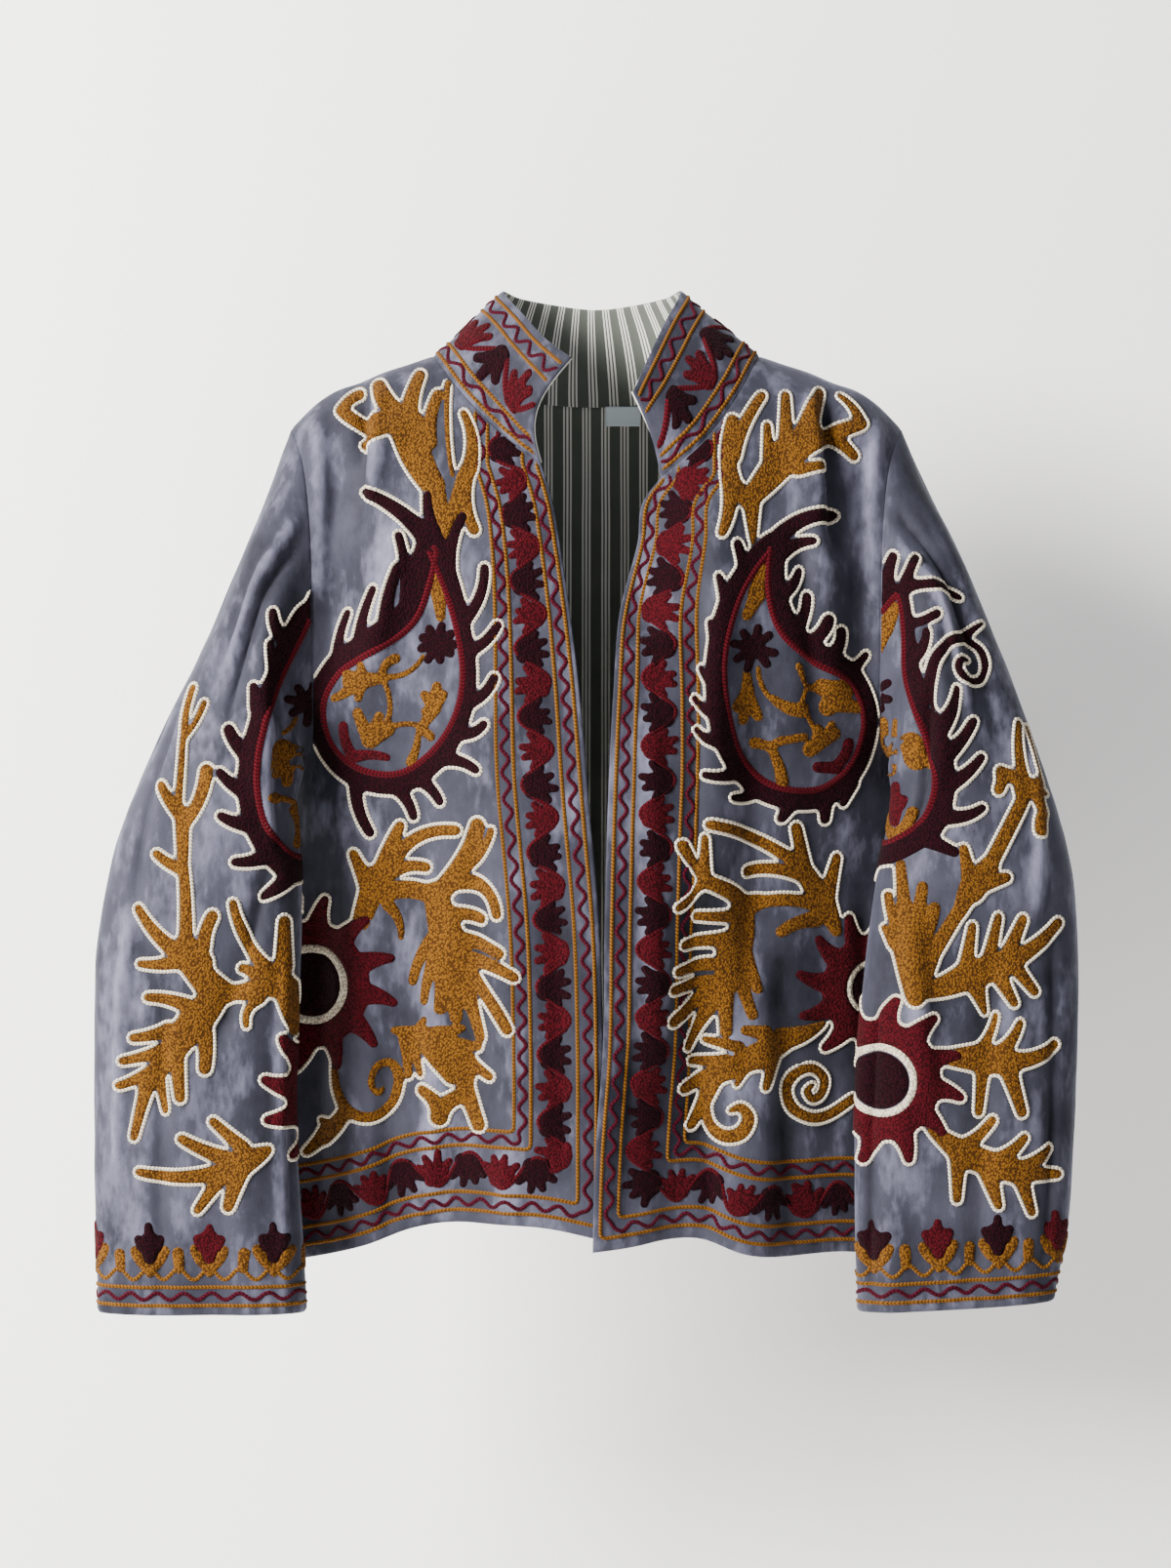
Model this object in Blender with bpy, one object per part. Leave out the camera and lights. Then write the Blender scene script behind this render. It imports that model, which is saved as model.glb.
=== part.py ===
"""Velvet jacket with a stand collar, open at the front, filled out as when worn.

Metres, +Z up, and the front faces -Y. The origin is the middle of the collar's top edge at the
back, where the jacket is held up. Left and right are the wearer's, so the right front has
negative x. Every cloth surface is worked out as a middle surface of points, and each piece is a
wall of even thickness around it. Neighbouring pieces share the normals of their seam, so that
their edges meet as a mitre with a small gap.
"""

import math
from collections import namedtuple

import bpy
import numpy as np

# Thicknesses and gaps
VELVET = 0.0022
LINING = 0.0010
LABEL = 0.0008
SEAM_GAP = 0.0003

# Heights that the whole jacket shares
UNDERARM_Z = -0.305
FRONT_ROUNDING = 0.050
BACK_ROUNDING = 0.020
ROUNDING_POWER = 0.65

# Rows and columns of the panels
LOW_ROWS = 10
ARM_ROWS = 12
NECK_ROWS = 5
FRONT_COLUMNS = 12
BACK_NECK_COLUMNS = 10
SLEEVE_ROWS = 18

ROWS = LOW_ROWS + ARM_ROWS
UNDERARM_SHARE = LOW_ROWS / ROWS
NECK_SHARE = (ROWS - NECK_ROWS) / ROWS

# One more row of cloth near the hem, near the shoulder and near each edge of the collar, where
# the linings end
HEM_TURN_SHARE = 0.022
SHOULDER_TURN_SHARE = 0.992
COLLAR_RISES = (0.0, 0.06, 0.27, 0.50, 0.74, 0.97, 1.0)

SIDES = {"right": -1.0, "left": 1.0}

# A direction that decides how each rim is split, so that both rims of a seam are split alike
RIM_ORDER = (1.0, 0.618, 0.300)

# The body's outline at each height: the half width, and the depth of the side, front and back
Section = namedtuple("Section", "z half_width side_y front_y front_power back_y back_power")
BODY = (
    Section(-0.660, 0.251, -0.020, -0.090, 1.22, 0.006, 1.9),
    Section(-0.600, 0.249, -0.020, -0.093, 1.22, 0.006, 1.9),
    Section(-0.500, 0.242, -0.020, -0.098, 1.20, 0.006, 1.9),
    Section(-0.440, 0.233, -0.020, -0.101, 1.20, 0.006, 1.9),
    Section(-0.390, 0.226, -0.022, -0.103, 1.25, 0.005, 2.0),
    Section(-0.345, 0.213, -0.027, -0.104, 1.40, 0.005, 2.1),
    Section(-0.305, 0.197, -0.036, -0.106, 1.50, 0.004, 2.3),
    Section(-0.280, 0.206, -0.041, -0.106, 1.70, 0.004, 2.4),
    Section(-0.250, 0.216, -0.045, -0.106, 1.95, 0.004, 2.4),
    Section(-0.200, 0.226, -0.047, -0.104, 2.30, 0.004, 2.5),
    Section(-0.120, 0.232, -0.050, -0.100, 2.50, 0.004, 2.5),
    Section(-0.020, 0.235, -0.050, -0.098, 2.50, 0.004, 2.5),
)

# The top of the shoulder, from the middle of the neck out past the sleeve head
Shoulder = namedtuple("Shoulder", "x z")
SHOULDER = (
    Shoulder(0.0000, -0.0335),
    Shoulder(0.0600, -0.0340),
    Shoulder(0.1085, -0.0380),
    Shoulder(0.1250, -0.0435),
    Shoulder(0.1420, -0.0490),
    Shoulder(0.1570, -0.0555),
    Shoulder(0.1760, -0.0625),
    Shoulder(0.1880, -0.0710),
    Shoulder(0.1980, -0.0810),
    Shoulder(0.2030, -0.0863),
    Shoulder(0.2500, -0.1450),
)
NECK_POINT_X = 0.1085
SHOULDER_TIP_X = 0.2030

# The front edges, from the hem up to the corner of the neck
Edge = namedtuple("Edge", "z x")
FRONT_EDGE = {
    "right": (
        Edge(-0.650, 0.0040),
        Edge(-0.565, 0.0044),
        Edge(-0.501, 0.0044),
        Edge(-0.414, 0.0018),
        Edge(-0.348, -0.0039),
        Edge(-0.252, -0.0123),
        Edge(-0.201, -0.0187),
        Edge(-0.167, -0.0238),
        Edge(-0.135, -0.0296),
        Edge(-0.1126, -0.0365),
    ),
    "left": (
        Edge(-0.650, -0.0030),
        Edge(-0.560, -0.0003),
        Edge(-0.501, 0.0040),
        Edge(-0.414, 0.0054),
        Edge(-0.340, 0.0074),
        Edge(-0.267, 0.0108),
        Edge(-0.208, 0.0159),
        Edge(-0.163, 0.0275),
        Edge(-0.135, 0.0318),
        Edge(-0.1210, 0.0425),
    ),
}

# The front neckline, from the corner at the front edge up to the shoulder
Neck = namedtuple("Neck", "share x z")
NECKLINE = {
    "right": (
        Neck(0.00, -0.0365, -0.1126),
        Neck(0.35, -0.0665, -0.0885),
        Neck(0.60, -0.0865, -0.0680),
        Neck(1.00, -0.1085, -0.0380),
    ),
    "left": (
        Neck(0.00, 0.0425, -0.1210),
        Neck(0.35, 0.0715, -0.0965),
        Neck(0.60, 0.0900, -0.0720),
        Neck(1.00, 0.1085, -0.0380),
    ),
}
BACK_NECK_DROP = 0.029

# The armhole round the shoulder: turn 0 is its top, 0.5 the front, 1 the underarm, 1.5 the back
Armhole = namedtuple("Armhole", "turn x z")
ARMHOLE = (
    Armhole(0.00, 0.2030, -0.0863),
    Armhole(0.15, 0.1945, -0.1120),
    Armhole(0.30, 0.1900, -0.1500),
    Armhole(0.45, 0.1885, -0.1920),
    Armhole(0.60, 0.1885, -0.2330),
    Armhole(0.75, 0.1885, -0.2700),
    Armhole(0.88, 0.1900, -0.2960),
    Armhole(1.00, 0.1970, -0.3050),
    Armhole(1.11, 0.1957, -0.2985),
    Armhole(1.25, 0.1980, -0.2730),
    Armhole(1.40, 0.2005, -0.2330),
    Armhole(1.55, 0.2000, -0.1880),
    Armhole(1.70, 0.1990, -0.1460),
    Armhole(1.85, 0.1995, -0.1100),
    Armhole(2.00, 0.2030, -0.0863),
)

# The hem of each front and of the back, by its place across
Hem = namedtuple("Hem", "x z")
FRONT_HEM = {
    "right": (
        Hem(-0.2600, -0.6450),
        Hem(-0.1940, -0.6410),
        Hem(-0.1530, -0.6300),
        Hem(-0.1250, -0.6195),
        Hem(-0.0950, -0.6145),
        Hem(-0.0650, -0.6150),
        Hem(-0.0350, -0.6165),
        Hem(0.0050, -0.6245),
    ),
    "left": (
        Hem(-0.0050, -0.6315),
        Hem(0.0250, -0.6280),
        Hem(0.0470, -0.6245),
        Hem(0.0695, -0.6245),
        Hem(0.0960, -0.6340),
        Hem(0.1700, -0.6365),
        Hem(0.2600, -0.6450),
    ),
}
BACK_HEM_Z = -0.6190
BACK_HEM_WAVE = 0.0020

# Drape folds of the body, as lines down its face: a height above 0 stands out, below 0 sinks in
Fold = namedtuple("Fold", "x_top z_top x_low z_low width height")
FRONT_FOLDS = {
    "right": (
        Fold(-0.167, -0.090, -0.176, -0.270, 0.014, -0.0110),
        Fold(-0.134, -0.075, -0.172, -0.190, 0.010, 0.0050),
        Fold(-0.112, -0.150, -0.120, -0.560, 0.024, -0.0050),
        Fold(-0.100, -0.520, -0.094, -0.760, 0.026, -0.0080),
        Fold(-0.160, -0.330, -0.150, -0.760, 0.022, 0.0080),
        Fold(-0.060, -0.160, -0.052, -0.620, 0.020, 0.0040),
    ),
    "left": (
        Fold(0.168, -0.090, 0.178, -0.280, 0.015, -0.0120),
        Fold(0.128, -0.070, 0.160, -0.210, 0.011, 0.0050),
        Fold(0.040, -0.100, 0.018, -0.240, 0.022, -0.0200),
        Fold(0.084, -0.080, 0.066, -0.470, 0.018, 0.0090),
        Fold(0.100, -0.200, 0.092, -0.620, 0.018, -0.0080),
        Fold(0.052, -0.480, 0.056, -0.760, 0.022, -0.0080),
        Fold(0.106, -0.420, 0.100, -0.760, 0.022, 0.0080),
        Fold(0.150, -0.300, 0.158, -0.700, 0.024, -0.0050),
    ),
}
BACK_FOLDS = (
    Fold(-0.150, -0.090, -0.165, -0.420, 0.022, -0.0070),
    Fold(0.150, -0.090, 0.162, -0.440, 0.022, -0.0070),
    Fold(-0.075, -0.330, -0.088, -0.760, 0.026, -0.0070),
    Fold(0.082, -0.360, 0.090, -0.760, 0.026, -0.0070),
    Fold(0.000, -0.420, 0.004, -0.760, 0.030, 0.0040),
)
FOLD_FADE = 0.22

# How far the fronts part in depth where they lap over each other towards the hem
LAP = {"right": 0.0045, "left": -0.0045}
LAP_TOP_Z = -0.350
LAP_FULL_Z = -0.440
LAP_WIDTH = 0.045

# Sleeves: where each ring's outer and inner end lie, and half its depth between them
Ring = namedtuple("Ring", "share outer_x outer_y outer_z inner_x inner_y inner_z half_depth")
SLEEVE = {
    "right": (
        Ring(0.00, 0.2030, -0.048, -0.0863, 0.1990, -0.040, -0.3050, 0.044),
        Ring(0.08, 0.2130, -0.052, -0.1180, 0.2040, -0.043, -0.3090, 0.044),
        Ring(0.16, 0.2300, -0.057, -0.1600, 0.2060, -0.050, -0.3150, 0.043),
        Ring(0.26, 0.2520, -0.065, -0.2150, 0.2040, -0.063, -0.3280, 0.039),
        Ring(0.36, 0.2780, -0.075, -0.2720, 0.1990, -0.078, -0.3520, 0.035),
        Ring(0.46, 0.3020, -0.083, -0.3270, 0.1950, -0.089, -0.3900, 0.032),
        Ring(0.56, 0.3190, -0.086, -0.3790, 0.1960, -0.091, -0.4460, 0.031),
        Ring(0.66, 0.3280, -0.088, -0.4350, 0.1975, -0.091, -0.4880, 0.030),
        Ring(0.76, 0.3290, -0.089, -0.4970, 0.1980, -0.091, -0.5330, 0.029),
        Ring(0.86, 0.3285, -0.090, -0.5600, 0.1965, -0.091, -0.5800, 0.027),
        Ring(0.94, 0.3280, -0.090, -0.6180, 0.1940, -0.091, -0.6270, 0.025),
        Ring(1.00, 0.3270, -0.090, -0.6700, 0.1920, -0.091, -0.6700, 0.023),
    ),
    "left": (
        Ring(0.00, 0.2030, -0.048, -0.0863, 0.1990, -0.040, -0.3050, 0.044),
        Ring(0.08, 0.2150, -0.052, -0.1180, 0.2040, -0.043, -0.3090, 0.044),
        Ring(0.16, 0.2330, -0.057, -0.1540, 0.2050, -0.050, -0.3150, 0.043),
        Ring(0.26, 0.2550, -0.065, -0.2060, 0.2010, -0.063, -0.3280, 0.039),
        Ring(0.36, 0.2780, -0.075, -0.2670, 0.1930, -0.078, -0.3520, 0.035),
        Ring(0.46, 0.2985, -0.084, -0.3280, 0.1840, -0.090, -0.3900, 0.032),
        Ring(0.56, 0.3110, -0.088, -0.3790, 0.1765, -0.094, -0.4460, 0.030),
        Ring(0.66, 0.3150, -0.091, -0.4350, 0.1735, -0.094, -0.4880, 0.030),
        Ring(0.76, 0.3145, -0.092, -0.4970, 0.1715, -0.094, -0.5330, 0.029),
        Ring(0.86, 0.3120, -0.093, -0.5600, 0.1707, -0.094, -0.5800, 0.027),
        Ring(0.94, 0.3075, -0.093, -0.6180, 0.1712, -0.094, -0.6270, 0.025),
        Ring(1.00, 0.2990, -0.093, -0.6620, 0.1725, -0.094, -0.6690, 0.023),
    ),
}
RING_POWER = 0.86
HEAD_BLEND = 0.16

# Where the front of the sleeve folds in over the body below the armhole
OVERHANG = 0.013
OVERHANG_TURN = 0.80
OVERHANG_TURN_WIDTH = 0.20
OVERHANG_SHARE = 0.20
OVERHANG_SHARE_WIDTH = 0.11

# Long soft folds down the sleeves, by turn round the sleeve and share of its length
SleeveFold = namedtuple("SleeveFold", "turn_top share_top turn_low share_low width height")
SLEEVE_FOLDS = {
    "right": (
        SleeveFold(0.42, 0.02, 0.66, 0.42, 0.060, 0.0060),
        SleeveFold(0.26, 0.10, 0.40, 0.55, 0.070, -0.0045),
        SleeveFold(0.60, 0.50, 0.52, 1.10, 0.080, -0.0040),
        SleeveFold(1.40, 0.10, 1.30, 0.80, 0.090, -0.0060),
        SleeveFold(1.70, 0.30, 1.62, 1.10, 0.080, 0.0040),
    ),
    "left": (
        SleeveFold(0.40, 0.02, 0.58, 0.40, 0.060, 0.0060),
        SleeveFold(0.22, 0.06, 0.34, 0.45, 0.060, -0.0050),
        SleeveFold(0.66, 0.45, 0.74, 1.10, 0.070, 0.0045),
        SleeveFold(1.42, 0.12, 1.30, 0.80, 0.090, -0.0060),
        SleeveFold(1.68, 0.30, 1.60, 1.10, 0.080, 0.0040),
    ),
}

# The collar's top edge, by its share from the right front corner round the back to the left one
CollarTop = namedtuple("CollarTop", "share x y z")
COLLAR_TOP = (
    CollarTop(0.000, -0.0167, -0.1030, -0.0445),
    CollarTop(0.095, -0.0342, -0.0850, -0.0292),
    CollarTop(0.180, -0.0473, -0.0680, -0.0130),
    CollarTop(0.275, -0.0620, -0.0460, 0.0062),
    CollarTop(0.360, -0.0500, -0.0190, 0.0050),
    CollarTop(0.430, -0.0260, -0.0040, 0.0025),
    CollarTop(0.500, 0.0000, 0.0000, 0.0000),
    CollarTop(0.570, 0.0250, -0.0040, 0.0025),
    CollarTop(0.640, 0.0460, -0.0190, 0.0050),
    CollarTop(0.725, 0.0565, -0.0460, 0.0062),
    CollarTop(0.820, 0.0448, -0.0640, -0.0181),
    CollarTop(0.910, 0.0328, -0.0800, -0.0452),
    CollarTop(1.000, 0.0243, -0.0940, -0.0658),
)
COLLAR_BULGE = 0.0035
COLLAR_END_BOW = 0.0110
COLLAR_END_WIDTH = 0.12

# The label under the back neck seam, as shares of the cell that it lies in
LABEL_RISE = (0.15, 0.92)
LABEL_RUN = (0.16, 0.74)

Finish = namedtuple("Finish", "red green blue roughness")
FINISHES = {
    "velvet": Finish(0.155, 0.175, 0.255, 0.75),
    "striped_lining": Finish(0.105, 0.115, 0.105, 0.80),
    "label_cloth": Finish(0.560, 0.640, 0.680, 0.70),
}


def through(rows, at):
    """Smooth values of a table's other columns at the places `at` of its first column."""
    table = np.array(rows, float)
    keys, values = table[:, 0], table[:, 1:]
    at = np.asarray(at, float)
    tangents = np.gradient(values, keys, axis=0)
    i = np.clip(np.searchsorted(keys, at, side="right") - 1, 0, len(keys) - 2)
    step = (keys[i + 1] - keys[i])[..., None]
    s = np.clip((at - keys[i])[..., None] / step, 0.0, 1.0)
    blend = s * s * (3 - 2 * s)
    curve = values[i] * (1 - blend) + values[i + 1] * blend
    curve += tangents[i] * step * s * (1 - s) ** 2 - tangents[i + 1] * step * (1 - s) * s**2
    return [curve[..., column] for column in range(values.shape[1])]


def smooth_step(value):
    """0 below 0, 1 above 1 and a soft S between."""
    s = np.clip(value, 0.0, 1.0)
    return s * s * (3 - 2 * s)


def fold_height(folds, x, z):
    """Sum of the folds' heights at x and z, each a soft ridge along its line."""
    total = np.zeros_like(np.asarray(x, float))
    for fold in folds:
        drop = (fold.z_top - z) / (fold.z_top - fold.z_low)
        line_x = fold.x_top + (fold.x_low - fold.x_top) * np.clip(drop, 0.0, 1.0)
        ends = smooth_step(drop / FOLD_FADE) * smooth_step((1 - drop) / FOLD_FADE)
        total += fold.height * ends * np.exp(-(((x - line_x) / fold.width) ** 2))
    return total


def shoulder_z(x):
    """Height of the shoulder line at x."""
    return through(SHOULDER, np.abs(x))[0]


def half_width(z):
    """Half the body's width at height z."""
    return through(BODY, z)[0]


def body_y(face, x, z):
    """Depth of the front ("right" or "left") or of the "back" at x and z, folds included.

    Each cross-section is a rounded curve from the side seam to the middle, and the front and the
    back come together at the shoulder line.
    """
    width, side, front, front_power, back, back_power = through(BODY, z)
    ratio = np.clip(np.abs(x) / width, 0.0, 1.0)
    power = back_power if face == "back" else front_power
    middle = back if face == "back" else front
    rounded = (1 - ratio**power) ** (1 / power)
    depth = side + (middle - side) * rounded
    below = np.maximum(shoulder_z(x) - z, 0.0)
    reach = BACK_ROUNDING if face == "back" else FRONT_ROUNDING
    rise = (1 - np.exp(-below / reach)) ** ROUNDING_POWER
    depth = side + (depth - side) * rise
    seam_fade = smooth_step((width - np.abs(x)) / 0.03) * smooth_step(below / 0.02)
    if face == "back":
        return depth + fold_height(BACK_FOLDS, x, z) * seam_fade
    edge_x = through(FRONT_EDGE[face], np.clip(z, FRONT_EDGE[face][0].z, FRONT_EDGE[face][-1].z))[0]
    lap = smooth_step((LAP_TOP_Z - z) / (LAP_TOP_Z - LAP_FULL_Z))
    lap = lap * np.exp(-(((x - edge_x) / LAP_WIDTH) ** 2)) * LAP[face]
    return depth - fold_height(FRONT_FOLDS[face], x, z) * seam_fade + lap


def armhole(side, turn):
    """Points of the armhole seam at turns from 0 to 2, the first half on the front."""
    x, z = through(ARMHOLE, turn)
    x = x * SIDES[side]
    y = np.where(turn <= 1.0, body_y(side, x, z), body_y("back", x, z))
    return np.stack([x, y, z], axis=-1)


def coons(low, top, first, last):
    """A grid of points between four borders that share their corners."""
    u = np.linspace(0.0, 1.0, low.shape[0])[None, :, None]
    v = np.linspace(0.0, 1.0, first.shape[0])[:, None, None]
    across = first[:, None] * (1 - u) + last[:, None] * u
    up = low[None] * (1 - v) + top[None] * v
    corners = (low[0] * (1 - u) + low[-1] * u) * (1 - v) + (top[0] * (1 - u) + top[-1] * u) * v
    return across + up - corners


def crowded(count):
    """Shares from 0 to 1 that draw closer towards 1, where the cloth turns to the side."""
    u = np.linspace(0.0, 1.0, count + 1)
    return 0.5 * u + 0.5 * np.sin(u * math.pi / 2)


def row_shares():
    """Shares of the rows of a panel from the hem, 0, to the shoulder, 1."""
    even = np.linspace(0.0, 1.0, ROWS + 1)
    return np.sort(np.append(even, [HEM_TURN_SHARE, SHOULDER_TURN_SHARE]))


def inner_border(side, v):
    """x and z of the front edge and the front neckline, from the hem up to the shoulder."""
    hem_x = through(FRONT_EDGE[side], FRONT_EDGE[side][0].z)[0]
    hem_z = float(through(FRONT_HEM[side], hem_x)[0])
    neck_z = FRONT_EDGE[side][-1].z
    z = np.interp(v, [0.0, UNDERARM_SHARE, NECK_SHARE], [hem_z, UNDERARM_Z, neck_z])
    x = through(FRONT_EDGE[side], z)[0]
    neck_x, above_z = through(NECKLINE[side], np.clip((v - NECK_SHARE) / (1 - NECK_SHARE), 0, 1))
    neck = v >= NECK_SHARE
    return np.stack([np.where(neck, neck_x, x), np.where(neck, above_z, z)], axis=-1)


def outer_border(side, v, hem_z, back=False):
    """x and z of the side seam and of the front or back armhole, from the hem up."""
    z = np.interp(v, [0.0, UNDERARM_SHARE], [hem_z, UNDERARM_Z])
    x = half_width(z)
    climb = np.clip((v - UNDERARM_SHARE) / (1 - UNDERARM_SHARE), 0, 1)
    arm_x, arm_z = through(ARMHOLE, 1 + climb if back else 1 - climb)
    arm = v >= UNDERARM_SHARE
    x = np.where(arm, arm_x, x) * SIDES[side]
    return np.stack([x, np.where(arm, arm_z, z)], axis=-1)


def side_hem_z(side):
    """Height of the hem at the side seam."""
    return float(through(FRONT_HEM[side], SIDES[side] * half_width(-0.645))[0])


def front_grid(side):
    """Middle surface of one front, in rows from the hem up and columns from the front edge out."""
    v = row_shares()
    c = crowded(FRONT_COLUMNS)
    first = inner_border(side, v)
    last = outer_border(side, v, side_hem_z(side))
    low_x = first[0, 0] + (last[0, 0] - first[0, 0]) * c
    low_z = through(FRONT_HEM[side], low_x)[0]
    low_z = low_z + (first[0, 1] - low_z[0]) * (1 - c) + (last[0, 1] - low_z[-1]) * c
    low = np.stack([low_x, low_z], axis=-1)
    top_x = SIDES[side] * (NECK_POINT_X + (SHOULDER_TIP_X - NECK_POINT_X) * c)
    top = np.stack([top_x, shoulder_z(top_x)], axis=-1)
    flat = coons(low, top, first, last)
    x, z = flat[..., 0], flat[..., 1]
    return np.stack([x, body_y(side, x, z), z], axis=-1)


def back_neck(count):
    """Back neckline from the right neck point to the left one."""
    even = np.linspace(-math.pi / 2, math.pi / 2, count + 1)
    angle = 0.5 * even + 0.25 * math.pi * np.sin(even)
    x = NECK_POINT_X * np.sin(angle)
    z = shoulder_z(NECK_POINT_X) - BACK_NECK_DROP * np.cos(angle) ** 1.3
    return np.stack([x, z], axis=-1)


def back_grid():
    """Middle surface of the back, in rows from the hem up and columns from right to left."""
    v = row_shares()
    first = outer_border("right", v, side_hem_z("right"), back=True)
    last = outer_border("left", v, side_hem_z("left"), back=True)
    c = crowded(FRONT_COLUMNS)
    shoulder_x = NECK_POINT_X + (SHOULDER_TIP_X - NECK_POINT_X) * c
    shoulder = np.stack([shoulder_x, shoulder_z(shoulder_x)], axis=-1)
    mirrored = shoulder[::-1] * (-1, 1)
    top = np.concatenate([mirrored, back_neck(BACK_NECK_COLUMNS)[1:-1], shoulder])
    share = np.linspace(0.0, 1.0, len(top))
    across = np.sin((share - 0.5) * math.pi * 0.9) / math.sin(0.45 * math.pi)
    low_x = across * last[0, 0]
    wave = BACK_HEM_WAVE * np.cos(across * 3.5 * math.pi)
    ends = np.abs(across) ** 4
    low_z = (BACK_HEM_Z + wave) * (1 - ends) + side_hem_z("left") * ends
    low_z[0], low_z[-1] = first[0, 1], last[0, 1]
    low = np.stack([low_x, low_z], axis=-1)
    flat = coons(low, top, first, last)
    x, z = flat[..., 0], flat[..., 1]
    return np.stack([x, body_y("back", x, z), z], axis=-1)


def sleeve_fold_height(side, turn, share):
    """Sum of the sleeve folds' heights at a turn and a share of the length."""
    total = np.zeros(np.broadcast(turn, share).shape)
    for fold in SLEEVE_FOLDS[side]:
        along = (share - fold.share_top) / (fold.share_low - fold.share_top)
        middle = fold.turn_top + (fold.turn_low - fold.turn_top) * np.clip(along, 0.0, 1.0)
        ends = smooth_step(along / FOLD_FADE) * smooth_step((1 - along) / FOLD_FADE)
        total = total + fold.height * ends * np.exp(-(((turn - middle) / fold.width) ** 2))
    return total


def sleeve_grid(side):
    """Middle surface of one sleeve: rings from the armhole to the cuff, closed round."""
    v = row_shares()
    climb = (v[v > UNDERARM_SHARE - 1e-9] - UNDERARM_SHARE) / (1 - UNDERARM_SHARE)
    turn = np.concatenate([1 - climb[::-1], 1 + climb[1:-1]])
    share = np.linspace(0.0, 1.0, SLEEVE_ROWS + 1) ** 0.92
    columns = [column[:, None] for column in through(SLEEVE[side], share)]
    outer, inner = np.stack(columns[:3], axis=-1), np.stack(columns[3:6], axis=-1)
    half_depth = columns[6]
    cosine, sine = np.cos(turn * math.pi)[None], np.sin(turn * math.pi)[None]
    wide = np.sign(cosine) * np.abs(cosine) ** RING_POWER
    deep = np.sign(sine) * np.abs(sine) ** RING_POWER
    bulge = 1 + sleeve_fold_height(side, turn[None], share[:, None]) / half_depth
    hanging = (outer + inner) / 2 + (outer - inner) / 2 * wide[..., None]
    hanging[..., 1] -= half_depth * deep * bulge
    near_turn = np.exp(-(((turn[None] - OVERHANG_TURN) / OVERHANG_TURN_WIDTH) ** 2))
    near_share = np.exp(-(((share[:, None] - OVERHANG_SHARE) / OVERHANG_SHARE_WIDTH) ** 2))
    hanging[..., 0] -= OVERHANG * near_turn * near_share
    hanging *= (SIDES[side], 1.0, 1.0)
    leave = smooth_step(share / HEAD_BLEND)[:, None, None]
    return armhole(side, turn)[None] * (1 - leave) + hanging * leave


def neck_seam():
    """Middle points of the neck seam, from the right front corner round the back to the left."""
    v = row_shares()
    v = v[v > NECK_SHARE - 1e-9]
    fronts = []
    for side in SIDES:
        flat = inner_border(side, v)
        y = body_y(side, flat[:, 0], flat[:, 1])
        fronts.append(np.stack([flat[:, 0], y, flat[:, 1]], axis=-1))
    flat = back_neck(BACK_NECK_COLUMNS)
    back_y = body_y("back", flat[:, 0], flat[:, 1])
    back = np.stack([flat[:, 0], back_y, flat[:, 1]], axis=-1)
    return np.concatenate([fronts[0], back[1:-1], fronts[1][::-1]])


def run_shares(points):
    """Share of the length of a line of points at each of its points."""
    run = np.concatenate([[0.0], np.cumsum(np.linalg.norm(np.diff(points, axis=0), axis=1))])
    return run / run[-1]


def collar_grid():
    """Middle surface of the collar: columns along the neck seam and rows from the seam up.

    The band rises from the seam to its top edge with a soft bulge, and its front ends bow
    backwards at half their height.
    """
    base = neck_seam()
    share = run_shares(base)
    top = np.stack(through(COLLAR_TOP, share), axis=-1)
    rise = np.array(COLLAR_RISES)[:, None, None]
    grid = base[None] * (1 - rise) + top[None] * rise
    belly = np.sin(rise * math.pi)
    middle = np.array([0.0, -0.045, 0.0])
    outwards = (grid - middle) * (1, 1, 0)
    outwards /= np.linalg.norm(outwards, axis=-1, keepdims=True)
    grid = grid + outwards * COLLAR_BULGE * belly
    right_end = smooth_step(1 - share / COLLAR_END_WIDTH)[None, :, None]
    return grid + belly * right_end * np.array([-COLLAR_END_BOW, 0.0, 0.0])


def corner_faces(grid, closed):
    """Corner numbers of a grid's quads, closed round its columns or open."""
    rows, columns = grid.shape[:2]
    numbers = np.arange(rows * columns).reshape(rows, columns)
    across = np.roll(numbers, -1, axis=1) if closed else numbers[:, 1:]
    here = numbers if closed else numbers[:, :-1]
    corners = [here[:-1], across[:-1], across[1:], here[1:]]
    return np.stack([corner.ravel() for corner in corners], axis=-1)


def unit(vectors):
    """Vectors of length 1 in the same directions."""
    return vectors / np.linalg.norm(vectors, axis=-1, keepdims=True)


def panel_normals(grid, closed, outwards):
    """Unit normals of one panel at each of its points."""
    points = grid.reshape(-1, 3)
    quads = corner_faces(grid, closed)
    a, b, c, d = (points[quads[:, i]] for i in range(4))
    area = np.cross(c - a, d - b) * outwards
    sums = np.zeros_like(points)
    for corner in range(4):
        np.add.at(sums, quads[:, corner], area)
    return unit(sums).reshape(grid.shape)


def seam_normals(grids):
    """Unit normals of every grid, shared where panels meet at a point.

    The body's panels are taken together first, so that a sleeve or the collar weighs as much as
    the whole body does where they meet.
    """
    groups = {}
    for grid, closed, outwards, group in grids.values():
        shares = groups.setdefault(group, {})
        normals = panel_normals(grid, closed, outwards).reshape(-1, 3)
        for key, normal in zip(seam_keys(grid), normals):
            shares[key] = shares.get(key, 0.0) + normal
    found = {}
    for shares in groups.values():
        for key, total in shares.items():
            found[key] = found.get(key, 0.0) + unit(total)
    return {
        name: unit(np.array([found[key] for key in seam_keys(grid)])).reshape(grid.shape)
        for name, (grid, *_rest) in grids.items()
    }


def seam_keys(points):
    """Rounded places, equal where two grids share a seam point."""
    return [tuple(p) for p in np.round(points.reshape(-1, 3), 6) + 0.0]


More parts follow.
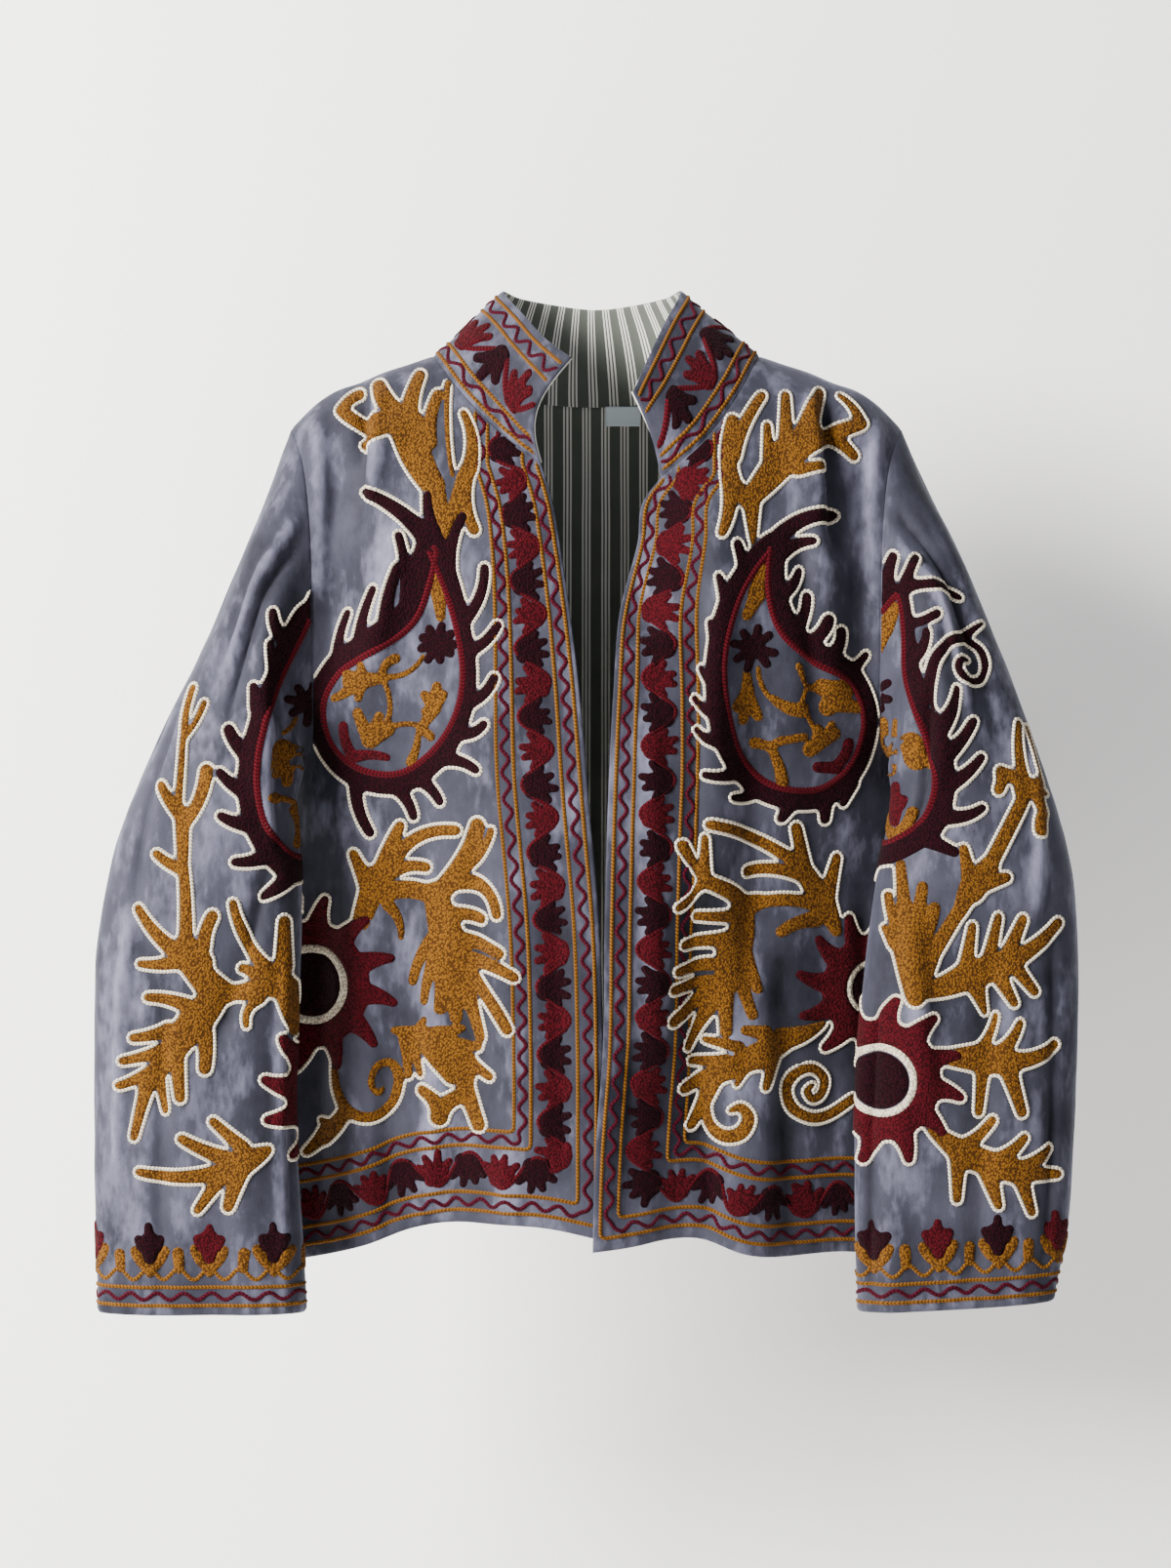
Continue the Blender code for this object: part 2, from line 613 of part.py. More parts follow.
def drawn_in(grid, closed, distance):
    """The grid with its open borders moved inwards along the cloth."""
    moved = grid.copy()

    def pull(edge, neighbour):
        way = neighbour - edge
        return way / np.linalg.norm(way, axis=-1, keepdims=True) * distance

    moved[0] += pull(grid[0], grid[1])
    moved[-1] += pull(grid[-1], grid[-2])
    if not closed:
        moved[:, 0] += pull(grid[:, 0], grid[:, 1])
        moved[:, -1] += pull(grid[:, -1], grid[:, -2])
    return moved


def halves(quads):
    """Two triangles for each quad, always split from its first corner."""
    return np.concatenate([quads[:, [0, 1, 2]], quads[:, [0, 2, 3]]])


def wall_object(name, outer, inner, closed, finish):
    """A closed wall between an outer and an inner grid of points, with its rims filled."""
    rows, columns = outer.shape[:2]
    half = rows * columns
    face = halves(corner_faces(outer, closed))
    numbers = np.arange(half).reshape(rows, columns)
    if closed:
        borders = [np.append(numbers[0], numbers[0, 0])[::-1], np.append(numbers[-1], numbers[-1, 0])]
    else:
        round_edge = [numbers[0, ::-1], numbers[1:, 0], numbers[-1, 1:], numbers[-2::-1, -1]]
        borders = [np.concatenate(round_edge)]
    points = np.concatenate([outer.reshape(-1, 3), inner.reshape(-1, 3)])
    rims = [np.stack([b[:-1], b[1:], b[1:] + half, b[:-1] + half], axis=-1) for b in borders]
    rims = np.concatenate(rims)
    order = points @ RIM_ORDER
    turned = order[rims[:, 0]] > order[rims[:, 1]]
    rims[turned] = np.roll(rims[turned], -1, axis=1)
    triangles = np.concatenate([face, face[:, ::-1] + half, halves(rims)])
    a, b, c = (points[triangles[:, i]] for i in range(3))
    if np.einsum("ij,ij->i", a, np.cross(b, c)).sum() < 0:
        triangles = triangles[:, ::-1]
    mesh = bpy.data.meshes.new(name)
    mesh.from_pydata(points.tolist(), [], triangles.tolist())
    mesh.shade_smooth()
    mesh.set_sharp_from_angle(angle=math.radians(50))
    mesh.materials.append(material(finish))
    piece = bpy.data.objects.new(name, mesh)
    bpy.context.scene.collection.objects.link(piece)
    return piece


def material(name):
    """The Principled material of a finish, made once."""
    found = bpy.data.materials.get(name)
    if found:
        return found
    made = bpy.data.materials.new(name)
    made.use_nodes = True
    shader = made.node_tree.nodes["Principled BSDF"]
    finish = FINISHES[name]
    shader.inputs["Base Color"].default_value = (finish.red, finish.green, finish.blue, 1.0)
    shader.inputs["Roughness"].default_value = finish.roughness
    shader.inputs["Metallic"].default_value = 0.0
    return made


def cloth_panel(name, grid, normals, closed):
    """A velvet wall centred on a middle surface, its borders drawn in by half the seam gap."""
    middle = drawn_in(grid, closed, SEAM_GAP / 2)
    half = normals * VELVET / 2
    return wall_object(name, middle + half, middle - half, closed, "velvet")


def lining_panel(name, grid, normals, depth, thickness, finish):
    """A wall inside a panel, made from its points, its outer face `depth` in from them."""
    return wall_object(name, grid - normals * depth, grid - normals * (depth + thickness), False, finish)


def label_corners(grid, rise, run):
    """Points of the cell left of the middle, under the shoulder row, at shares up and across."""
    middle = grid.shape[1] // 2
    cell = grid[-3:-1, middle : middle + 2]
    rise, run = np.array(rise)[:, None, None], np.array(run)[None, :, None]
    low = cell[0, 0] * (1 - run) + cell[0, 1] * run
    top = cell[1, 0] * (1 - run) + cell[1, 1] * run
    return low * (1 - rise) + top * rise


def build():
    """Removes what the scene holds and builds the jacket."""
    for leftover in list(bpy.data.objects):
        bpy.data.objects.remove(leftover)
    fronts = {side: front_grid(side) for side in SIDES}
    grids = {
        "front_right": (fronts["right"], False, -1.0, "body"),
        "front_left": (fronts["left"], False, 1.0, "body"),
        "back": (back_grid(), False, -1.0, "body"),
        "sleeve_right": (sleeve_grid("right"), True, -1.0, "sleeves"),
        "sleeve_left": (sleeve_grid("left"), True, 1.0, "sleeves"),
        "collar": (collar_grid(), False, -1.0, "collar"),
    }
    normals = seam_normals(grids)
    for name, (grid, closed, _outwards, _group) in grids.items():
        cloth_panel(name, grid, normals[name], closed)

    under_velvet = VELVET / 2 + SEAM_GAP
    under_lining = under_velvet + LINING + SEAM_GAP
    back, back_normals = grids["back"][0], normals["back"]
    inside = (slice(1, -1), slice(1, -1))
    for name, panel in (("back_lining", "back"), ("collar_lining", "collar")):
        grid, facing = grids[panel][0][inside], normals[panel][inside]
        lining_panel(name, grid, facing, under_velvet, LINING, "striped_lining")
    tag = label_corners(back, LABEL_RISE, LABEL_RUN)
    tag_normals = label_corners(back_normals, LABEL_RISE, LABEL_RUN)
    lining_panel("label", tag, tag_normals, under_lining, LABEL, "label_cloth")


build()
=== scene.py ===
"""Embroidered velvet jacket, open at the front, filled out as on a wearer.

Metres, +Z up, and the front faces -Y. The origin is the middle of the collar's top edge at the
back. Left and right are the wearer's, so the right front has negative x. The jacket's surfaces
follow the same tables as its solids, cut finer, with small creases added. The stitched pattern
is laid out flat, in metres of cloth, and placed on those surfaces.
"""

import logging
import math
from collections import namedtuple
from collections.abc import Callable
from dataclasses import dataclass
from enum import Enum

import bpy
import numpy as np
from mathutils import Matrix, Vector


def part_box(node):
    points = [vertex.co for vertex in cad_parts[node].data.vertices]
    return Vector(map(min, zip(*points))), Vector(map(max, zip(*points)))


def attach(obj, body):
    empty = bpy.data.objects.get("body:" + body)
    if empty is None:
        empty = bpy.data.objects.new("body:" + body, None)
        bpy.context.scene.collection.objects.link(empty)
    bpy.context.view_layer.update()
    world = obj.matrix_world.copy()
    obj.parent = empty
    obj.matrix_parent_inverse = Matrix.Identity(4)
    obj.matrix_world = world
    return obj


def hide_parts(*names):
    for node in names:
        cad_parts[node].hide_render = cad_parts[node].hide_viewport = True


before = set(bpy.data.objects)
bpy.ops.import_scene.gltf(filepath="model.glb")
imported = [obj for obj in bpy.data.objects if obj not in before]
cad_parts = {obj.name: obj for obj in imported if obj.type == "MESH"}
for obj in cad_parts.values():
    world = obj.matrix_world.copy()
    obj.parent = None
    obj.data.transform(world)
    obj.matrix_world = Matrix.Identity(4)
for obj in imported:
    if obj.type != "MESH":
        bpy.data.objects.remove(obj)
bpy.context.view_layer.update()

log = logging.getLogger("jacket")


def table(kind: type, *rows: tuple) -> tuple:
    """Makes a short table with named columns.

    Args:
        kind: The named tuple of one row.
        *rows: The values of each row.

    Returns:
        tuple: One named tuple for each row.
    """
    return tuple(kind(*row) for row in rows)


# Thicknesses of the cloths, and how softly the body's face rounds off below the shoulder
VELVET = 0.0022
LINING = 0.0010
LINING_GAP = 0.0002
LABEL = 0.0008
LABEL_GAP = 0.0006
LABEL_EDGE = 0.002
UNDERARM_Z = -0.305
FRONT_ROUNDING = 0.050
BACK_ROUNDING = 0.020
ROUNDING_POWER = 0.65

# Coarse rows and columns of the solids, and how many fine ones each of them gets here
LOW_ROWS = 10
ARM_ROWS = 12
NECK_ROWS = 5
FRONT_COLUMNS = 12
BACK_NECK_COLUMNS = 10
FINE_ROWS = 6
FINE_COLUMNS = 5
SLEEVE_ROWS = 130
COLLAR_ROWS = 26

ROWS = LOW_ROWS + ARM_ROWS
UNDERARM_SHARE = LOW_ROWS / ROWS
NECK_SHARE = (ROWS - NECK_ROWS) / ROWS
EDGE_SHARES = (0.0018, 0.0045, 0.0085)
SIDES = {"right": -1.0, "left": 1.0}

# The body's outline at each height: the half width, and the depth of the side, front and back
Section = namedtuple("Section", "z half_width side_y front_y front_power back_y back_power")
BODY = table(
    Section,
    (-0.660, 0.251, -0.020, -0.090, 1.22, 0.006, 1.9),
    (-0.600, 0.249, -0.020, -0.093, 1.22, 0.006, 1.9),
    (-0.500, 0.242, -0.020, -0.098, 1.20, 0.006, 1.9),
    (-0.440, 0.233, -0.020, -0.101, 1.20, 0.006, 1.9),
    (-0.390, 0.226, -0.022, -0.103, 1.25, 0.005, 2.0),
    (-0.345, 0.213, -0.027, -0.104, 1.40, 0.005, 2.1),
    (-0.305, 0.197, -0.036, -0.106, 1.50, 0.004, 2.3),
    (-0.280, 0.206, -0.041, -0.106, 1.70, 0.004, 2.4),
    (-0.250, 0.216, -0.045, -0.106, 1.95, 0.004, 2.4),
    (-0.200, 0.226, -0.047, -0.104, 2.30, 0.004, 2.5),
    (-0.120, 0.232, -0.050, -0.100, 2.50, 0.004, 2.5),
    (-0.020, 0.235, -0.050, -0.098, 2.50, 0.004, 2.5),
)

# The top of the shoulder, from the middle of the neck out past the sleeve head
Shoulder = namedtuple("Shoulder", "x z")
SHOULDER = table(
    Shoulder,
    (0.0000, -0.0335), (0.0600, -0.0340), (0.1085, -0.0380), (0.1250, -0.0435), (0.1420, -0.0490),
    (0.1570, -0.0555), (0.1760, -0.0625), (0.1880, -0.0710), (0.1980, -0.0810), (0.2030, -0.0863),
    (0.2500, -0.1450),
)
NECK_POINT_X = 0.1085
SHOULDER_TIP_X = 0.2030
SIDE_HEM_Z = -0.645

# The front edges, from the hem up to the corner of the neck
Edge = namedtuple("Edge", "z x")
FRONT_EDGE = {
    "right": table(
        Edge,
        (-0.650, 0.0040), (-0.565, 0.0044), (-0.501, 0.0044), (-0.414, 0.0018), (-0.348, -0.0039),
        (-0.252, -0.0123), (-0.201, -0.0187), (-0.167, -0.0238), (-0.135, -0.0296), (-0.1126, -0.0365),
    ),
    "left": table(
        Edge,
        (-0.650, -0.0030), (-0.560, -0.0003), (-0.501, 0.0040), (-0.414, 0.0054), (-0.340, 0.0074),
        (-0.267, 0.0108), (-0.208, 0.0159), (-0.163, 0.0275), (-0.135, 0.0318), (-0.1210, 0.0425),
    ),
}

# The front neckline, from the corner at the front edge up to the shoulder
Neck = namedtuple("Neck", "share x z")
NECKLINE = {
    "right": table(
        Neck,
        (0.00, -0.0365, -0.1126), (0.35, -0.0665, -0.0885), (0.60, -0.0865, -0.0680),
        (1.00, -0.1085, -0.0380),
    ),
    "left": table(
        Neck,
        (0.00, 0.0425, -0.1210), (0.35, 0.0715, -0.0965), (0.60, 0.0900, -0.0720),
        (1.00, 0.1085, -0.0380),
    ),
}
BACK_NECK_DROP = 0.029

# The armhole round the shoulder: turn 0 is its top, 0.5 the front, 1 the underarm, 1.5 the back
Armhole = namedtuple("Armhole", "turn x z")
ARMHOLE = table(
    Armhole,
    (0.00, 0.2030, -0.0863), (0.15, 0.1945, -0.1120), (0.30, 0.1900, -0.1500), (0.45, 0.1885, -0.1920),
    (0.60, 0.1885, -0.2330), (0.75, 0.1885, -0.2700), (0.88, 0.1900, -0.2960), (1.00, 0.1970, -0.3050),
    (1.11, 0.1957, -0.2985), (1.25, 0.1980, -0.2730), (1.40, 0.2005, -0.2330), (1.55, 0.2000, -0.1880),
    (1.70, 0.1990, -0.1460), (1.85, 0.1995, -0.1100), (2.00, 0.2030, -0.0863),
)

# The hem of each front and of the back, by its place across
Hem = namedtuple("Hem", "x z")
FRONT_HEM = {
    "right": table(
        Hem,
        (-0.2600, -0.6450), (-0.1940, -0.6410), (-0.1530, -0.6300), (-0.1250, -0.6195),
        (-0.0950, -0.6145), (-0.0650, -0.6150), (-0.0350, -0.6165), (0.0050, -0.6245),
    ),
    "left": table(
        Hem,
        (-0.0050, -0.6315), (0.0250, -0.6280), (0.0470, -0.6245), (0.0695, -0.6245), (0.0960, -0.6340),
        (0.1700, -0.6365), (0.2600, -0.6450),
    ),
}
BACK_HEM_Z = -0.6190
BACK_HEM_WAVE = 0.0020

# Drape folds of the body, as lines down its face: a height above 0 stands out, below 0 sinks in
Fold = namedtuple("Fold", "x_top z_top x_low z_low width height")
FRONT_FOLDS = {
    "right": table(
        Fold,
        (-0.167, -0.090, -0.176, -0.270, 0.014, -0.0110),
        (-0.134, -0.075, -0.172, -0.190, 0.010, 0.0050),
        (-0.112, -0.150, -0.120, -0.560, 0.024, -0.0050),
        (-0.100, -0.520, -0.094, -0.760, 0.026, -0.0080),
        (-0.160, -0.330, -0.150, -0.760, 0.022, 0.0080),
        (-0.060, -0.160, -0.052, -0.620, 0.020, 0.0040),
    ),
    "left": table(
        Fold,
        (0.168, -0.090, 0.178, -0.280, 0.015, -0.0120), (0.128, -0.070, 0.160, -0.210, 0.011, 0.0050),
        (0.040, -0.100, 0.018, -0.240, 0.022, -0.0200), (0.084, -0.080, 0.066, -0.470, 0.018, 0.0090),
        (0.100, -0.200, 0.092, -0.620, 0.018, -0.0080), (0.052, -0.480, 0.056, -0.760, 0.022, -0.0080),
        (0.106, -0.420, 0.100, -0.760, 0.022, 0.0080), (0.150, -0.300, 0.158, -0.700, 0.024, -0.0050),
    ),
}
BACK_FOLDS = table(
    Fold,
    (-0.150, -0.090, -0.165, -0.420, 0.022, -0.0070), (0.150, -0.090, 0.162, -0.440, 0.022, -0.0070),
    (-0.075, -0.330, -0.088, -0.760, 0.026, -0.0070), (0.082, -0.360, 0.090, -0.760, 0.026, -0.0070),
    (0.000, -0.420, 0.004, -0.760, 0.030, 0.0040),
)
FOLD_FADE = 0.22
# How far from the side and from the shoulder the folds fade out
SIDE_FADE = 0.03
SHOULDER_FADE = 0.02

# How far the fronts part in depth where they lap over each other towards the hem
LAP = {"right": 0.0045, "left": -0.0045}
LAP_TOP_Z = -0.350
LAP_FULL_Z = -0.440
LAP_WIDTH = 0.045

# Sleeves: where each ring's outer and inner end lie, and half its depth between them
Ring = namedtuple("Ring", "share outer_x outer_y outer_z inner_x inner_y inner_z half_depth")
SLEEVE = {
    "right": table(
        Ring,
        (0.00, 0.2030, -0.048, -0.0863, 0.1990, -0.040, -0.3050, 0.044),
        (0.08, 0.2130, -0.052, -0.1180, 0.2040, -0.043, -0.3090, 0.044),
        (0.16, 0.2300, -0.057, -0.1600, 0.2060, -0.050, -0.3150, 0.043),
        (0.26, 0.2520, -0.065, -0.2150, 0.2040, -0.063, -0.3280, 0.039),
        (0.36, 0.2780, -0.075, -0.2720, 0.1990, -0.078, -0.3520, 0.035),
        (0.46, 0.3020, -0.083, -0.3270, 0.1950, -0.089, -0.3900, 0.032),
        (0.56, 0.3190, -0.086, -0.3790, 0.1960, -0.091, -0.4460, 0.031),
        (0.66, 0.3280, -0.088, -0.4350, 0.1975, -0.091, -0.4880, 0.030),
        (0.76, 0.3290, -0.089, -0.4970, 0.1980, -0.091, -0.5330, 0.029),
        (0.86, 0.3285, -0.090, -0.5600, 0.1965, -0.091, -0.5800, 0.027),
        (0.94, 0.3280, -0.090, -0.6180, 0.1940, -0.091, -0.6270, 0.025),
        (1.00, 0.3270, -0.090, -0.6700, 0.1920, -0.091, -0.6700, 0.023),
    ),
    "left": table(
        Ring,
        (0.00, 0.2030, -0.048, -0.0863, 0.1990, -0.040, -0.3050, 0.044),
        (0.08, 0.2150, -0.052, -0.1180, 0.2040, -0.043, -0.3090, 0.044),
        (0.16, 0.2330, -0.057, -0.1540, 0.2050, -0.050, -0.3150, 0.043),
        (0.26, 0.2550, -0.065, -0.2060, 0.2010, -0.063, -0.3280, 0.039),
        (0.36, 0.2780, -0.075, -0.2670, 0.1930, -0.078, -0.3520, 0.035),
        (0.46, 0.2985, -0.084, -0.3280, 0.1840, -0.090, -0.3900, 0.032),
        (0.56, 0.3110, -0.088, -0.3790, 0.1765, -0.094, -0.4460, 0.030),
        (0.66, 0.3150, -0.091, -0.4350, 0.1735, -0.094, -0.4880, 0.030),
        (0.76, 0.3145, -0.092, -0.4970, 0.1715, -0.094, -0.5330, 0.029),
        (0.86, 0.3120, -0.093, -0.5600, 0.1707, -0.094, -0.5800, 0.027),
        (0.94, 0.3075, -0.093, -0.6180, 0.1712, -0.094, -0.6270, 0.025),
        (1.00, 0.2990, -0.093, -0.6620, 0.1725, -0.094, -0.6690, 0.023),
    ),
}
RING_POWER = 0.86
HEAD_BLEND = 0.16

# Where the front of the sleeve folds in over the body below the armhole
OVERHANG = 0.013
OVERHANG_TURN = 0.80
OVERHANG_TURN_WIDTH = 0.20
OVERHANG_SHARE = 0.20
OVERHANG_SHARE_WIDTH = 0.11

# Long soft folds down the sleeves, by turn round the sleeve and share of its length
SleeveFold = namedtuple("SleeveFold", "turn_top share_top turn_low share_low width height")
SLEEVE_FOLDS = {
    "right": table(
        SleeveFold,
        (0.42, 0.02, 0.66, 0.42, 0.060, 0.0060), (0.26, 0.10, 0.40, 0.55, 0.070, -0.0045),
        (0.60, 0.50, 0.52, 1.10, 0.080, -0.0040), (1.40, 0.10, 1.30, 0.80, 0.090, -0.0060),
        (1.70, 0.30, 1.62, 1.10, 0.080, 0.0040),
    ),
    "left": table(
        SleeveFold,
        (0.40, 0.02, 0.58, 0.40, 0.060, 0.0060), (0.22, 0.06, 0.34, 0.45, 0.060, -0.0050),
        (0.66, 0.45, 0.74, 1.10, 0.070, 0.0045), (1.42, 0.12, 1.30, 0.80, 0.090, -0.0060),
        (1.68, 0.30, 1.60, 1.10, 0.080, 0.0040),
    ),
}

# The collar's top edge, by its share from the right front corner round the back to the left one
CollarTop = namedtuple("CollarTop", "share x y z")
COLLAR_TOP = table(
    CollarTop,
    (0.000, -0.0167, -0.1030, -0.0445), (0.095, -0.0342, -0.0850, -0.0292),
    (0.180, -0.0473, -0.0680, -0.0130), (0.275, -0.0620, -0.0460, 0.0062),
    (0.360, -0.0500, -0.0190, 0.0050), (0.430, -0.0260, -0.0040, 0.0025),
    (0.500, 0.0000, 0.0000, 0.0000), (0.570, 0.0250, -0.0040, 0.0025), (0.640, 0.0460, -0.0190, 0.0050),
    (0.725, 0.0565, -0.0460, 0.0062), (0.820, 0.0448, -0.0640, -0.0181),
    (0.910, 0.0328, -0.0800, -0.0452), (1.000, 0.0243, -0.0940, -0.0658),
)
COLLAR_BULGE = 0.0035
COLLAR_END_BOW = 0.0110
COLLAR_END_WIDTH = 0.12
NECK_MIDDLE = (0.0, -0.045, 0.0)

# Small creases of the cloth, finer than the drape folds; a height above 0 stands out
FRONT_CREASES = {
    "right": table(
        Fold,
        (-0.152, -0.058, -0.158, -0.165, 0.0060, -0.0034),
        (-0.143, -0.056, -0.150, -0.140, 0.0050, 0.0022),
        (-0.184, -0.072, -0.187, -0.210, 0.0060, 0.0026),
        (-0.128, -0.140, -0.150, -0.260, 0.0080, 0.0022),
        (-0.080, -0.330, -0.082, -0.560, 0.0100, -0.0024),
        (-0.105, -0.420, -0.112, -0.640, 0.0090, 0.0022),
        (-0.026, -0.380, -0.022, -0.600, 0.0080, -0.0014),
        (-0.185, -0.380, -0.192, -0.660, 0.0100, -0.0024),
        (-0.140, -0.480, -0.136, -0.680, 0.0080, -0.0022),
        (-0.060, -0.560, -0.056, -0.700, 0.0070, 0.0020),
    ),
    "left": table(
        Fold,
        (0.150, -0.058, 0.160, -0.180, 0.0060, -0.0036), (0.140, -0.056, 0.149, -0.150, 0.0050, 0.0024),
        (0.185, -0.072, 0.188, -0.220, 0.0060, 0.0026), (0.132, -0.150, 0.148, -0.290, 0.0080, -0.0022),
        (0.066, -0.150, 0.067, -0.620, 0.0110, -0.0036), (0.090, -0.300, 0.088, -0.560, 0.0090, 0.0016),
        (0.034, -0.250, 0.038, -0.520, 0.0090, 0.0022), (0.122, -0.420, 0.130, -0.660, 0.0090, -0.0026),
        (0.178, -0.360, 0.190, -0.640, 0.0100, -0.0026),
        (0.074, -0.520, 0.076, -0.680, 0.0070, -0.0024),
        (0.022, -0.480, 0.020, -0.640, 0.0080, -0.0014),
    ),
}
CREASE_GAIN = 2.0
SLEEVE_CREASE_GAIN = 1.8
# Relief that counts as a full ridge or valley, also for the velvet's painted highlight on ridges and painted
# shade in valleys
RELIEF_RANGE = 0.0045
# Passes that even out the back's rows, how far each goes, and the share at the sides left as it is
ROW_SPREADS = 150
ROW_SPREAD_STEP = 0.9
ROW_SPREAD_SIDE = 0.12
# Distances from a seam over which the relief and its own normals come in
RELIEF_FADE = 0.018
NORMAL_FADE = 0.006
# The wall's half thickness at its very edge as a share, and how many thicknesses in it is full
EDGE_THINNING = 0.30
EDGE_REACH = 1.4
BACK_CREASES = table(
    Fold,
    (-0.120, -0.070, -0.135, -0.260, 0.0080, 0.0026), (0.118, -0.070, 0.140, -0.280, 0.0080, 0.0026),
    (-0.172, -0.110, -0.178, -0.300, 0.0070, -0.0030), (0.170, -0.110, 0.180, -0.300, 0.0070, -0.0030),
    (-0.040, -0.420, -0.046, -0.680, 0.0120, -0.0026), (0.046, -0.440, 0.050, -0.680, 0.0120, -0.0026),
    (-0.130, -0.440, -0.138, -0.680, 0.0110, 0.0028), (0.130, -0.440, 0.136, -0.680, 0.0110, 0.0028),
    (0.000, -0.110, 0.006, -0.380, 0.0150, -0.0016),
)
# Sleeve creases, by turn round the sleeve and share of its length
SLEEVE_CREASES = {
    "right": table(
        SleeveFold,
        (0.30, 0.02, 0.36, 0.30, 0.026, 0.0022), (0.36, 0.02, 0.45, 0.34, 0.022, -0.0020),
        (0.55, 0.20, 0.72, 0.44, 0.030, 0.0026), (0.14, 0.34, 0.30, 0.60, 0.030, -0.0020),
        (0.30, 0.55, 0.24, 0.92, 0.030, 0.0018), (0.72, 0.44, 0.56, 0.72, 0.034, -0.0022),
        (0.44, 0.62, 0.40, 1.04, 0.030, -0.0018), (0.84, 0.50, 0.80, 1.02, 0.034, 0.0022),
        (1.30, 0.16, 1.20, 0.50, 0.040, 0.0026), (1.56, 0.36, 1.50, 0.90, 0.040, -0.0026),
        (1.78, 0.20, 1.74, 0.80, 0.036, 0.0022),
    ),
    "left": table(
        SleeveFold,
        (0.28, 0.02, 0.33, 0.30, 0.026, -0.0022), (0.35, 0.02, 0.43, 0.36, 0.022, 0.0022),
        (0.52, 0.18, 0.70, 0.42, 0.030, -0.0024), (0.16, 0.38, 0.34, 0.62, 0.030, 0.0020),
        (0.26, 0.60, 0.22, 1.00, 0.030, -0.0018), (0.70, 0.48, 0.60, 0.80, 0.034, 0.0022),
        (0.46, 0.58, 0.48, 1.04, 0.030, -0.0020), (0.82, 0.56, 0.84, 1.02, 0.034, -0.0022),
        (1.28, 0.18, 1.18, 0.52, 0.040, 0.0026), (1.54, 0.38, 1.50, 0.92, 0.040, -0.0024),
        (1.80, 0.22, 1.74, 0.82, 0.036, 0.0022),
    ),
}
# Ripples beside the hem, and two layers of rumples as the size of a cell and a height
PUCKER_HEIGHT = 0.0007
PUCKER_LENGTH = 0.013
PUCKER_REACH = 0.012
RUMPLE_COARSE = (0.034, 0.0011)
RUMPLE_FINE = (0.012, 0.00035)
RUMPLE_CELLS = 64


def unit(vectors: np.ndarray) -> np.ndarray:
    """Gives vectors, along the last axis, a length of 1."""
    return vectors / np.maximum(np.linalg.norm(vectors, axis=-1, keepdims=True), 1e-12)


def run_along(points: np.ndarray, axis: int = 0) -> np.ndarray:
    """Measures the length up to each point of a line, or of each line of a grid.

    Args:
        points: Points, with their coordinates on the last axis.
        axis: The axis that the lines follow.

    Returns:
        np.ndarray: The lengths, from 0.
    """
    steps = np.linalg.norm(np.diff(points, axis=axis), axis=-1)
    start = np.zeros_like(np.take(points[..., 0], [0], axis))
    return np.concatenate([start, np.cumsum(steps, axis)], axis)


def grid_quads(grid: np.ndarray) -> np.ndarray:
    """Corner numbers of the faces between the points of a grid of numbers."""
    return np.stack([grid[:-1, :-1], grid[:-1, 1:], grid[1:, 1:], grid[1:, :-1]], -1).reshape(-1, 4)


def through(rows: tuple, at: np.ndarray) -> list:
    """Smooth values of a table's other columns between its rows.

    Args:
        rows: The table, its first column rising.
        at: Places along the first column.

    Returns:
        list: One array for each other column.
    """
    table = np.array(rows, float)
    keys, values = table[:, 0], table[:, 1:]
    at = np.asarray(at, float)
    tangents = np.gradient(values, keys, axis=0)
    i = np.clip(np.searchsorted(keys, at, side="right") - 1, 0, len(keys) - 2)
    step = (keys[i + 1] - keys[i])[..., None]
    s = np.clip((at - keys[i])[..., None] / step, 0.0, 1.0)
    blend = s * s * (3 - 2 * s)
    curve = values[i] * (1 - blend) + values[i + 1] * blend
    curve += tangents[i] * step * s * (1 - s) ** 2 - tangents[i + 1] * step * (1 - s) * s**2
    return [curve[..., column] for column in range(values.shape[1])]


def smooth_step(value: np.ndarray) -> np.ndarray:
    """0 below 0, 1 above 1 and a soft S between."""
    s = np.clip(value, 0.0, 1.0)
    return s * s * (3 - 2 * s)


def fold_height(folds: tuple, x: np.ndarray, z: np.ndarray) -> np.ndarray:
    """Sum of soft ridges: each one's height times exp(-(distance / width)^2), faded at its ends.

    Args:
        folds: Rows of Fold.
        x: Places across.
        z: Heights.

    Returns:
        np.ndarray: How far the cloth stands out at each place.
    """
    total = np.zeros_like(np.asarray(x, float))
    for x_top, z_top, x_low, z_low, width, height in folds:
        drop = (z_top - z) / (z_top - z_low)
        line_x = x_top + (x_low - x_top) * np.clip(drop, 0.0, 1.0)
        ends = smooth_step(drop / FOLD_FADE) * smooth_step((1 - drop) / FOLD_FADE)
        total += height * ends * np.exp(-(((x - line_x) / width) ** 2))
    return total


def rumple(u: np.ndarray, v: np.ndarray, seed: int) -> np.ndarray:
    """Uneven low relief of handled cloth: two layers of smoothed random values on a lattice.

    Args:
        u: Place across the cloth.
        v: Place down the cloth.
        seed: Seed of the random values.

    Returns:
        np.ndarray: Heights in metres, about 1 mm either way.
    """
    total = np.zeros_like(u)
    for cell, height in (RUMPLE_COARSE, RUMPLE_FINE):
        n = RUMPLE_CELLS
        values = np.random.default_rng(seed).uniform(-1.0, 1.0, (n, n))
        i, j = np.floor(u / cell).astype(int), np.floor(v / (2 * cell)).astype(int)
        s, t = smooth_step(u / cell - i), smooth_step(v / (2 * cell) - j)
        low = values[j % n, i % n] * (1 - s) + values[j % n, (i + 1) % n] * s
        high = values[(j + 1) % n, i % n] * (1 - s) + values[(j + 1) % n, (i + 1) % n] * s
        total += height * (low * (1 - t) + high * t)
    return total


def shoulder_z(x: np.ndarray) -> np.ndarray:
    """Height of the shoulder line at x."""
    return through(SHOULDER, np.abs(x))[0]


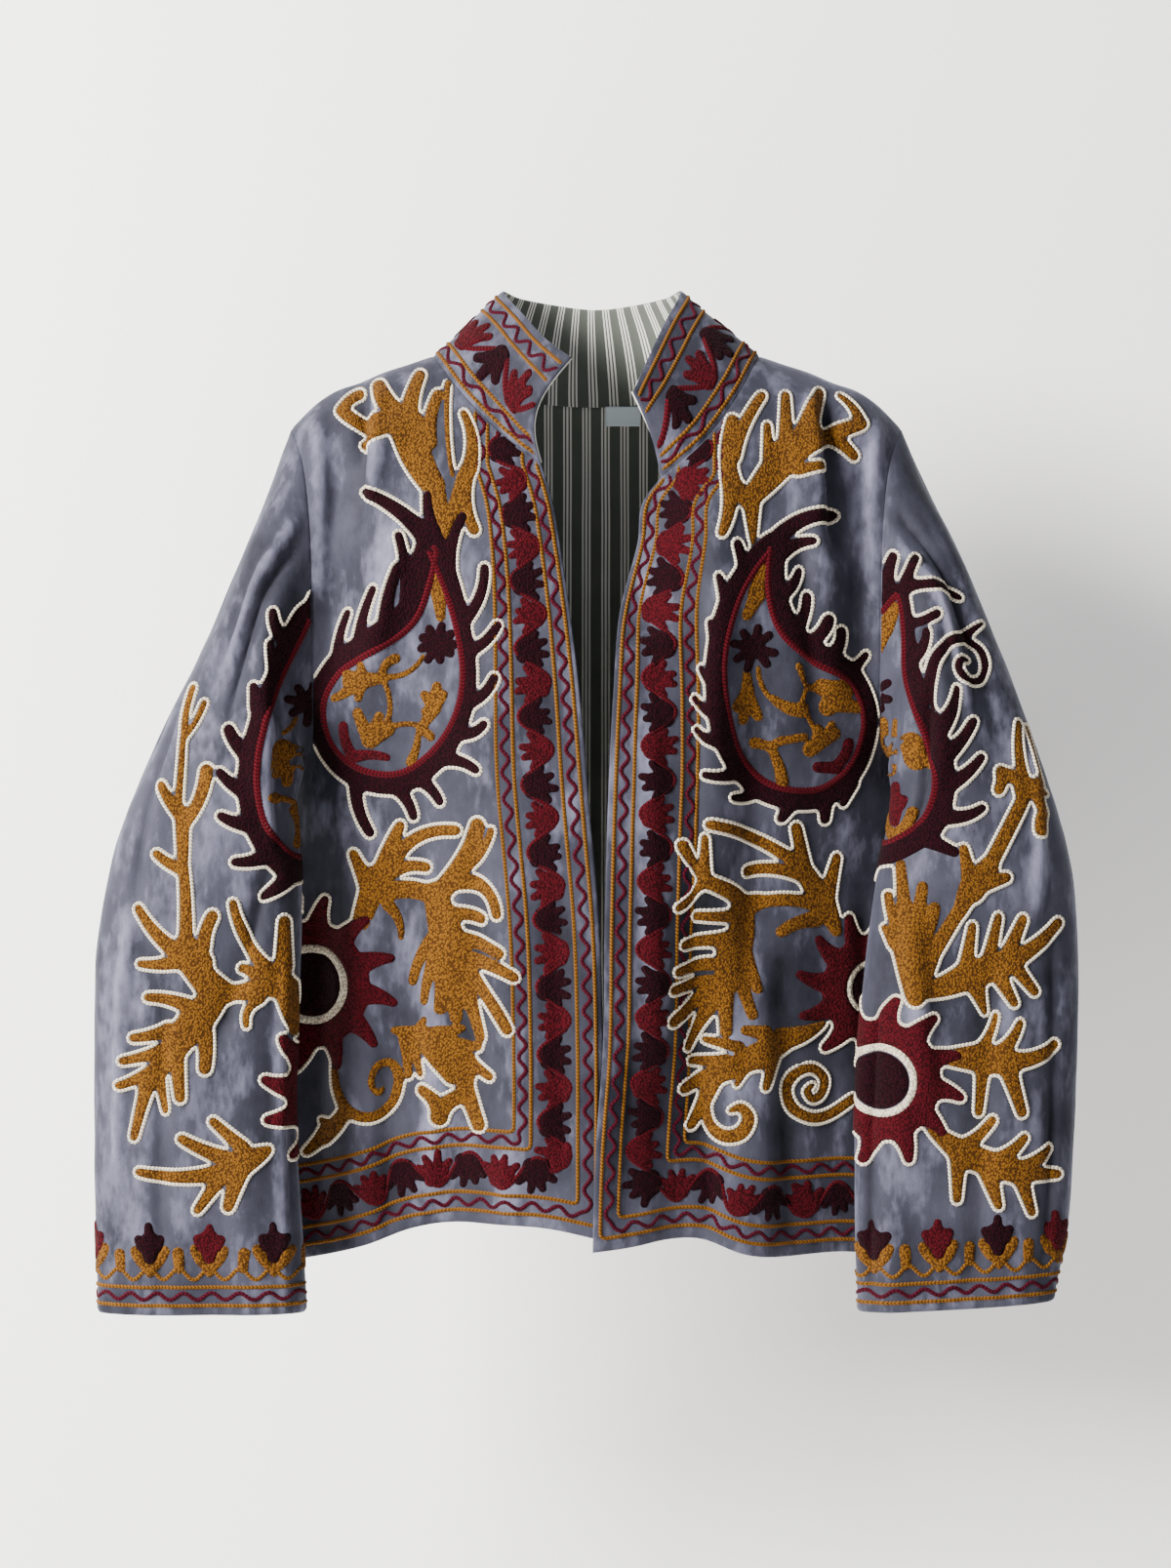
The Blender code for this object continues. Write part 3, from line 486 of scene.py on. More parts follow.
def half_width(z: np.ndarray) -> np.ndarray:
    """Half the body's width at height z."""
    return through(BODY, z)[0]


def body_y(face: str, x: np.ndarray, z: np.ndarray) -> np.ndarray:
    """Depth of the body's surface: an arch between its sides, rounded off below the shoulder.

    Args:
        face: "right" or "left" for a front, or "back".
        x: Places across.
        z: Heights.

    Returns:
        np.ndarray: y at each place, drape folds and the fronts' lap included.
    """
    width, side, front, front_power, back, back_power = through(BODY, z)
    ratio = np.clip(np.abs(x) / width, 0.0, 1.0)
    power = back_power if face == "back" else front_power
    middle = back if face == "back" else front
    depth = side + (middle - side) * (1 - ratio**power) ** (1 / power)
    below = np.maximum(shoulder_z(x) - z, 0.0)
    reach = BACK_ROUNDING if face == "back" else FRONT_ROUNDING
    depth = side + (depth - side) * (1 - np.exp(-below / reach)) ** ROUNDING_POWER
    seam_fade = smooth_step((width - np.abs(x)) / SIDE_FADE) * smooth_step(below / SHOULDER_FADE)
    if face == "back":
        return depth + fold_height(BACK_FOLDS, x, z) * seam_fade
    edge_x = through(FRONT_EDGE[face], np.clip(z, FRONT_EDGE[face][0].z, FRONT_EDGE[face][-1].z))[0]
    lap = smooth_step((LAP_TOP_Z - z) / (LAP_TOP_Z - LAP_FULL_Z))
    lap = lap * np.exp(-(((x - edge_x) / LAP_WIDTH) ** 2)) * LAP[face]
    return depth - fold_height(FRONT_FOLDS[face], x, z) * seam_fade + lap


def on_body(face: str, flat: np.ndarray) -> np.ndarray:
    """Points of the body's surface at places in x and z, on the last axis."""
    x, z = flat[..., 0], flat[..., 1]
    return np.stack([x, body_y(face, x, z), z], axis=-1)


def armhole(side: str, turn: np.ndarray) -> np.ndarray:
    """Points of the armhole seam at turns from 0 to 2, the first half on the front."""
    x, z = through(ARMHOLE, turn)
    x = x * SIDES[side]
    y = np.where(turn <= 1.0, body_y(side, x, z), body_y("back", x, z))
    return np.stack([x, y, z], axis=-1)


def coons(borders: tuple, across: np.ndarray, up: np.ndarray) -> np.ndarray:
    """A grid of points between four borders that share their corners.

    Args:
        borders: Points of the low, top, first and last border.
        across: Shares of the way across, one for each column.
        up: Shares of the way up, one for each row.

    Returns:
        np.ndarray: Rows by columns by 2.
    """
    low, top, first, last = borders
    u, v = across[None, :, None], up[:, None, None]
    sideways = first[:, None] * (1 - u) + last[:, None] * u
    upwards = low[None] * (1 - v) + top[None] * v
    corners = (low[0] * (1 - u) + low[-1] * u) * (1 - v) + (top[0] * (1 - u) + top[-1] * u) * v
    return sideways + upwards - corners


def fine_shares(count: int) -> np.ndarray:
    """Even shares from 0 to 1, with closer ones at both ends where the cloth's edge is rounded."""
    extra = [share for near in EDGE_SHARES for share in (near, 1 - near)]
    return np.sort(np.append(np.linspace(0.0, 1.0, count + 1), extra))


def crowded(shares: np.ndarray) -> np.ndarray:
    """Shares that draw closer towards 1, where the cloth turns to the side."""
    return 0.5 * shares + 0.5 * np.sin(shares * math.pi / 2)


def inner_border(side: str, v: np.ndarray) -> np.ndarray:
    """x and z of the front edge and the front neckline, from the hem up to the shoulder."""
    hem_x = through(FRONT_EDGE[side], FRONT_EDGE[side][0].z)[0]
    hem_z = float(through(FRONT_HEM[side], hem_x)[0])
    neck_z = FRONT_EDGE[side][-1].z
    z = np.interp(v, [0.0, UNDERARM_SHARE, NECK_SHARE], [hem_z, UNDERARM_Z, neck_z])
    x = through(FRONT_EDGE[side], z)[0]
    neck_x, above_z = through(NECKLINE[side], np.clip((v - NECK_SHARE) / (1 - NECK_SHARE), 0, 1))
    neck = v >= NECK_SHARE
    return np.stack([np.where(neck, neck_x, x), np.where(neck, above_z, z)], axis=-1)


def outer_border(side: str, v: np.ndarray, back: bool = False) -> np.ndarray:
    """x and z of the side seam and of the front or back armhole, from the hem up."""
    z = np.interp(v, [0.0, UNDERARM_SHARE], [side_hem_z(side), UNDERARM_Z])
    x = half_width(z)
    climb = np.clip((v - UNDERARM_SHARE) / (1 - UNDERARM_SHARE), 0, 1)
    arm_x, arm_z = through(ARMHOLE, 1 + climb if back else 1 - climb)
    arm = v >= UNDERARM_SHARE
    return np.stack([np.where(arm, arm_x, x) * SIDES[side], np.where(arm, arm_z, z)], axis=-1)


def side_hem_z(side: str) -> float:
    """Height of the hem at the side seam."""
    return float(through(FRONT_HEM[side], SIDES[side] * half_width(SIDE_HEM_Z))[0])


def back_neck(shares: np.ndarray) -> np.ndarray:
    """Back neckline from the right neck point to the left one."""
    even = (shares - 0.5) * math.pi
    angle = 0.5 * even + 0.25 * math.pi * np.sin(even)
    x = NECK_POINT_X * np.sin(angle)
    z = shoulder_z(NECK_POINT_X) - BACK_NECK_DROP * np.maximum(np.cos(angle), 0.0) ** 1.3
    return np.stack([x, z], axis=-1)


def grid_normals(points: np.ndarray, closed: bool, outwards: float) -> np.ndarray:
    """Unit normals of a grid of points: the cross product of its two directions.

    Args:
        points: Rows by columns by 3.
        closed: True if the last column meets the first.
        outwards: 1 or -1, so that the normals point out of the jacket.

    Returns:
        np.ndarray: One normal for each point.
    """
    if closed:
        across = np.roll(points, -1, axis=1) - np.roll(points, 1, axis=1)
    else:
        across = np.gradient(points, axis=1)
    return unit(np.cross(across, np.gradient(points, axis=0)) * outwards)


class Panel:
    """One cut piece of cloth: its middle surface, its flat chart and its wall.

    Attributes:
        name: The node's name.
        points: Middle surface, rows by columns by 3.
        normals: Unit normals that point out of the jacket.
        chart: Flat place of each point, in metres of cloth.
        relief: Height of the creases and rumples at each point.
        closed: True on a sleeve, whose last column meets its first.
    """

    closed: bool = False

    def __init__(self, name: str, outwards: float, seed: int) -> None:
        """Lays the panel out.

        Args:
            name: The node's name.
            outwards: Sign that makes the normals point out of the jacket.
            seed: Seed of its rumples.
        """
        self.name = name
        self.outwards = outwards
        self.seed = seed
        self.points = self.make_points()
        self.normals = grid_normals(self.points, self.closed, outwards)
        self.chart = self.make_chart()
        self.relief = np.zeros(self.points.shape[:2])

    def make_points(self) -> np.ndarray:
        """Middle surface of the panel."""
        raise NotImplementedError

    def make_chart(self) -> np.ndarray:
        """Flat place of each point; a closed panel's has one more column."""
        raise NotImplementedError

    def creases(self) -> np.ndarray:
        """Heights of the small creases at each point."""
        raise NotImplementedError

    def border_run(self) -> np.ndarray:
        """Distance of each point from the panel's nearest border, measured along the grid."""
        runs = []
        for axis in (0, 1):
            if axis == 1 and self.closed:
                continue
            run = run_along(self.points, axis)
            runs += [run, np.take(run, [-1], axis) - run]
        return np.minimum.reduce(runs)

    def settle(self) -> None:
        """Adds creases and low relief, which fade out at the seams."""
        run = self.border_run()
        chart = self.chart[:, : self.points.shape[1]]
        relief = self.creases() + rumple(chart[..., 0], chart[..., 1], self.seed)
        relief = relief * smooth_step(run / RELIEF_FADE) + self.puckers(run)
        self.points = self.points + self.normals * relief[..., None]
        self.relief = relief
        inside = smooth_step(run / NORMAL_FADE)[..., None]
        finer = grid_normals(self.points, self.closed, self.outwards)
        self.normals = unit(self.normals * (1 - inside) + finer * inside)

    def puckers(self, run: np.ndarray) -> np.ndarray:
        """Small even ripples beside the hem: a sine across the cloth that fades with the height."""
        rise = run_along(self.points)
        rise = rise[-1:] - rise if self.closed else rise
        across = self.chart[:, : self.points.shape[1], 0]
        wave = np.sin(2 * math.pi * across / PUCKER_LENGTH + 3 * np.sin(across / 0.031))
        return PUCKER_HEIGHT * wave * np.exp(-((rise / PUCKER_REACH) ** 2)) * smooth_step(run / 0.002)

    def wall(
        self, name: str, finishes: list, thickness: float = VELVET, shift: float = 0.0, every: int = 1
    ) -> bpy.types.Object:
        """Makes the panel's closed wall as an object.

        The outer and inner face are the middle surface moved half the thickness along its
        normals, less beside the borders, where the wall thins to a rounded edge.

        Args:
            name: The object's name.
            finishes: Materials of the outer face and rim, and of the inner face.
            thickness: Thickness of the wall.
            shift: How far its middle lies out from the panel's middle surface.
            every: Takes only every so many rows and columns.

        Returns:
            bpy.types.Object: The object.
        """
        rows = thinned(self.points.shape[0], every)
        columns = thinned(self.points.shape[1], every)
        pick = np.ix_(rows, columns)
        run = self.border_run()[pick]
        edge = 1 - np.clip(run / (EDGE_REACH * thickness), 0.0, 1.0)
        full = np.sqrt(1 - edge**2)
        half = thickness / 2 * (EDGE_THINNING + (1 - EDGE_THINNING) * full)[..., None]
        normals = self.normals[pick]
        middle = self.points[pick] + normals * shift
        corners = self.chart if self.closed else self.chart[:, columns]
        outer, inner = middle + normals * half, middle - normals * half
        piece = wall_object(name, (outer, inner), corners[rows], self.closed, finishes)
        # The crease relief as a point attribute: from it the velvet paints shade in the valleys and
        # highlight on the ridges.
        relief_shade_layer = piece.data.attributes.new("relief", "FLOAT", "POINT")
        depth = np.tile(self.relief[pick].ravel() / RELIEF_RANGE, 2)
        relief_shade_layer.data.foreach_set("value", depth.astype(np.float32))
        return piece


def thinned(count: int, every: int) -> np.ndarray:
    """Row numbers from 0 to count - 1, every so many, with both ends kept."""
    return np.unique(np.append(np.arange(0, count, every), count - 1))


def wall_object(
    name: str, faces: tuple, chart: np.ndarray, closed: bool, finishes: list
) -> bpy.types.Object:
    """Makes a closed wall between two grids of points, with its rims filled.

    Args:
        name: The object's name.
        faces: Outer and inner grid of points.
        chart: Flat place of each point, kept as the UV map "cloth".
        closed: True if the last column meets the first.
        finishes: Materials of the outer face and rim, and of the inner face.

    Returns:
        The object, with every face looking out of the wall.
    """
    outer, inner = faces
    rows, columns = outer.shape[:2]
    half = rows * columns
    numbers = np.arange(half).reshape(rows, columns)
    wide = np.concatenate([numbers, numbers[:, :1]], axis=1) if closed else numbers
    flat = np.arange(rows * wide.shape[1]).reshape(rows, -1)
    face, face_uv = grid_quads(wide), grid_quads(flat)
    if closed:
        borders = [(wide[0, ::-1], flat[0, ::-1]), (wide[-1], flat[-1])]
    else:
        borders = [
            [np.concatenate([g[0, ::-1], g[1:, 0], g[-1, 1:], g[-2::-1, -1]]) for g in (wide, flat)]
        ]
    rims = np.concatenate([np.stack([b[:-1], b[1:], b[1:] + half, b[:-1] + half], -1) for b, _ in borders])
    rims_uv = np.concatenate([np.stack([b[:-1], b[1:], b[1:], b[:-1]], -1) for _, b in borders])
    faces = np.concatenate([face, face[:, ::-1] + half, rims])
    uvs = np.concatenate([face_uv, face_uv[:, ::-1], rims_uv])
    points = np.concatenate([outer.reshape(-1, 3), inner.reshape(-1, 3)])
    a, b, c = (points[faces[:, i]] for i in range(3))
    if np.einsum("ij,ij->i", a, np.cross(b, c)).sum() < 0:
        faces, uvs = faces[:, ::-1], uvs[:, ::-1]
    slots = np.zeros(len(faces), int)
    slots[len(face) : 2 * len(face)] = 1
    return mesh_object(name, points, faces, chart.reshape(-1, 2)[uvs.ravel()], finishes, slots)


def mesh_object(
    name: str,
    points: np.ndarray,
    faces: np.ndarray,
    uv: np.ndarray,
    finishes: list,
    slots: np.ndarray | None = None,
) -> bpy.types.Object:
    """Makes a smooth-shaded mesh object from whole arrays.

    Args:
        name: The object's name.
        points: Vertices.
        faces: Corner numbers, three or four to a face.
        uv: UV of each face corner.
        finishes: Materials.
        slots: Material number of each face, or None for the first.

    Returns:
        The object.
    """
    mesh = bpy.data.meshes.new(name)
    mesh.from_pydata(points.tolist(), [], faces.tolist())
    for finish in finishes:
        mesh.materials.append(finish)
    if slots is not None and len(finishes) > 1:
        mesh.polygons.foreach_set("material_index", slots.astype(np.int32))
    layer = mesh.uv_layers.new(name="cloth")
    layer.data.foreach_set("uv", np.asarray(uv, np.float32).ravel())
    mesh.shade_smooth()
    piece = bpy.data.objects.new(name, mesh)
    bpy.context.scene.collection.objects.link(piece)
    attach(piece, "root")
    log.info("%s: %d points", name, len(points))
    return piece


class BodyPanel(Panel):
    """A front or the back, laid out as it is seen from in front: x and z.

    Attributes:
        folds: Its small creases, rows of Fold.
    """

    folds: tuple = ()

    def make_chart(self) -> np.ndarray:
        """The flat place of each point is its x and z."""
        return self.points[..., [0, 2]].copy()

    def creases(self) -> np.ndarray:
        """Small creases from the table."""
        return CREASE_GAIN * fold_height(self.folds, self.chart[..., 0], self.chart[..., 1])


class FrontPanel(BodyPanel):
    """One front, in rows from the hem up and columns from the front edge out."""

    def __init__(self, side: str) -> None:
        """Lays out the front of a side, "right" or "left"."""
        self.side = side
        self.folds = FRONT_CREASES[side]
        super().__init__(f"front_{side}", SIDES[side], 11 if side == "right" else 12)

    def make_points(self) -> np.ndarray:
        """Borders joined as a patch in x and z, with the body's depth at each point."""
        v, share = fine_shares(ROWS * FINE_ROWS), fine_shares(FRONT_COLUMNS * FINE_COLUMNS)
        c = crowded(share)
        side = self.side
        first = inner_border(side, v)
        last = outer_border(side, v)
        low_x = first[0, 0] + (last[0, 0] - first[0, 0]) * c
        low_z = through(FRONT_HEM[side], low_x)[0]
        low_z = low_z + (first[0, 1] - low_z[0]) * (1 - c) + (last[0, 1] - low_z[-1]) * c
        top_x = SIDES[side] * (NECK_POINT_X + (SHOULDER_TIP_X - NECK_POINT_X) * c)
        top = np.stack([top_x, shoulder_z(top_x)], axis=-1)
        return on_body(side, coons((np.stack([low_x, low_z], axis=-1), top, first, last), share, v))


class BackPanel(BodyPanel):
    """The back, in rows from the hem up and columns from right to left."""

    folds = BACK_CREASES

    def __init__(self) -> None:
        """Lays out the back."""
        super().__init__("back", -1.0, 13)

    def make_points(self) -> np.ndarray:
        """Borders joined as a patch in x and z, with the back's depth at each point."""
        v = fine_shares(ROWS * FINE_ROWS)
        share = fine_shares(FRONT_COLUMNS * FINE_COLUMNS)
        neck = np.linspace(0.0, 1.0, BACK_NECK_COLUMNS * FINE_COLUMNS + 1)[1:-1]
        first, last = (outer_border(side, v, back=True) for side in SIDES)
        shoulder_x = NECK_POINT_X + (SHOULDER_TIP_X - NECK_POINT_X) * crowded(share)
        shoulder = np.stack([shoulder_x, shoulder_z(shoulder_x)], axis=-1)
        top = np.concatenate([shoulder[::-1] * (-1, 1), back_neck(neck), shoulder])
        coarse = 2 * FRONT_COLUMNS + BACK_NECK_COLUMNS
        parts = (
            FRONT_COLUMNS * (1 - share[::-1]),
            FRONT_COLUMNS + BACK_NECK_COLUMNS * neck,
            FRONT_COLUMNS + BACK_NECK_COLUMNS + FRONT_COLUMNS * share,
        )
        place = np.concatenate(parts) / coarse
        across = np.sin((place - 0.5) * math.pi * 0.9) / math.sin(0.45 * math.pi)
        low_x = across * last[0, 0]
        wave = BACK_HEM_WAVE * np.cos(across * 3.5 * math.pi)
        ends = np.abs(across) ** 4
        low_z = (BACK_HEM_Z + wave) * (1 - ends) + side_hem_z("left") * ends
        low_z[0], low_z[-1] = first[0, 1], last[0, 1]
        flat = coons((np.stack([low_x, low_z], axis=-1), top, first, last), place, v)
        self.spread_rows(flat, place)
        return on_body("back", flat)

    @staticmethod
    def spread_rows(flat: np.ndarray, place: np.ndarray) -> None:
        """Spaces out the rows that crowd at the underarm, away from the side borders.

        Args:
            flat: Flat places of the grid, changed in place.
            place: Each column's share of the way across.
        """
        inside = smooth_step(np.minimum(place, 1 - place) / ROW_SPREAD_SIDE)[None, :, None]
        for _ in range(ROW_SPREADS):
            mean = (flat[2:] + flat[:-2]) / 2
            flat[1:-1] += ROW_SPREAD_STEP * inside * (mean - flat[1:-1])


class SleevePanel(Panel):
    """One sleeve: rings from the armhole to the cuff, closed round."""

    closed = True

    def __init__(self, side: str) -> None:
        """Lays out the sleeve of a side, "right" or "left"."""
        self.side = side
        v = fine_shares(ROWS * FINE_ROWS)
        climb = (v[v > UNDERARM_SHARE - 1e-9] - UNDERARM_SHARE) / (1 - UNDERARM_SHARE)
        self.turn = np.concatenate([1 - climb[::-1], 1 + climb[1:-1]])
        self.share = fine_shares(SLEEVE_ROWS) ** 0.92
        super().__init__(f"sleeve_{side}", SIDES[side], 14 if side == "right" else 15)

    def make_points(self) -> np.ndarray:
        """Rounded rings between their outer and inner ends, blended into the armhole."""
        turn, share, side = self.turn, self.share, self.side
        columns = [column[:, None] for column in through(SLEEVE[side], share)]
        outer, inner = np.stack(columns[:3], axis=-1), np.stack(columns[3:6], axis=-1)
        half_depth = columns[6]
        cosine, sine = np.cos(turn * math.pi)[None], np.sin(turn * math.pi)[None]
        wide = np.sign(cosine) * np.abs(cosine) ** RING_POWER
        deep = np.sign(sine) * np.abs(sine) ** RING_POWER
        bulge = 1 + self.ridges(SLEEVE_FOLDS[side]) / half_depth
        hanging = (outer + inner) / 2 + (outer - inner) / 2 * wide[..., None]
        hanging[..., 1] -= half_depth * deep * bulge
        near_turn = np.exp(-(((turn[None] - OVERHANG_TURN) / OVERHANG_TURN_WIDTH) ** 2))
        near_share = np.exp(-(((share[:, None] - OVERHANG_SHARE) / OVERHANG_SHARE_WIDTH) ** 2))
        hanging[..., 0] -= OVERHANG * near_turn * near_share
        hanging *= (SIDES[side], 1.0, 1.0)
        leave = smooth_step(share / HEAD_BLEND)[:, None, None]
        return armhole(side, turn)[None] * (1 - leave) + hanging * leave

    def ridges(self, folds: tuple) -> np.ndarray:
        """Sum of soft ridges by turn round the sleeve and share of its length."""
        turn, share = self.turn[None], self.share[:, None]
        total = np.zeros((len(self.share), len(self.turn)))
        for turn_top, share_top, turn_low, share_low, width, height in folds:
            along = (share - share_top) / (share_low - share_top)
            middle = turn_top + (turn_low - turn_top) * np.clip(along, 0.0, 1.0)
            ends = smooth_step(along / FOLD_FADE) * smooth_step((1 - along) / FOLD_FADE)
            total = total + height * ends * np.exp(-(((turn - middle) / width) ** 2))
        return total

    def creases(self) -> np.ndarray:
        """Small creases from the table."""
        return SLEEVE_CREASE_GAIN * self.ridges(SLEEVE_CREASES[self.side])

    def make_chart(self) -> np.ndarray:
        """Each ring is laid flat through its front middle, along its own slant seen from in front."""
        round_points = np.concatenate([self.points, self.points[:, :1]], axis=1)
        turn = np.append(self.turn, 2.0)
        run = run_along(round_points, 1)
        middle = int(np.argmin(np.abs(turn - 0.5)))
        run = run - run[:, middle : middle + 1]
        inner = int(np.argmin(np.abs(turn - 1.0)))
        way = unit(round_points[:, inner, [0, 2]] - round_points[:, 0, [0, 2]])
        return round_points[:, middle, [0, 2]][:, None] + run[..., None] * way[:, None]


class CollarPanel(Panel):
    """The stand collar: columns along the neck seam, and rows from the seam up."""

    def __init__(self) -> None:
        """Lays out the collar."""
        super().__init__("collar", -1.0, 16)

    def neck_seam(self) -> np.ndarray:
        """Middle points of the neck seam, from the right front corner round the back to the left."""
        v = fine_shares(ROWS * FINE_ROWS)
        v = v[v > NECK_SHARE - 1e-9]
        right, left = (on_body(side, inner_border(side, v)) for side in SIDES)
        back = on_body("back", back_neck(np.linspace(0.0, 1.0, BACK_NECK_COLUMNS * FINE_COLUMNS + 1)))
        return np.concatenate([right, back[1:-1], left[::-1]])

    def make_points(self) -> np.ndarray:
        """Straight rises from the seam to the top edge, with a soft bulge and bowed front ends."""
        base = self.neck_seam()
        run = run_along(base)
        share = run / run[-1]
        top = np.stack(through(COLLAR_TOP, share), axis=-1)
        rise = fine_shares(COLLAR_ROWS)[:, None, None]
        grid = base[None] * (1 - rise) + top[None] * rise
        belly = np.sin(rise * math.pi)
        outwards = unit((grid - np.array(NECK_MIDDLE)) * (1, 1, 0))
        grid = grid + outwards * COLLAR_BULGE * belly
        right_end = smooth_step(1 - share / COLLAR_END_WIDTH)[None, :, None]
        return grid + belly * right_end * np.array([-COLLAR_END_BOW, 0.0, 0.0])

    def make_chart(self) -> np.ndarray:
        """Length along the collar's middle row, and height up from the seam."""
        run = run_along(self.points[self.points.shape[0] // 2])
        height = run_along(self.points)
        height = height / height[-1:] * np.median(height[-1])
        return np.stack([np.broadcast_to(run - run[-1] / 2, height.shape), height], axis=-1)

    def creases(self) -> np.ndarray:
        """The collar is stiff and has no creases of its own."""
        return np.zeros(self.points.shape[:2])


def share_seams(panels: list) -> None:
    """Gives points that lie at one place on a seam one common normal.

    Args:
        panels: All panels; the body's count as one group beside the sleeves and the collar.
    """
    keys, normals, groups = [], [], []
    for number, panel in enumerate(panels):
        keys.append(np.round(panel.points.reshape(-1, 3), 6) + 0.0)
        normals.append(panel.normals.reshape(-1, 3))
        group = 0 if isinstance(panel, BodyPanel) else number + 1
        groups.append(np.full(len(keys[-1]), group))
    keys, normals, groups = np.concatenate(keys), np.concatenate(normals), np.concatenate(groups)
    _, place = np.unique(keys, axis=0, return_inverse=True)
    place = place.ravel()
    total = np.zeros((place.max() + 1, 3))
    for group in np.unique(groups):
        one = np.zeros_like(total)
        mine = groups == group
        np.add.at(one, place[mine], normals[mine])
        length = np.linalg.norm(one, axis=1, keepdims=True)
        total += one / np.maximum(length, 1e-12) * (length > 1e-9)
    total = unit(total)
    start = 0
    for panel in panels:
        count = panel.points.shape[0] * panel.points.shape[1]
        panel.normals = total[place[start : start + count]].reshape(panel.points.shape)
        start += count


class Thread(Enum):
    """Wool colours of the stitched pattern."""

    MUSTARD = "mustard"
    PLUM = "plum"
    RED = "red"
    MAROON = "maroon"
    CREAM = "cream"


@dataclass(frozen=True)
class WoolFinish:
    """Colours of one wool: its light and dark strands, and how rough it is."""

    light: tuple
    dark: tuple
    roughness: float = 0.85


@dataclass(frozen=True)
class VelvetFinish:
    """Velvet colours: light pile (random leaning patches and painted highlight on crease ridges), plain
    pile, dark pile (crushed patches and painted shade in crease valleys).
    """

    light: tuple = (0.138, 0.138, 0.194)
    plain: tuple = (0.018, 0.0185, 0.028)
    dark: tuple = (0.003, 0.0033, 0.005)
    roughness: float = 0.70
    sheen: float = 0.20


@dataclass(frozen=True)
class LiningFinish:
    """Colours of the striped cotton."""

    base: tuple = (0.078, 0.086, 0.074)
    faded: tuple = (0.12, 0.125, 0.11)
    stripe: tuple = (0.640, 0.630, 0.585)
    roughness: float = 0.80


@dataclass(frozen=True)
class LabelFinish:
    """Colours of the tape: between its threads and on them."""

    low: tuple = (0.50, 0.58, 0.62)
    high: tuple = (0.66, 0.74, 0.78)
    roughness: float = 0.55


WOOLS = {
    Thread.MUSTARD: WoolFinish((0.155, 0.063, 0.007), (0.020, 0.007, 0.0015)),
    Thread.PLUM: WoolFinish((0.0125, 0.0004, 0.0026), (0.0024, 0.0002, 0.0006)),
    Thread.RED: WoolFinish((0.056, 0.0018, 0.0050), (0.010, 0.0005, 0.0012)),
    Thread.MAROON: WoolFinish((0.050, 0.002, 0.009), (0.010, 0.0005, 0.002)),
    Thread.CREAM: WoolFinish((0.700, 0.630, 0.500), (0.200, 0.160, 0.115)),
}


WOOL_SHINE = {"Sheen_Weight": 0.015, "Specular_IOR_Level": 0.06}


class NodeBook:
    """Builds node trees with short calls; one book for each tree."""

    def __init__(self, tree) -> None:
        """Starts a book for a node tree."""
        self.tree = tree
        self.count = 0

    def node(self, kind: str, inputs: dict | None = None, **settings):
        """Adds a node, sets its properties, and sets or links its inputs.

        Args:
            kind: The node's type name.
            inputs: Input name or number to a value or to an output socket.
            **settings: Properties of the node.

        Returns:
            The node.
        """
        made = self.tree.nodes.new(kind)
        made.location = (220 * (self.count % 8), -260 * (self.count // 8))
        self.count += 1
        for key, value in settings.items():
            setattr(made, key, value)
        for key, value in (inputs or {}).items():
            if isinstance(value, bpy.types.NodeSocket):
                self.tree.links.new(value, made.inputs[key])
            else:
                made.inputs[key].default_value = value
        return made

    def group(self, tree, **inputs):
        """The outputs of a node group, with its inputs set or linked."""
        return self.node("ShaderNodeGroup", inputs, node_tree=tree).outputs

    def feed(self, shader, **sockets) -> None:
        """Links sockets to a shader's inputs; an underscore stands for a space."""
        for key, socket in sockets.items():
            self.tree.links.new(socket, shader.inputs[key.replace("_", " ")])

    def bump(self, shader, height, strength: float, distance: float) -> None:
        """Links a height to a shader's normal.

        Args:
            shader: The shader node.
            height: The height's socket.
            strength: Share of the effect.
            distance: Metres that a height of 1 stands for.
        """
        made = self.node("ShaderNodeBump", {"Height": height, "Strength": strength, "Distance": distance})
        self.feed(shader, Normal=made.outputs[0])

    def math(self, operation: str, a, b=0.0, clamp: bool = False):
        """The output of a maths node."""
        return self.node("ShaderNodeMath", {0: a, 1: b}, operation=operation, use_clamp=clamp).outputs[0]

    def span(self, value, low, high, to_low=0.0, to_high=1.0):
        """A value moved from one range to another, kept within it."""
        inputs = {"Value": value, "From Min": low, "From Max": high, "To Min": to_low, "To Max": to_high}
        return self.node("ShaderNodeMapRange", inputs).outputs["Result"]

    def mix(self, factor, a, b):
        """A colour between two colours."""
        made = self.node("ShaderNodeMix", data_type="RGBA")
        for key, value in ((0, factor), (6, a), (7, b)):
            if isinstance(value, bpy.types.NodeSocket):
                self.tree.links.new(value, made.inputs[key])
            else:
                made.inputs[key].default_value = value
        return made.outputs[2]


def new_group(name: str, inputs: dict, outputs: dict):
    """Makes an empty shader node group with named inputs and outputs.

    Args:
        name: The group's name.
        inputs: Input name to its socket type and default value.
        outputs: Output name to its socket type.

    Returns:
        tuple: The group, its book, the sockets of its input node, and its output node.
    """
    tree = bpy.data.node_groups.new(name, "ShaderNodeTree")
    for key, (kind, value) in inputs.items():
        socket = tree.interface.new_socket(key, in_out="INPUT", socket_type=kind)
        if value is not None:
            socket.default_value = value
    for key, kind in outputs.items():
        tree.interface.new_socket(key, in_out="OUTPUT", socket_type=kind)
    book = NodeBook(tree)
    return tree, book, book.node("NodeGroupInput").outputs, book.node("NodeGroupOutput")


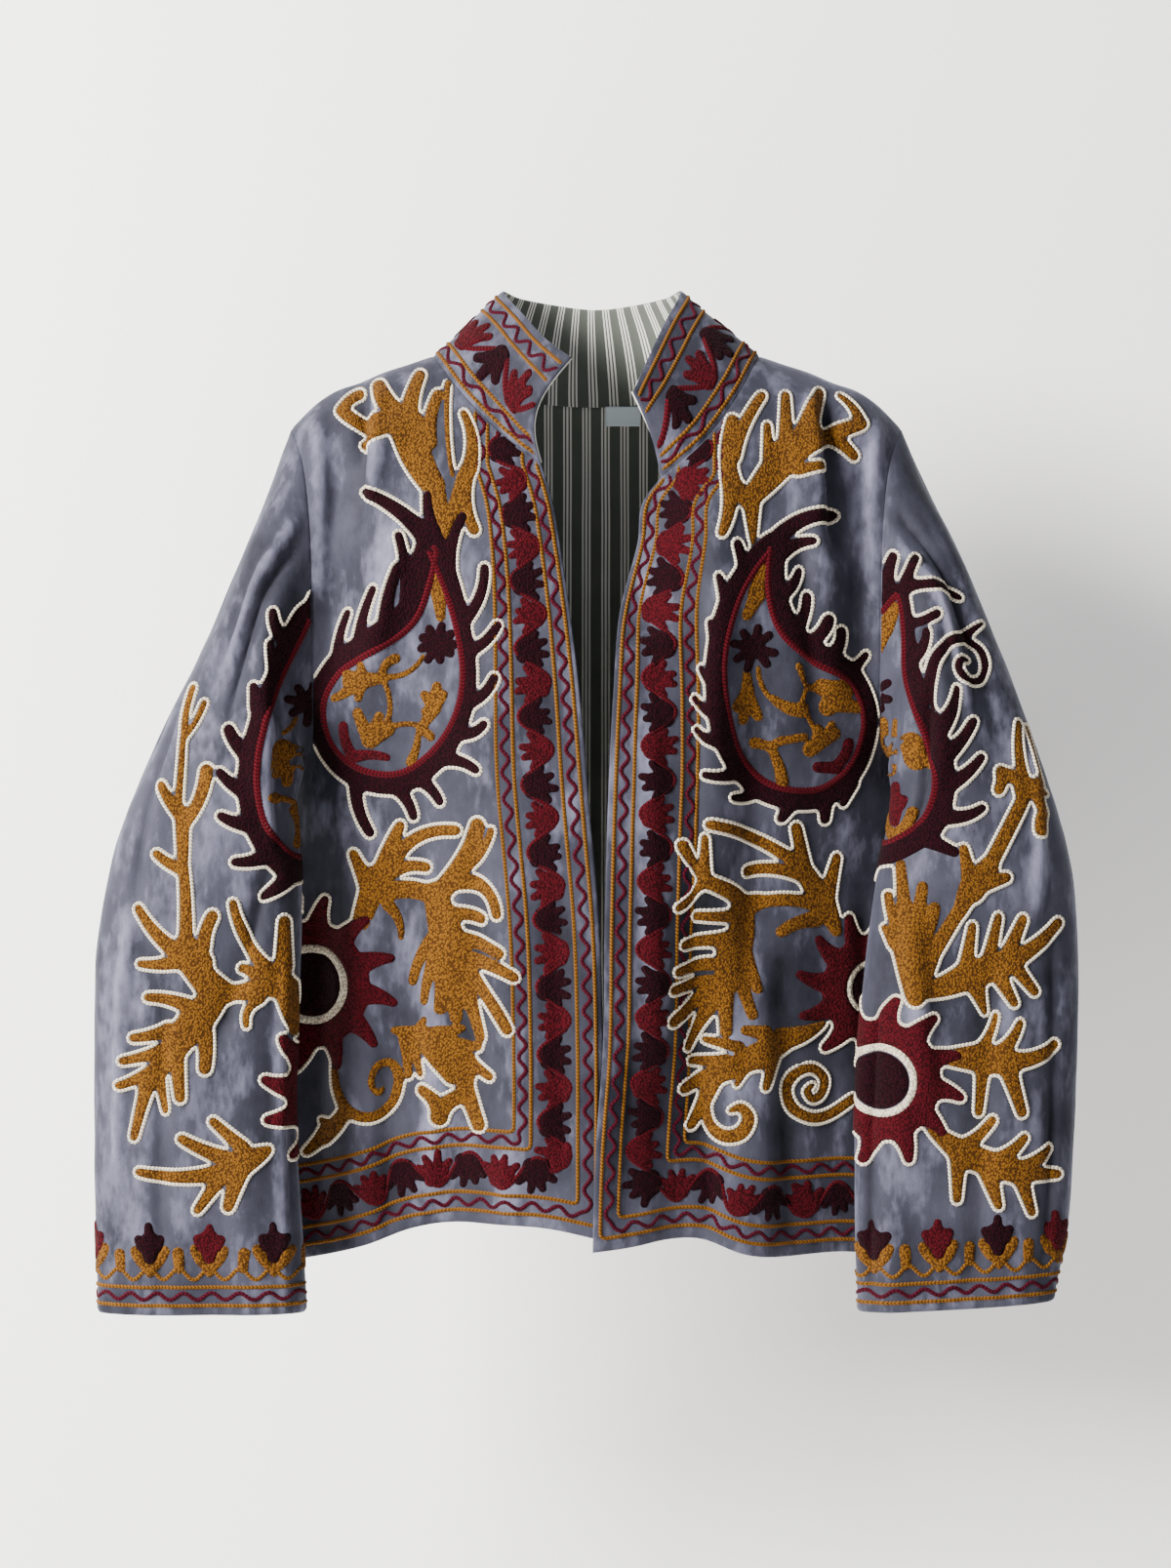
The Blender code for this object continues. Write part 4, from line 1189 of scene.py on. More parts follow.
class Effects:
    """Shader node groups that several materials use, each built once."""

    def __init__(self) -> None:
        """Builds the groups."""
        self.nap = self.make_nap()
        self.weave = self.make_weave()
        self.wear = self.make_wear()
        self.stitch = self.make_stitch()

    def make_nap(self):
        """Crushed pile: patches where the pile leans, and fine pile grain."""
        tree, book, given, out = new_group(
            "pile_nap",
            {"Vector": ("NodeSocketVector", None), "Patch": ("NodeSocketFloat", 22.0)},
            {"Lean": "NodeSocketFloat", "Grain": "NodeSocketFloat"},
        )
        stretched = book.node("ShaderNodeMapping", {"Vector": given["Vector"], "Scale": (1.0, 1.0, 0.45)})
        place = stretched.outputs["Vector"]
        wide = book.node("ShaderNodeTexNoise", {"Vector": place, "Scale": given["Patch"], "Detail": 3.0})
        finer = book.math("MULTIPLY", given["Patch"], 4.5)
        small = book.node("ShaderNodeTexNoise", {"Vector": place, "Scale": finer, "Detail": 4.0})
        most = book.math("MULTIPLY", wide.outputs[0], 0.68)
        both = book.math("ADD", most, book.math("MULTIPLY", small.outputs[0], 0.32))
        grain = book.node("ShaderNodeTexNoise", {"Vector": given["Vector"], "Scale": 1500.0, "Detail": 2.0})
        book.tree.links.new(book.span(both, 0.30, 0.70), out.inputs["Lean"])
        book.tree.links.new(grain.outputs[0], out.inputs["Grain"])
        return tree

    def make_weave(self):
        """Plain weave: crossing threads of a pitch, as a height."""
        tree, book, given, out = new_group(
            "plain_weave",
            {"Vector": ("NodeSocketVector", None), "Pitch": ("NodeSocketFloat", 0.0006)},
            {"Height": "NodeSocketFloat"},
        )
        parts = book.node("ShaderNodeSeparateXYZ", {0: given["Vector"]}).outputs
        turns = book.math("DIVIDE", math.pi, given["Pitch"])
        waves = [book.math("SINE", book.math("MULTIPLY", parts[i], turns)) for i in (0, 1)]
        book.tree.links.new(book.math("ABSOLUTE", book.math("MULTIPLY", *waves)), out.inputs["Height"])
        return tree

    def make_wear(self):
        """Uneven fading and soil in random clouds, as a mask."""
        tree, book, given, out = new_group(
            "soft_wear",
            {"Vector": ("NodeSocketVector", None), "Size": ("NodeSocketFloat", 12.0)},
            {"Mask": "NodeSocketFloat"},
        )
        inputs = {"Vector": given["Vector"], "Scale": given["Size"], "Detail": 5.0}
        cloud = book.node("ShaderNodeTexNoise", inputs)
        book.tree.links.new(book.span(cloud.outputs[0], 0.40, 0.66), out.inputs["Mask"])
        return tree

    def make_stitch(self):
        """Packed chain stitches of wool: small rounded cells with dark gaps, and strand fuzz."""
        tree, book, given, out = new_group(
            "wool_stitch",
            {"Vector": ("NodeSocketVector", None), "Pitch": ("NodeSocketFloat", 0.0021)},
            {"Height": "NodeSocketFloat", "Gap": "NodeSocketFloat", "Tone": "NodeSocketFloat"},
        )
        scale = book.math("DIVIDE", 1.0, given["Pitch"])
        bend = book.node("ShaderNodeTexNoise", {"Vector": given["Vector"], "Scale": 420.0, "Detail": 1.0})
        push = book.node(
            "ShaderNodeVectorMath", {0: bend.outputs["Color"], "Scale": 0.0009}, operation="SCALE"
        )
        place = book.node(
            "ShaderNodeVectorMath", {0: given["Vector"], 1: push.outputs[0]}, operation="ADD"
        )
        cells = book.node("ShaderNodeTexVoronoi", {"Vector": place.outputs[0], "Scale": scale}, feature="F1")
        away = cells.outputs["Distance"]
        fuzz = book.node("ShaderNodeTexNoise", {"Vector": given["Vector"], "Scale": 2600.0, "Detail": 2.0})
        dome = book.span(away, 0.0, 0.75, 1.0, 0.0)
        height = book.math("ADD", dome, book.math("MULTIPLY", fuzz.outputs[0], 0.3))
        book.tree.links.new(height, out.inputs["Height"])
        book.tree.links.new(book.span(away, 0.34, 0.66), out.inputs["Gap"])
        book.tree.links.new(cells.outputs["Color"], out.inputs["Tone"])
        return tree


def rgba(colour: tuple) -> tuple:
    """A colour with full opacity."""
    return (*colour, 1.0)


def new_material(name: str, roughness: float, **values) -> tuple:
    """Makes a material with a Principled shader.

    Args:
        name: The material's name.
        roughness: The shader's roughness.
        **values: Other inputs of the shader, with underscores for spaces.

    Returns:
        tuple: The material, its book and its shader node.
    """
    made = bpy.data.materials.new(name)
    made.use_nodes = True
    shader = made.node_tree.nodes["Principled BSDF"]
    shader.inputs["Roughness"].default_value = roughness
    shader.inputs["IOR"].default_value = 1.45
    for key, value in {"Specular_IOR_Level": 0.12, **values}.items():
        shader.inputs[key.replace("_", " ")].default_value = value
    return made, NodeBook(made.node_tree), shader


def velvet_material(effects: Effects, finish: VelvetFinish) -> bpy.types.Material:
    """Grey-blue velvet with crushed, leaning pile and a soft sheen, and painted shade in crease valleys and
    painted highlight on crease ridges.
    """
    made, book, shader = new_material(
        "velvet_cloth",
        finish.roughness,
        Sheen_Weight=finish.sheen,
        Sheen_Roughness=0.38,
        Sheen_Tint=(0.72, 0.78, 1.0, 1.0),
    )
    place = book.node("ShaderNodeTexCoord").outputs["Object"]
    nap = book.group(effects.nap, Vector=place, Patch=48.0)
    wear = book.group(effects.wear, Vector=place, Size=14.0)
    # Painted light: the crease relief darkens the colour in valleys as shade and lightens it on ridges as
    # highlight, on top of the random pile lean.
    relief = book.node("ShaderNodeAttribute", attribute_name="relief").outputs["Fac"]
    raised = book.span(relief, -1.0, 1.0, -0.12, 0.57)
    lean_and_fold_light = book.math("ADD", book.math("MULTIPLY", nap["Lean"], 0.55), raised, True)
    low = book.mix(book.span(lean_and_fold_light, 0.0, 0.5), rgba(finish.dark), rgba(finish.plain))
    high = book.mix(book.span(lean_and_fold_light, 0.5, 1.0), low, rgba(finish.light))
    faded = book.mix(book.math("MULTIPLY", wear["Mask"], 0.16), high, rgba(finish.light))
    fine = book.span(nap["Grain"], 0.3, 0.7, 0.86, 1.10)
    tinted = book.node("ShaderNodeVectorMath", {0: faded, "Scale": fine}, operation="SCALE").outputs[0]
    book.feed(shader, Base_Color=tinted, Roughness=book.span(nap["Lean"], 0.0, 1.0, 0.78, 0.58))
    height = book.math("ADD", nap["Grain"], book.math("MULTIPLY", nap["Lean"], 1.6))
    book.bump(shader, height, 0.35, 0.0006)
    return made


def lining_material(effects: Effects, finish: LiningFinish) -> bpy.types.Material:
    """Grey-green cotton with groups of three cream lines, 13 mm from group to group."""
    made, book, shader = new_material("striped_cotton", finish.roughness, Sheen_Weight=0.08)
    flat = book.node("ShaderNodeUVMap", uv_map="cloth").outputs[0]
    across = book.node("ShaderNodeSeparateXYZ", {0: flat}).outputs[0]
    group = book.math("PINGPONG", across, 0.0065)
    lines = []
    for middle, half in ((0.0065, 0.00055), (0.0042, 0.00045)):
        away = book.math("ABSOLUTE", book.math("SUBTRACT", group, middle))
        lines.append(book.span(away, half, half + 0.00022, 1.0, 0.0))
    stripe = book.math("MAXIMUM", *lines)
    weave = book.group(effects.weave, Vector=flat, Pitch=0.0007)
    place = book.node("ShaderNodeTexCoord").outputs["Object"]
    wear = book.group(effects.wear, Vector=place, Size=30.0)
    base = book.mix(book.math("MULTIPLY", wear["Mask"], 0.25), rgba(finish.base), rgba(finish.faded))
    colour = book.mix(stripe, base, rgba(finish.stripe))
    shade = book.span(weave["Height"], 0.0, 1.0, 0.84, 1.06)
    tinted = book.node("ShaderNodeVectorMath", {0: colour, "Scale": shade}, operation="SCALE").outputs[0]
    book.feed(shader, Base_Color=tinted)
    book.bump(shader, weave["Height"], 0.3, 0.0003)
    return made


def label_material(effects: Effects, finish: LabelFinish) -> bpy.types.Material:
    """Pale woven tape, blank."""
    made, book, shader = new_material("label_tape", finish.roughness)
    flat = book.node("ShaderNodeUVMap", uv_map="cloth").outputs[0]
    weave = book.group(effects.weave, Vector=flat, Pitch=0.0004)
    book.feed(shader, Base_Color=book.mix(weave["Height"], rgba(finish.low), rgba(finish.high)))
    book.bump(shader, weave["Height"], 0.3, 0.0002)
    return made


def stitched_material(effects: Effects, thread: Thread) -> bpy.types.Material:
    """Wool filling: packed stitches with dark gaps and uneven tone."""
    wool = WOOLS[thread]
    made, book, shader = new_material(
        f"{thread.value}_filling", wool.roughness, Sheen_Roughness=0.5, **WOOL_SHINE
    )
    place = book.node("ShaderNodeTexCoord").outputs["Object"]
    stitch = book.group(effects.stitch, Vector=place, Pitch=0.0015)
    wear = book.group(effects.wear, Vector=place, Size=55.0)
    deep = tuple(0.62 * a + 0.38 * b for a, b in zip(wool.light, wool.dark))
    body = book.mix(book.math("MULTIPLY", stitch["Tone"], 0.55), rgba(wool.light), rgba(deep))
    body = book.mix(book.math("MULTIPLY", wear["Mask"], 0.45), body, rgba(deep))
    colour = book.mix(book.math("MULTIPLY", stitch["Gap"], 0.85), body, rgba(wool.dark))
    book.feed(shader, Base_Color=colour)
    book.bump(shader, stitch["Height"], 0.9, 0.0009)
    return made


def rope_material(thread: Thread) -> bpy.types.Material:
    """One line of chain stitch: links along the line's UV, wool fuzz and dark gaps."""
    wool = WOOLS[thread]
    made, book, shader = new_material(f"{thread.value}_chain", wool.roughness, **WOOL_SHINE)
    cloth = book.node("ShaderNodeUVMap", uv_map="cloth").outputs[0]
    flat = book.node("ShaderNodeSeparateXYZ", {0: cloth}).outputs
    side = book.math("ABSOLUTE", flat[1])
    phase = book.math("ADD", flat[0], book.math("MULTIPLY", side, 0.45))
    link = book.math("ABSOLUTE", book.math("SINE", book.math("MULTIPLY", phase, math.pi)))
    groove = book.span(link, 0.05, 0.65)
    seam = book.span(side, 0.0, 0.22)
    raised = book.math("MULTIPLY", groove, book.math("ADD", book.math("MULTIPLY", seam, 0.6), 0.4))
    place = book.node("ShaderNodeTexCoord").outputs["Object"]
    fuzz = book.node("ShaderNodeTexNoise", {"Vector": place, "Scale": 1800.0, "Detail": 2.0}).outputs[0]
    tone = book.math("MULTIPLY", raised, book.span(fuzz, 0.3, 0.7, 0.85, 1.0))
    colour = book.mix(tone, rgba(wool.dark), rgba(wool.light))
    book.feed(shader, Base_Color=colour)
    height = book.math("ADD", raised, book.math("MULTIPLY", fuzz, 0.3))
    book.bump(shader, height, 0.8, 0.0007)
    return made


# Sizes of the stitching, in metres
CHAIN_PITCH = 0.0024
CHAIN_WIDTH = 0.0023
CHAIN_HEIGHT = 0.0012
CHAIN_MARGIN = 0.0012
CHAIN_LEAST = 4
FIELD_STEP = 0.0016
FIELD_FAR = 0.0065
FILL_HEIGHT = 0.0010
FILL_ROUNDING = 0.0022
ON_VELVET = VELVET / 2 + 0.0001
# The border narrows by this share towards the neck, and lies this much higher over the hem
BORDER_NARROWING = 0.26
BORDER_TURN_Z = -0.330
BORDER_TURN_HEIGHT = 0.200
HEM_MARGIN = 0.0040
# Where the outline lies off the fillings, how far fillings stay from the panel's border, and the
# smallest loop that gets an outline, in square metres
OUTLINE_GAP = 0.0009
FILL_MARGIN = 0.0010
LEAST_LOOP = 2e-5
# How far a place may be missed on the cloth, and how far hand work moves a limb's tip, in mm
FILL_MISS = 0.002
TIP_SHIFT = 0.6
# A sleeve's chart: least advance of a step as a share of its length, on the inner and outer side,
# the share over which that limit is soft, and the share of rings that lie along one direction
INNER_LEAST = 0.35
OUTER_LEAST = 0.80
LEAST_SOFTNESS = 0.2
UPPER_RINGS = 0.35
# Columns of the sleeve's two charts: how far each starts before or after the shoulder and underarm
FRONT_START, FRONT_END = -12, 9
BACK_START, BACK_END = 8, -11
# Cuff: heights above its edge of the scalloped line, the tulips and the ovals
SCALLOP_LENGTH = 0.0205
SCALLOP_HEIGHT = 0.0270
SCALLOP_SWING = 0.0038
CUFF_START = 0.010
TULIP_HEIGHT = 0.0405
TULIP_SCALE = 0.98
OVAL_HEIGHT = 0.0360

# One limb of a motif, in mm: from its root to its tip, bowed aside by a share of its length,
# with its half width at the root and at the tip
Limb = namedtuple("Limb", "x0 z0 x1 z1 bow r0 r1")
# One point of a curved stroke, in mm, with its half width
Knot = namedtuple("Knot", "x z r")

# Motifs of the right front, in mm from a point of each motif
SHOULDER_LEAF = table(
    Limb,
    (0, -9, -11, 35, 0, 1.4, 7.5), (-11, 35, -30, 76, 0.05, 7.5, 12),
    (-28, 80, -21, 110, 0.05, 6.5, 3.6), (-36, 82, -47, 103, 0.05, 8, 4.4),
    (-44, 77, -73, 88, 0.12, 6.5, 3.8), (-73, 88, -60, 100, 0.1, 3.8, 3),
    (-44, 75, -59, 64, 0, 5.6, 3.6), (-14, 64, -9, 97, 0.06, 5, 3.4), (0, 2, 12, 46, 0.05, 2.6, 5.4),
    (12, 46, 9, 84, -0.1, 5.4, 2.4), (12, 46, 17, 6, -0.1, 4.6, 3.6), (1, 42, -3, 104, 0.03, 1.5, 2),
)
PAISLEY_RING = table(
    Knot,
    (29, 100, 6.6), (40, 78, 5.6), (50, 46, 4.6), (55, 12, 4.4), (50, -18, 4.8), (34, -44, 6),
    (8, -61, 6.4), (-22, -57, 6), (-43, -37, 5.2), (-49, -8, 5.2), (-36, 17, 6.2), (-12, 33, 6.8),
    (11, 50, 7.4), (21, 76, 7.8),
)
PAISLEY_FLAMES = table(
    Limb,
    (24, 103, -19, 132, -0.06, 6.5, 3), (31, 104, 27, 128, 0.05, 4.6, 2.8),
    (41, 80, 49, 114, 0.06, 4.8, 3), (52, 46, 65, 80, -0.1, 4.2, 3), (55, 26, 72, 42, -0.1, 4.2, 3),
    (54, -8, 71, 8, -0.12, 4.2, 3.2), (50, -28, 64, -22, -0.14, 4.2, 3),
    (36, -45, 58, -52, 0.1, 4.8, 3), (17, -57, 34, -73, 0.1, 4.8, 3), (2, -62, 17, -82, 0.1, 4.8, 3),
    (-22, -60, -13, -93, -0.08, 4.8, 3.4), (-34, 18, -26, 53, 0.05, 4.2, 2.5),
    (-18, 32, -9, 67, 0.04, 4.4, 2.6), (-1, 44, 6, 83, 0.04, 4.4, 2.6),
    (12, 62, 9, 101, -0.04, 4.4, 2.4), (17, 86, 13, 62, 0.1, 3.6, 2.2),
)
PAISLEY_SPROUTS = table(
    Limb,
    (33, 80, 34, 64, 0.06, 2.2, 5.4), (34, 64, 35, 49, 0, 5.4, 3.2), (24, 23, -4, 9, 0.16, 1.6, 2),
    (-4, 9, 5, 22, 0.2, 2, 3.4), (-4, 9, -23, 6, 0, 3, 7), (-20, 8, -36, -4, 0.1, 5, 2.4),
    (-22, 8, -29, 13, 0, 4, 3), (-16, 10, -18, 18, 0, 4, 2.6), (-18, 4, -20, -5, 0, 4, 2.6),
    (-4, 9, 0, -22, 0.12, 1.8, 1.8), (0, -22, -13, -32, 0, 3, 5), (-13, -32, -20, -14, 0, 5, 3.4),
    (-12, -32, -7, -16, 0, 5, 3), (-12, -33, 2, -26, 0, 4.4, 2.4), (0, -24, 22, -24, 0.1, 1.8, 1.8),
    (22, -24, 31, -10, 0, 2.4, 5), (31, -12, 25, -2, 0, 4, 3), (31, -10, 33, 3, 0, 5, 3.4),
    (32, -10, 38, -2, 0, 4, 3), (30, -12, 24, -12, 0, 4, 2.6), (22, -24, 27, -30, 0, 2.6, 3.2),
    (20, -25, 14, -46, 0.06, 1.6, 3.4),
)
PAISLEY_BERRIES = table(
    Limb,
    (-30, -22, -24, -42, -0.08, 3.2, 3.8), (-24, -43, -2, -42, 0.08, 4.4, 2.6),
)
HAND_BRANCH = table(
    Limb,
    (-6, -14, 5, 15, 0, 6, 8.4), (9, 20, 20, 50, 0.03, 7, 3.4), (-2, 12, -11, 32, 0, 6, 3.2),
    (13, 20, 57, 46, 0.18, 4.6, 3.6), (12, 17, 38, 22, 0.12, 4.6, 3.4), (8, 5, 42, 4, 0.1, 6, 6),
    (12, -3, 20, -24, 0.12, 4.4, 2), (47, 5, 70, 50, -0.06, 7, 5.2), (64, 24, 82, 48, -0.1, 4, 2.4),
    (60, 13, 84, -9, 0.22, 5.6, 3.4), (44, 5, 54, -36, 0, 8, 12), (54, -8, 74, -11, 0.06, 4.6, 3.6),
    (57, -25, 86, -34, 0.06, 5.4, 3.6), (62, -38, 95, -50, 0.06, 5.4, 3.4),
    (63, -46, 92, -85, 0.04, 5.4, 3.8), (60, -48, 74, -89, 0, 5.4, 4.2),
    (55, -48, 57, -78, 0, 5.4, 3.8), (50, -44, 47, -72, 0, 5, 3.6), (44, -38, 38, -66, -0.04, 4.6, 3.2),
    (41, -26, 29, -54, -0.06, 4.6, 3.4),
)
OAK_LEAF = table(
    Limb,
    (-3, 1, 29, -4, 0, 2.2, 8.4), (29, -4, 44, -21, -0.1, 8.4, 7.6), (44, -21, 45, -44, 0, 7.6, 4.6),
    (14, 0, 20, 8, 0, 4.6, 2.4), (29, -1, 42, 3, 0, 5.6, 2.4), (36, -7, 54, -10, 0, 5, 2.6),
    (42, -17, 62, -28, 0, 5, 3.2), (45, -37, 54, -61, 0, 5.4, 4.6), (44, -42, 29, -56, -0.16, 4.8, 5.4),
    (29, -56, 18, -39, -0.16, 5.4, 3.6), (4, -4, 8, -29, 0, 3.8, 2.5), (10, -7, 17, -28, 0, 4, 2.5),
    (22, -11, 36, -33, 0, 5.6, 2.7),
)
CURL = table(
    Knot,
    (-6, 27, 2.4), (-4, 12, 3), (4, -2, 3.8), (19, -6, 3.4), (33, 3, 3.4), (38, 19, 3.4), (33, 30, 3),
    (23, 28, 2.4), (19, 17, 2.1), (23, 10, 2), (27, 13, 1.8),
)
CURL_LEAF = table(
    Limb,
    (2, -2, -14, -19, 0.06, 4, 6.4), (-14, -19, -28, -30, 0, 6, 2.6), (-10, -12, -18, -9, 0, 3.2, 2),
)
# Motifs of the left front
LEFT_SHOULDER_LEAF = table(
    Limb,
    (0, -2, -1, 28, 0, 1.5, 6), (-1, 28, 23, 57, 0, 6, 11), (23, 57, 40, 68, 0, 11, 8.6),
    (11, 55, 10, 76, 0, 4, 2.5), (23, 64, 23, 97, 0, 5, 3.1), (35, 72, 46, 98, 0, 6.5, 3.5),
    (46, 70, 73, 78, 0, 6, 4), (73, 78, 59, 98, -0.1, 4, 1.6), (56, 70, 69, 58, 0, 4, 3.3),
    (31, 47, 43, 50, 0, 4, 3), (-20, 4, -14, 41, -0.06, 2.5, 5), (-14, 41, -12, 80, 0.06, 5.6, 3.6),
    (-12, 55, 8, 97, 0.05, 4.6, 3.1), (-14, 41, -3, 26, 0, 4, 5),
)
LEFT_PAISLEY_RING = table(
    Knot,
    (-21, 112, 5), (-45, 85, 5.2), (-58, 46, 5.4), (-59, 10, 5.8), (-48, -32, 6), (-24, -55, 6),
    (12, -58, 6), (36, -38, 5), (45, -6, 4.4), (34, 23, 5.2), (8, 39, 6.4), (-11, 56, 6.5),
    (-19, 80, 5.6),
)
LEFT_PAISLEY_FLAMES = table(
    Limb,
    (-17, 115, 21, 130, 0.1, 5.4, 4.2), (-15, 104, 6, 110, 0.1, 5, 2.8),
    (-17, 75, -4, 92, -0.1, 4.6, 2.8), (-7, 52, 2, 74, -0.1, 5, 3.6), (4, 44, 15, 60, -0.1, 4.6, 3.4),
    (17, 35, 25, 52, -0.1, 4.2, 3.2), (31, 26, 41, 37, 0, 4, 2.6), (-41, 94, -46, 109, 0, 4.2, 2.8),
    (-52, 71, -58, 88, 0, 4.6, 2), (-59, 44, -64, 58, 0, 4.2, 1.8), (-60, 19, -70, 28, 0.1, 4.4, 2),
    (-58, -2, -74, 8, 0.1, 4.6, 2.2), (-53, -21, -73, -14, 0.1, 4.6, 2.4),
    (-44, -40, -64, -42, 0.1, 4.6, 2.4), (-29, -52, -49, -57, 0.1, 4.6, 2.4),
    (-8, -61, -15, -71, 0, 4.6, 3.2), (15, -60, 14, -71, 0, 4.6, 3.4), (33, -48, 26, -62, 0, 4, 2.2),
)
LEFT_PAISLEY_SPROUTS = table(
    Limb,
    (-28, 94, -32, 76, 0, 2.8, 5.8), (-32, 76, -39, 62, 0, 5.8, 3.6), (-39, 28, -38, 12, 0, 1.8, 4.6),
    (-38, 12, -45, 2, 0, 4.8, 3.6), (-38, 10, -41, -6, 0, 4.8, 3.4), (-38, 10, -32, -4, 0, 4.6, 3.4),
    (-31, 28, -22, 8, -0.1, 1.7, 1.8), (-21, 8, -2, 1, -0.1, 2.6, 5), (-3, 2, 1, 15, 0, 1.7, 1.7),
    (1, 15, -3, 29, 0, 1.5, 2.5), (1, 15, 12, 13, 0, 1.6, 3), (13, 15, 26, 13, 0, 6, 6.6),
    (20, 6, 36, 2, 0, 7, 3.6), (24, 16, 15, 1, 0, 5, 5.6), (1, -2, 8, -15, 0, 1.7, 1.7),
    (4, -25, 21, -14, 0, 5.4, 3.8), (8, -20, 9, -12, 0, 4, 3), (14, -18, 18, -9, 0, 4, 2.6),
    (0, -17, -15, -19, 0, 2.6, 2.8), (-15, -19, -24, -24, 0, 2.8, 2.8), (-24, -23, -33, -20, 0, 3, 3.8),
    (-22, -25, -14, -46, 0.06, 2.8, 4.4),
)
LEFT_PAISLEY_BERRIES = table(Limb, (9, -37, 22, -37, 0, 3.6, 4.2), (22, -36, 30, -20, -0.1, 3.8, 3.8))
LEFT_HAND_BRANCH = table(
    Limb,
    (11, -13, 2, 7, 0, 4, 8), (2, 6, -9, 23, 0, 8, 6.6), (-9, 27, -73, 58, -0.06, 4.4, 3.2),
    (-11, 30, -17, 56, 0, 4.6, 3.6), (-15, 25, -50, 26, -0.08, 4.2, 3.4), (5, 12, 11, 36, 0, 5.6, 3),
    (-3, -5, -27, -14, -0.08, 5.6, 3.8), (0, 3, -40, 7, -0.08, 4.2, 4.2), (-40, 7, -54, 3, 0, 5, 8),
    (-51, 5, -75, 22, -0.05, 5.6, 4.4), (-76, 22, -76, 49, 0, 4, 2.2), (-77, 25, -93, 45, 0.05, 4, 3.6),
    (-76, 21, -95, 4, 0.05, 3.6, 2.6), (-52, 1, -57, -25, 0.05, 7, 11.5),
    (-57, -25, -61, -42, 0, 11.5, 9), (-60, -2, -81, -2, 0, 4.2, 2.8),
    (-65, -17, -91, -21, 0, 4.6, 3.1), (-73, -34, -95, -39, 0, 4.4, 3), (-73, -45, -98, -50, 0, 3.8, 3),
    (-71, -51, -99, -70, 0, 4.8, 3.6), (-69, -55, -88, -88, 0, 4.8, 3), (-64, -52, -64, -79, 0, 5, 3.6),
    (-56, -42, -46, -68, 0, 5.6, 3.8), (-52, -26, -42, -50, 0, 6.4, 3.4),
)
LEFT_OAK_LEAF = table(
    Limb,
    (34, 15, 6, 5, 0.05, 1.8, 8), (6, 3, -12, -5, 0, 8, 9), (-12, -5, -37, -16, 0, 8.6, 6.4),
    (-6, 10, -21, 13, 0, 5.4, 3.2), (-24, 1, -44, 5, 0, 4.2, 2.4), (-33, -8, -54, -8, 0, 4.6, 2.7),
    (-37, -16, -59, -26, 0, 5.4, 3.6), (-40, -20, -46, -36, 0, 5.4, 4.8),
    (-46, -36, -55, -51, 0, 4.8, 3.2), (0, -7, -7, -26, 0, 5.4, 2.4), (-20, -12, -25, -25, 0, 4.8, 1.8),
)
LEFT_HOOK = table(
    Knot,
    (-45, -35, 3.2), (-42, -50, 3.4), (-33, -58, 4.2), (-22, -56, 4.6), (-17, -46, 4), (-22, -39, 3),
    (-29, -41, 1.8),
)
LEFT_SPIRAL = table(
    Knot,
    (32, -6, 3.2), (16, -16, 3.4), (3, -18, 3.4), (-8, -11, 3.2), (-12, 2, 3.2), (-6, 12, 3),
    (4, 15, 3), (12, 8, 3), (10, -2, 2.8), (4, -6, 2.2), (0, 0, 1.9), (4, 4, 1.4),
)
# Motifs of the right sleeve
TALL_BRANCH = table(
    Limb,
    (-4, 16, -15, 30, 0, 7, 5.4), (-15, 26, -17, 77, -0.02, 4.8, 3.6), (-17, 77, -19, 112, 0, 3.4, 5.6),
    (-22, 118, -20, 163, 0, 3, 1.9), (-19, 162, -15, 197, 0.04, 1.8, 2.7),
    (-18, 164, -7, 185, -0.05, 1.7, 2.4), (-15, 108, -2, 140, -0.08, 4.2, 4.6),
    (-22, 114, -34, 133, 0.05, 4.6, 2.8), (-20, 77, -36, 87, 0.05, 4, 2.8),
    (-3, 26, 3, 46, 0.06, 4.4, 4), (-23, 24, -47, 51, 0.05, 5.4, 3), (-17, 17, -46, 16, 0.05, 5.4, 2.5),
    (-14, 20, 0, 2, 0, 9, 9), (0, 2, 13, -5, 0, 9, 6.4), (7, -4, -7, -20, 0, 7, 10.6),
    (-7, -20, -29, -47, 0, 10.6, 8.8), (-29, -47, -42, -66, 0, 8.4, 4.8),
    (-42, -66, -51, -98, 0, 4.6, 3), (-15, -12, -41, -7, -0.05, 4.8, 2.9),
    (-27, -28, -52, -32, 0.04, 4.8, 2.9), (-33, -42, -57, -48, 0.03, 4.2, 2.8),
    (-40, -56, -61, -64, 0.03, 4.2, 2.8), (-33, -59, -29, -80, 0, 4.2, 2.5),
    (-21, -46, -18, -72, 0, 5.2, 3.5), (-4, -26, -3, -54, 0.05, 5.6, 4.2), (11, -4, 37, 1, -0.1, 5, 6),
    (36, 1, 47, 0, 0, 6.8, 9), (40, 9, 17, 54, 0.08, 4.6, 2.8), (48, 12, 49, 42, 0, 5.4, 3.4),
    (34, 3, 22, 12, -0.1, 4, 3), (34, -9, 25, -26, -0.2, 3, 2), (50, -2, 57, -28, 0, 8, 5.4),
)
SLEEVE_PAISLEY_RING = table(
    Knot,
    (0, 100, 5), (-11, 82, 5.6), (-22, 54, 4.2), (-28, 36, 4.6), (-32, 20, 5), (-36, 3, 5.8),
    (-37, -18, 6.2), (-33, -40, 6.4), (-24, -57, 6.8), (-10, -71, 7.2), (10, -74, 6.4), (28, -60, 5.8),
    (37, -36, 5.2), (38, -8, 5), (34, 20, 5), (26, 48, 5), (14, 78, 5),
)
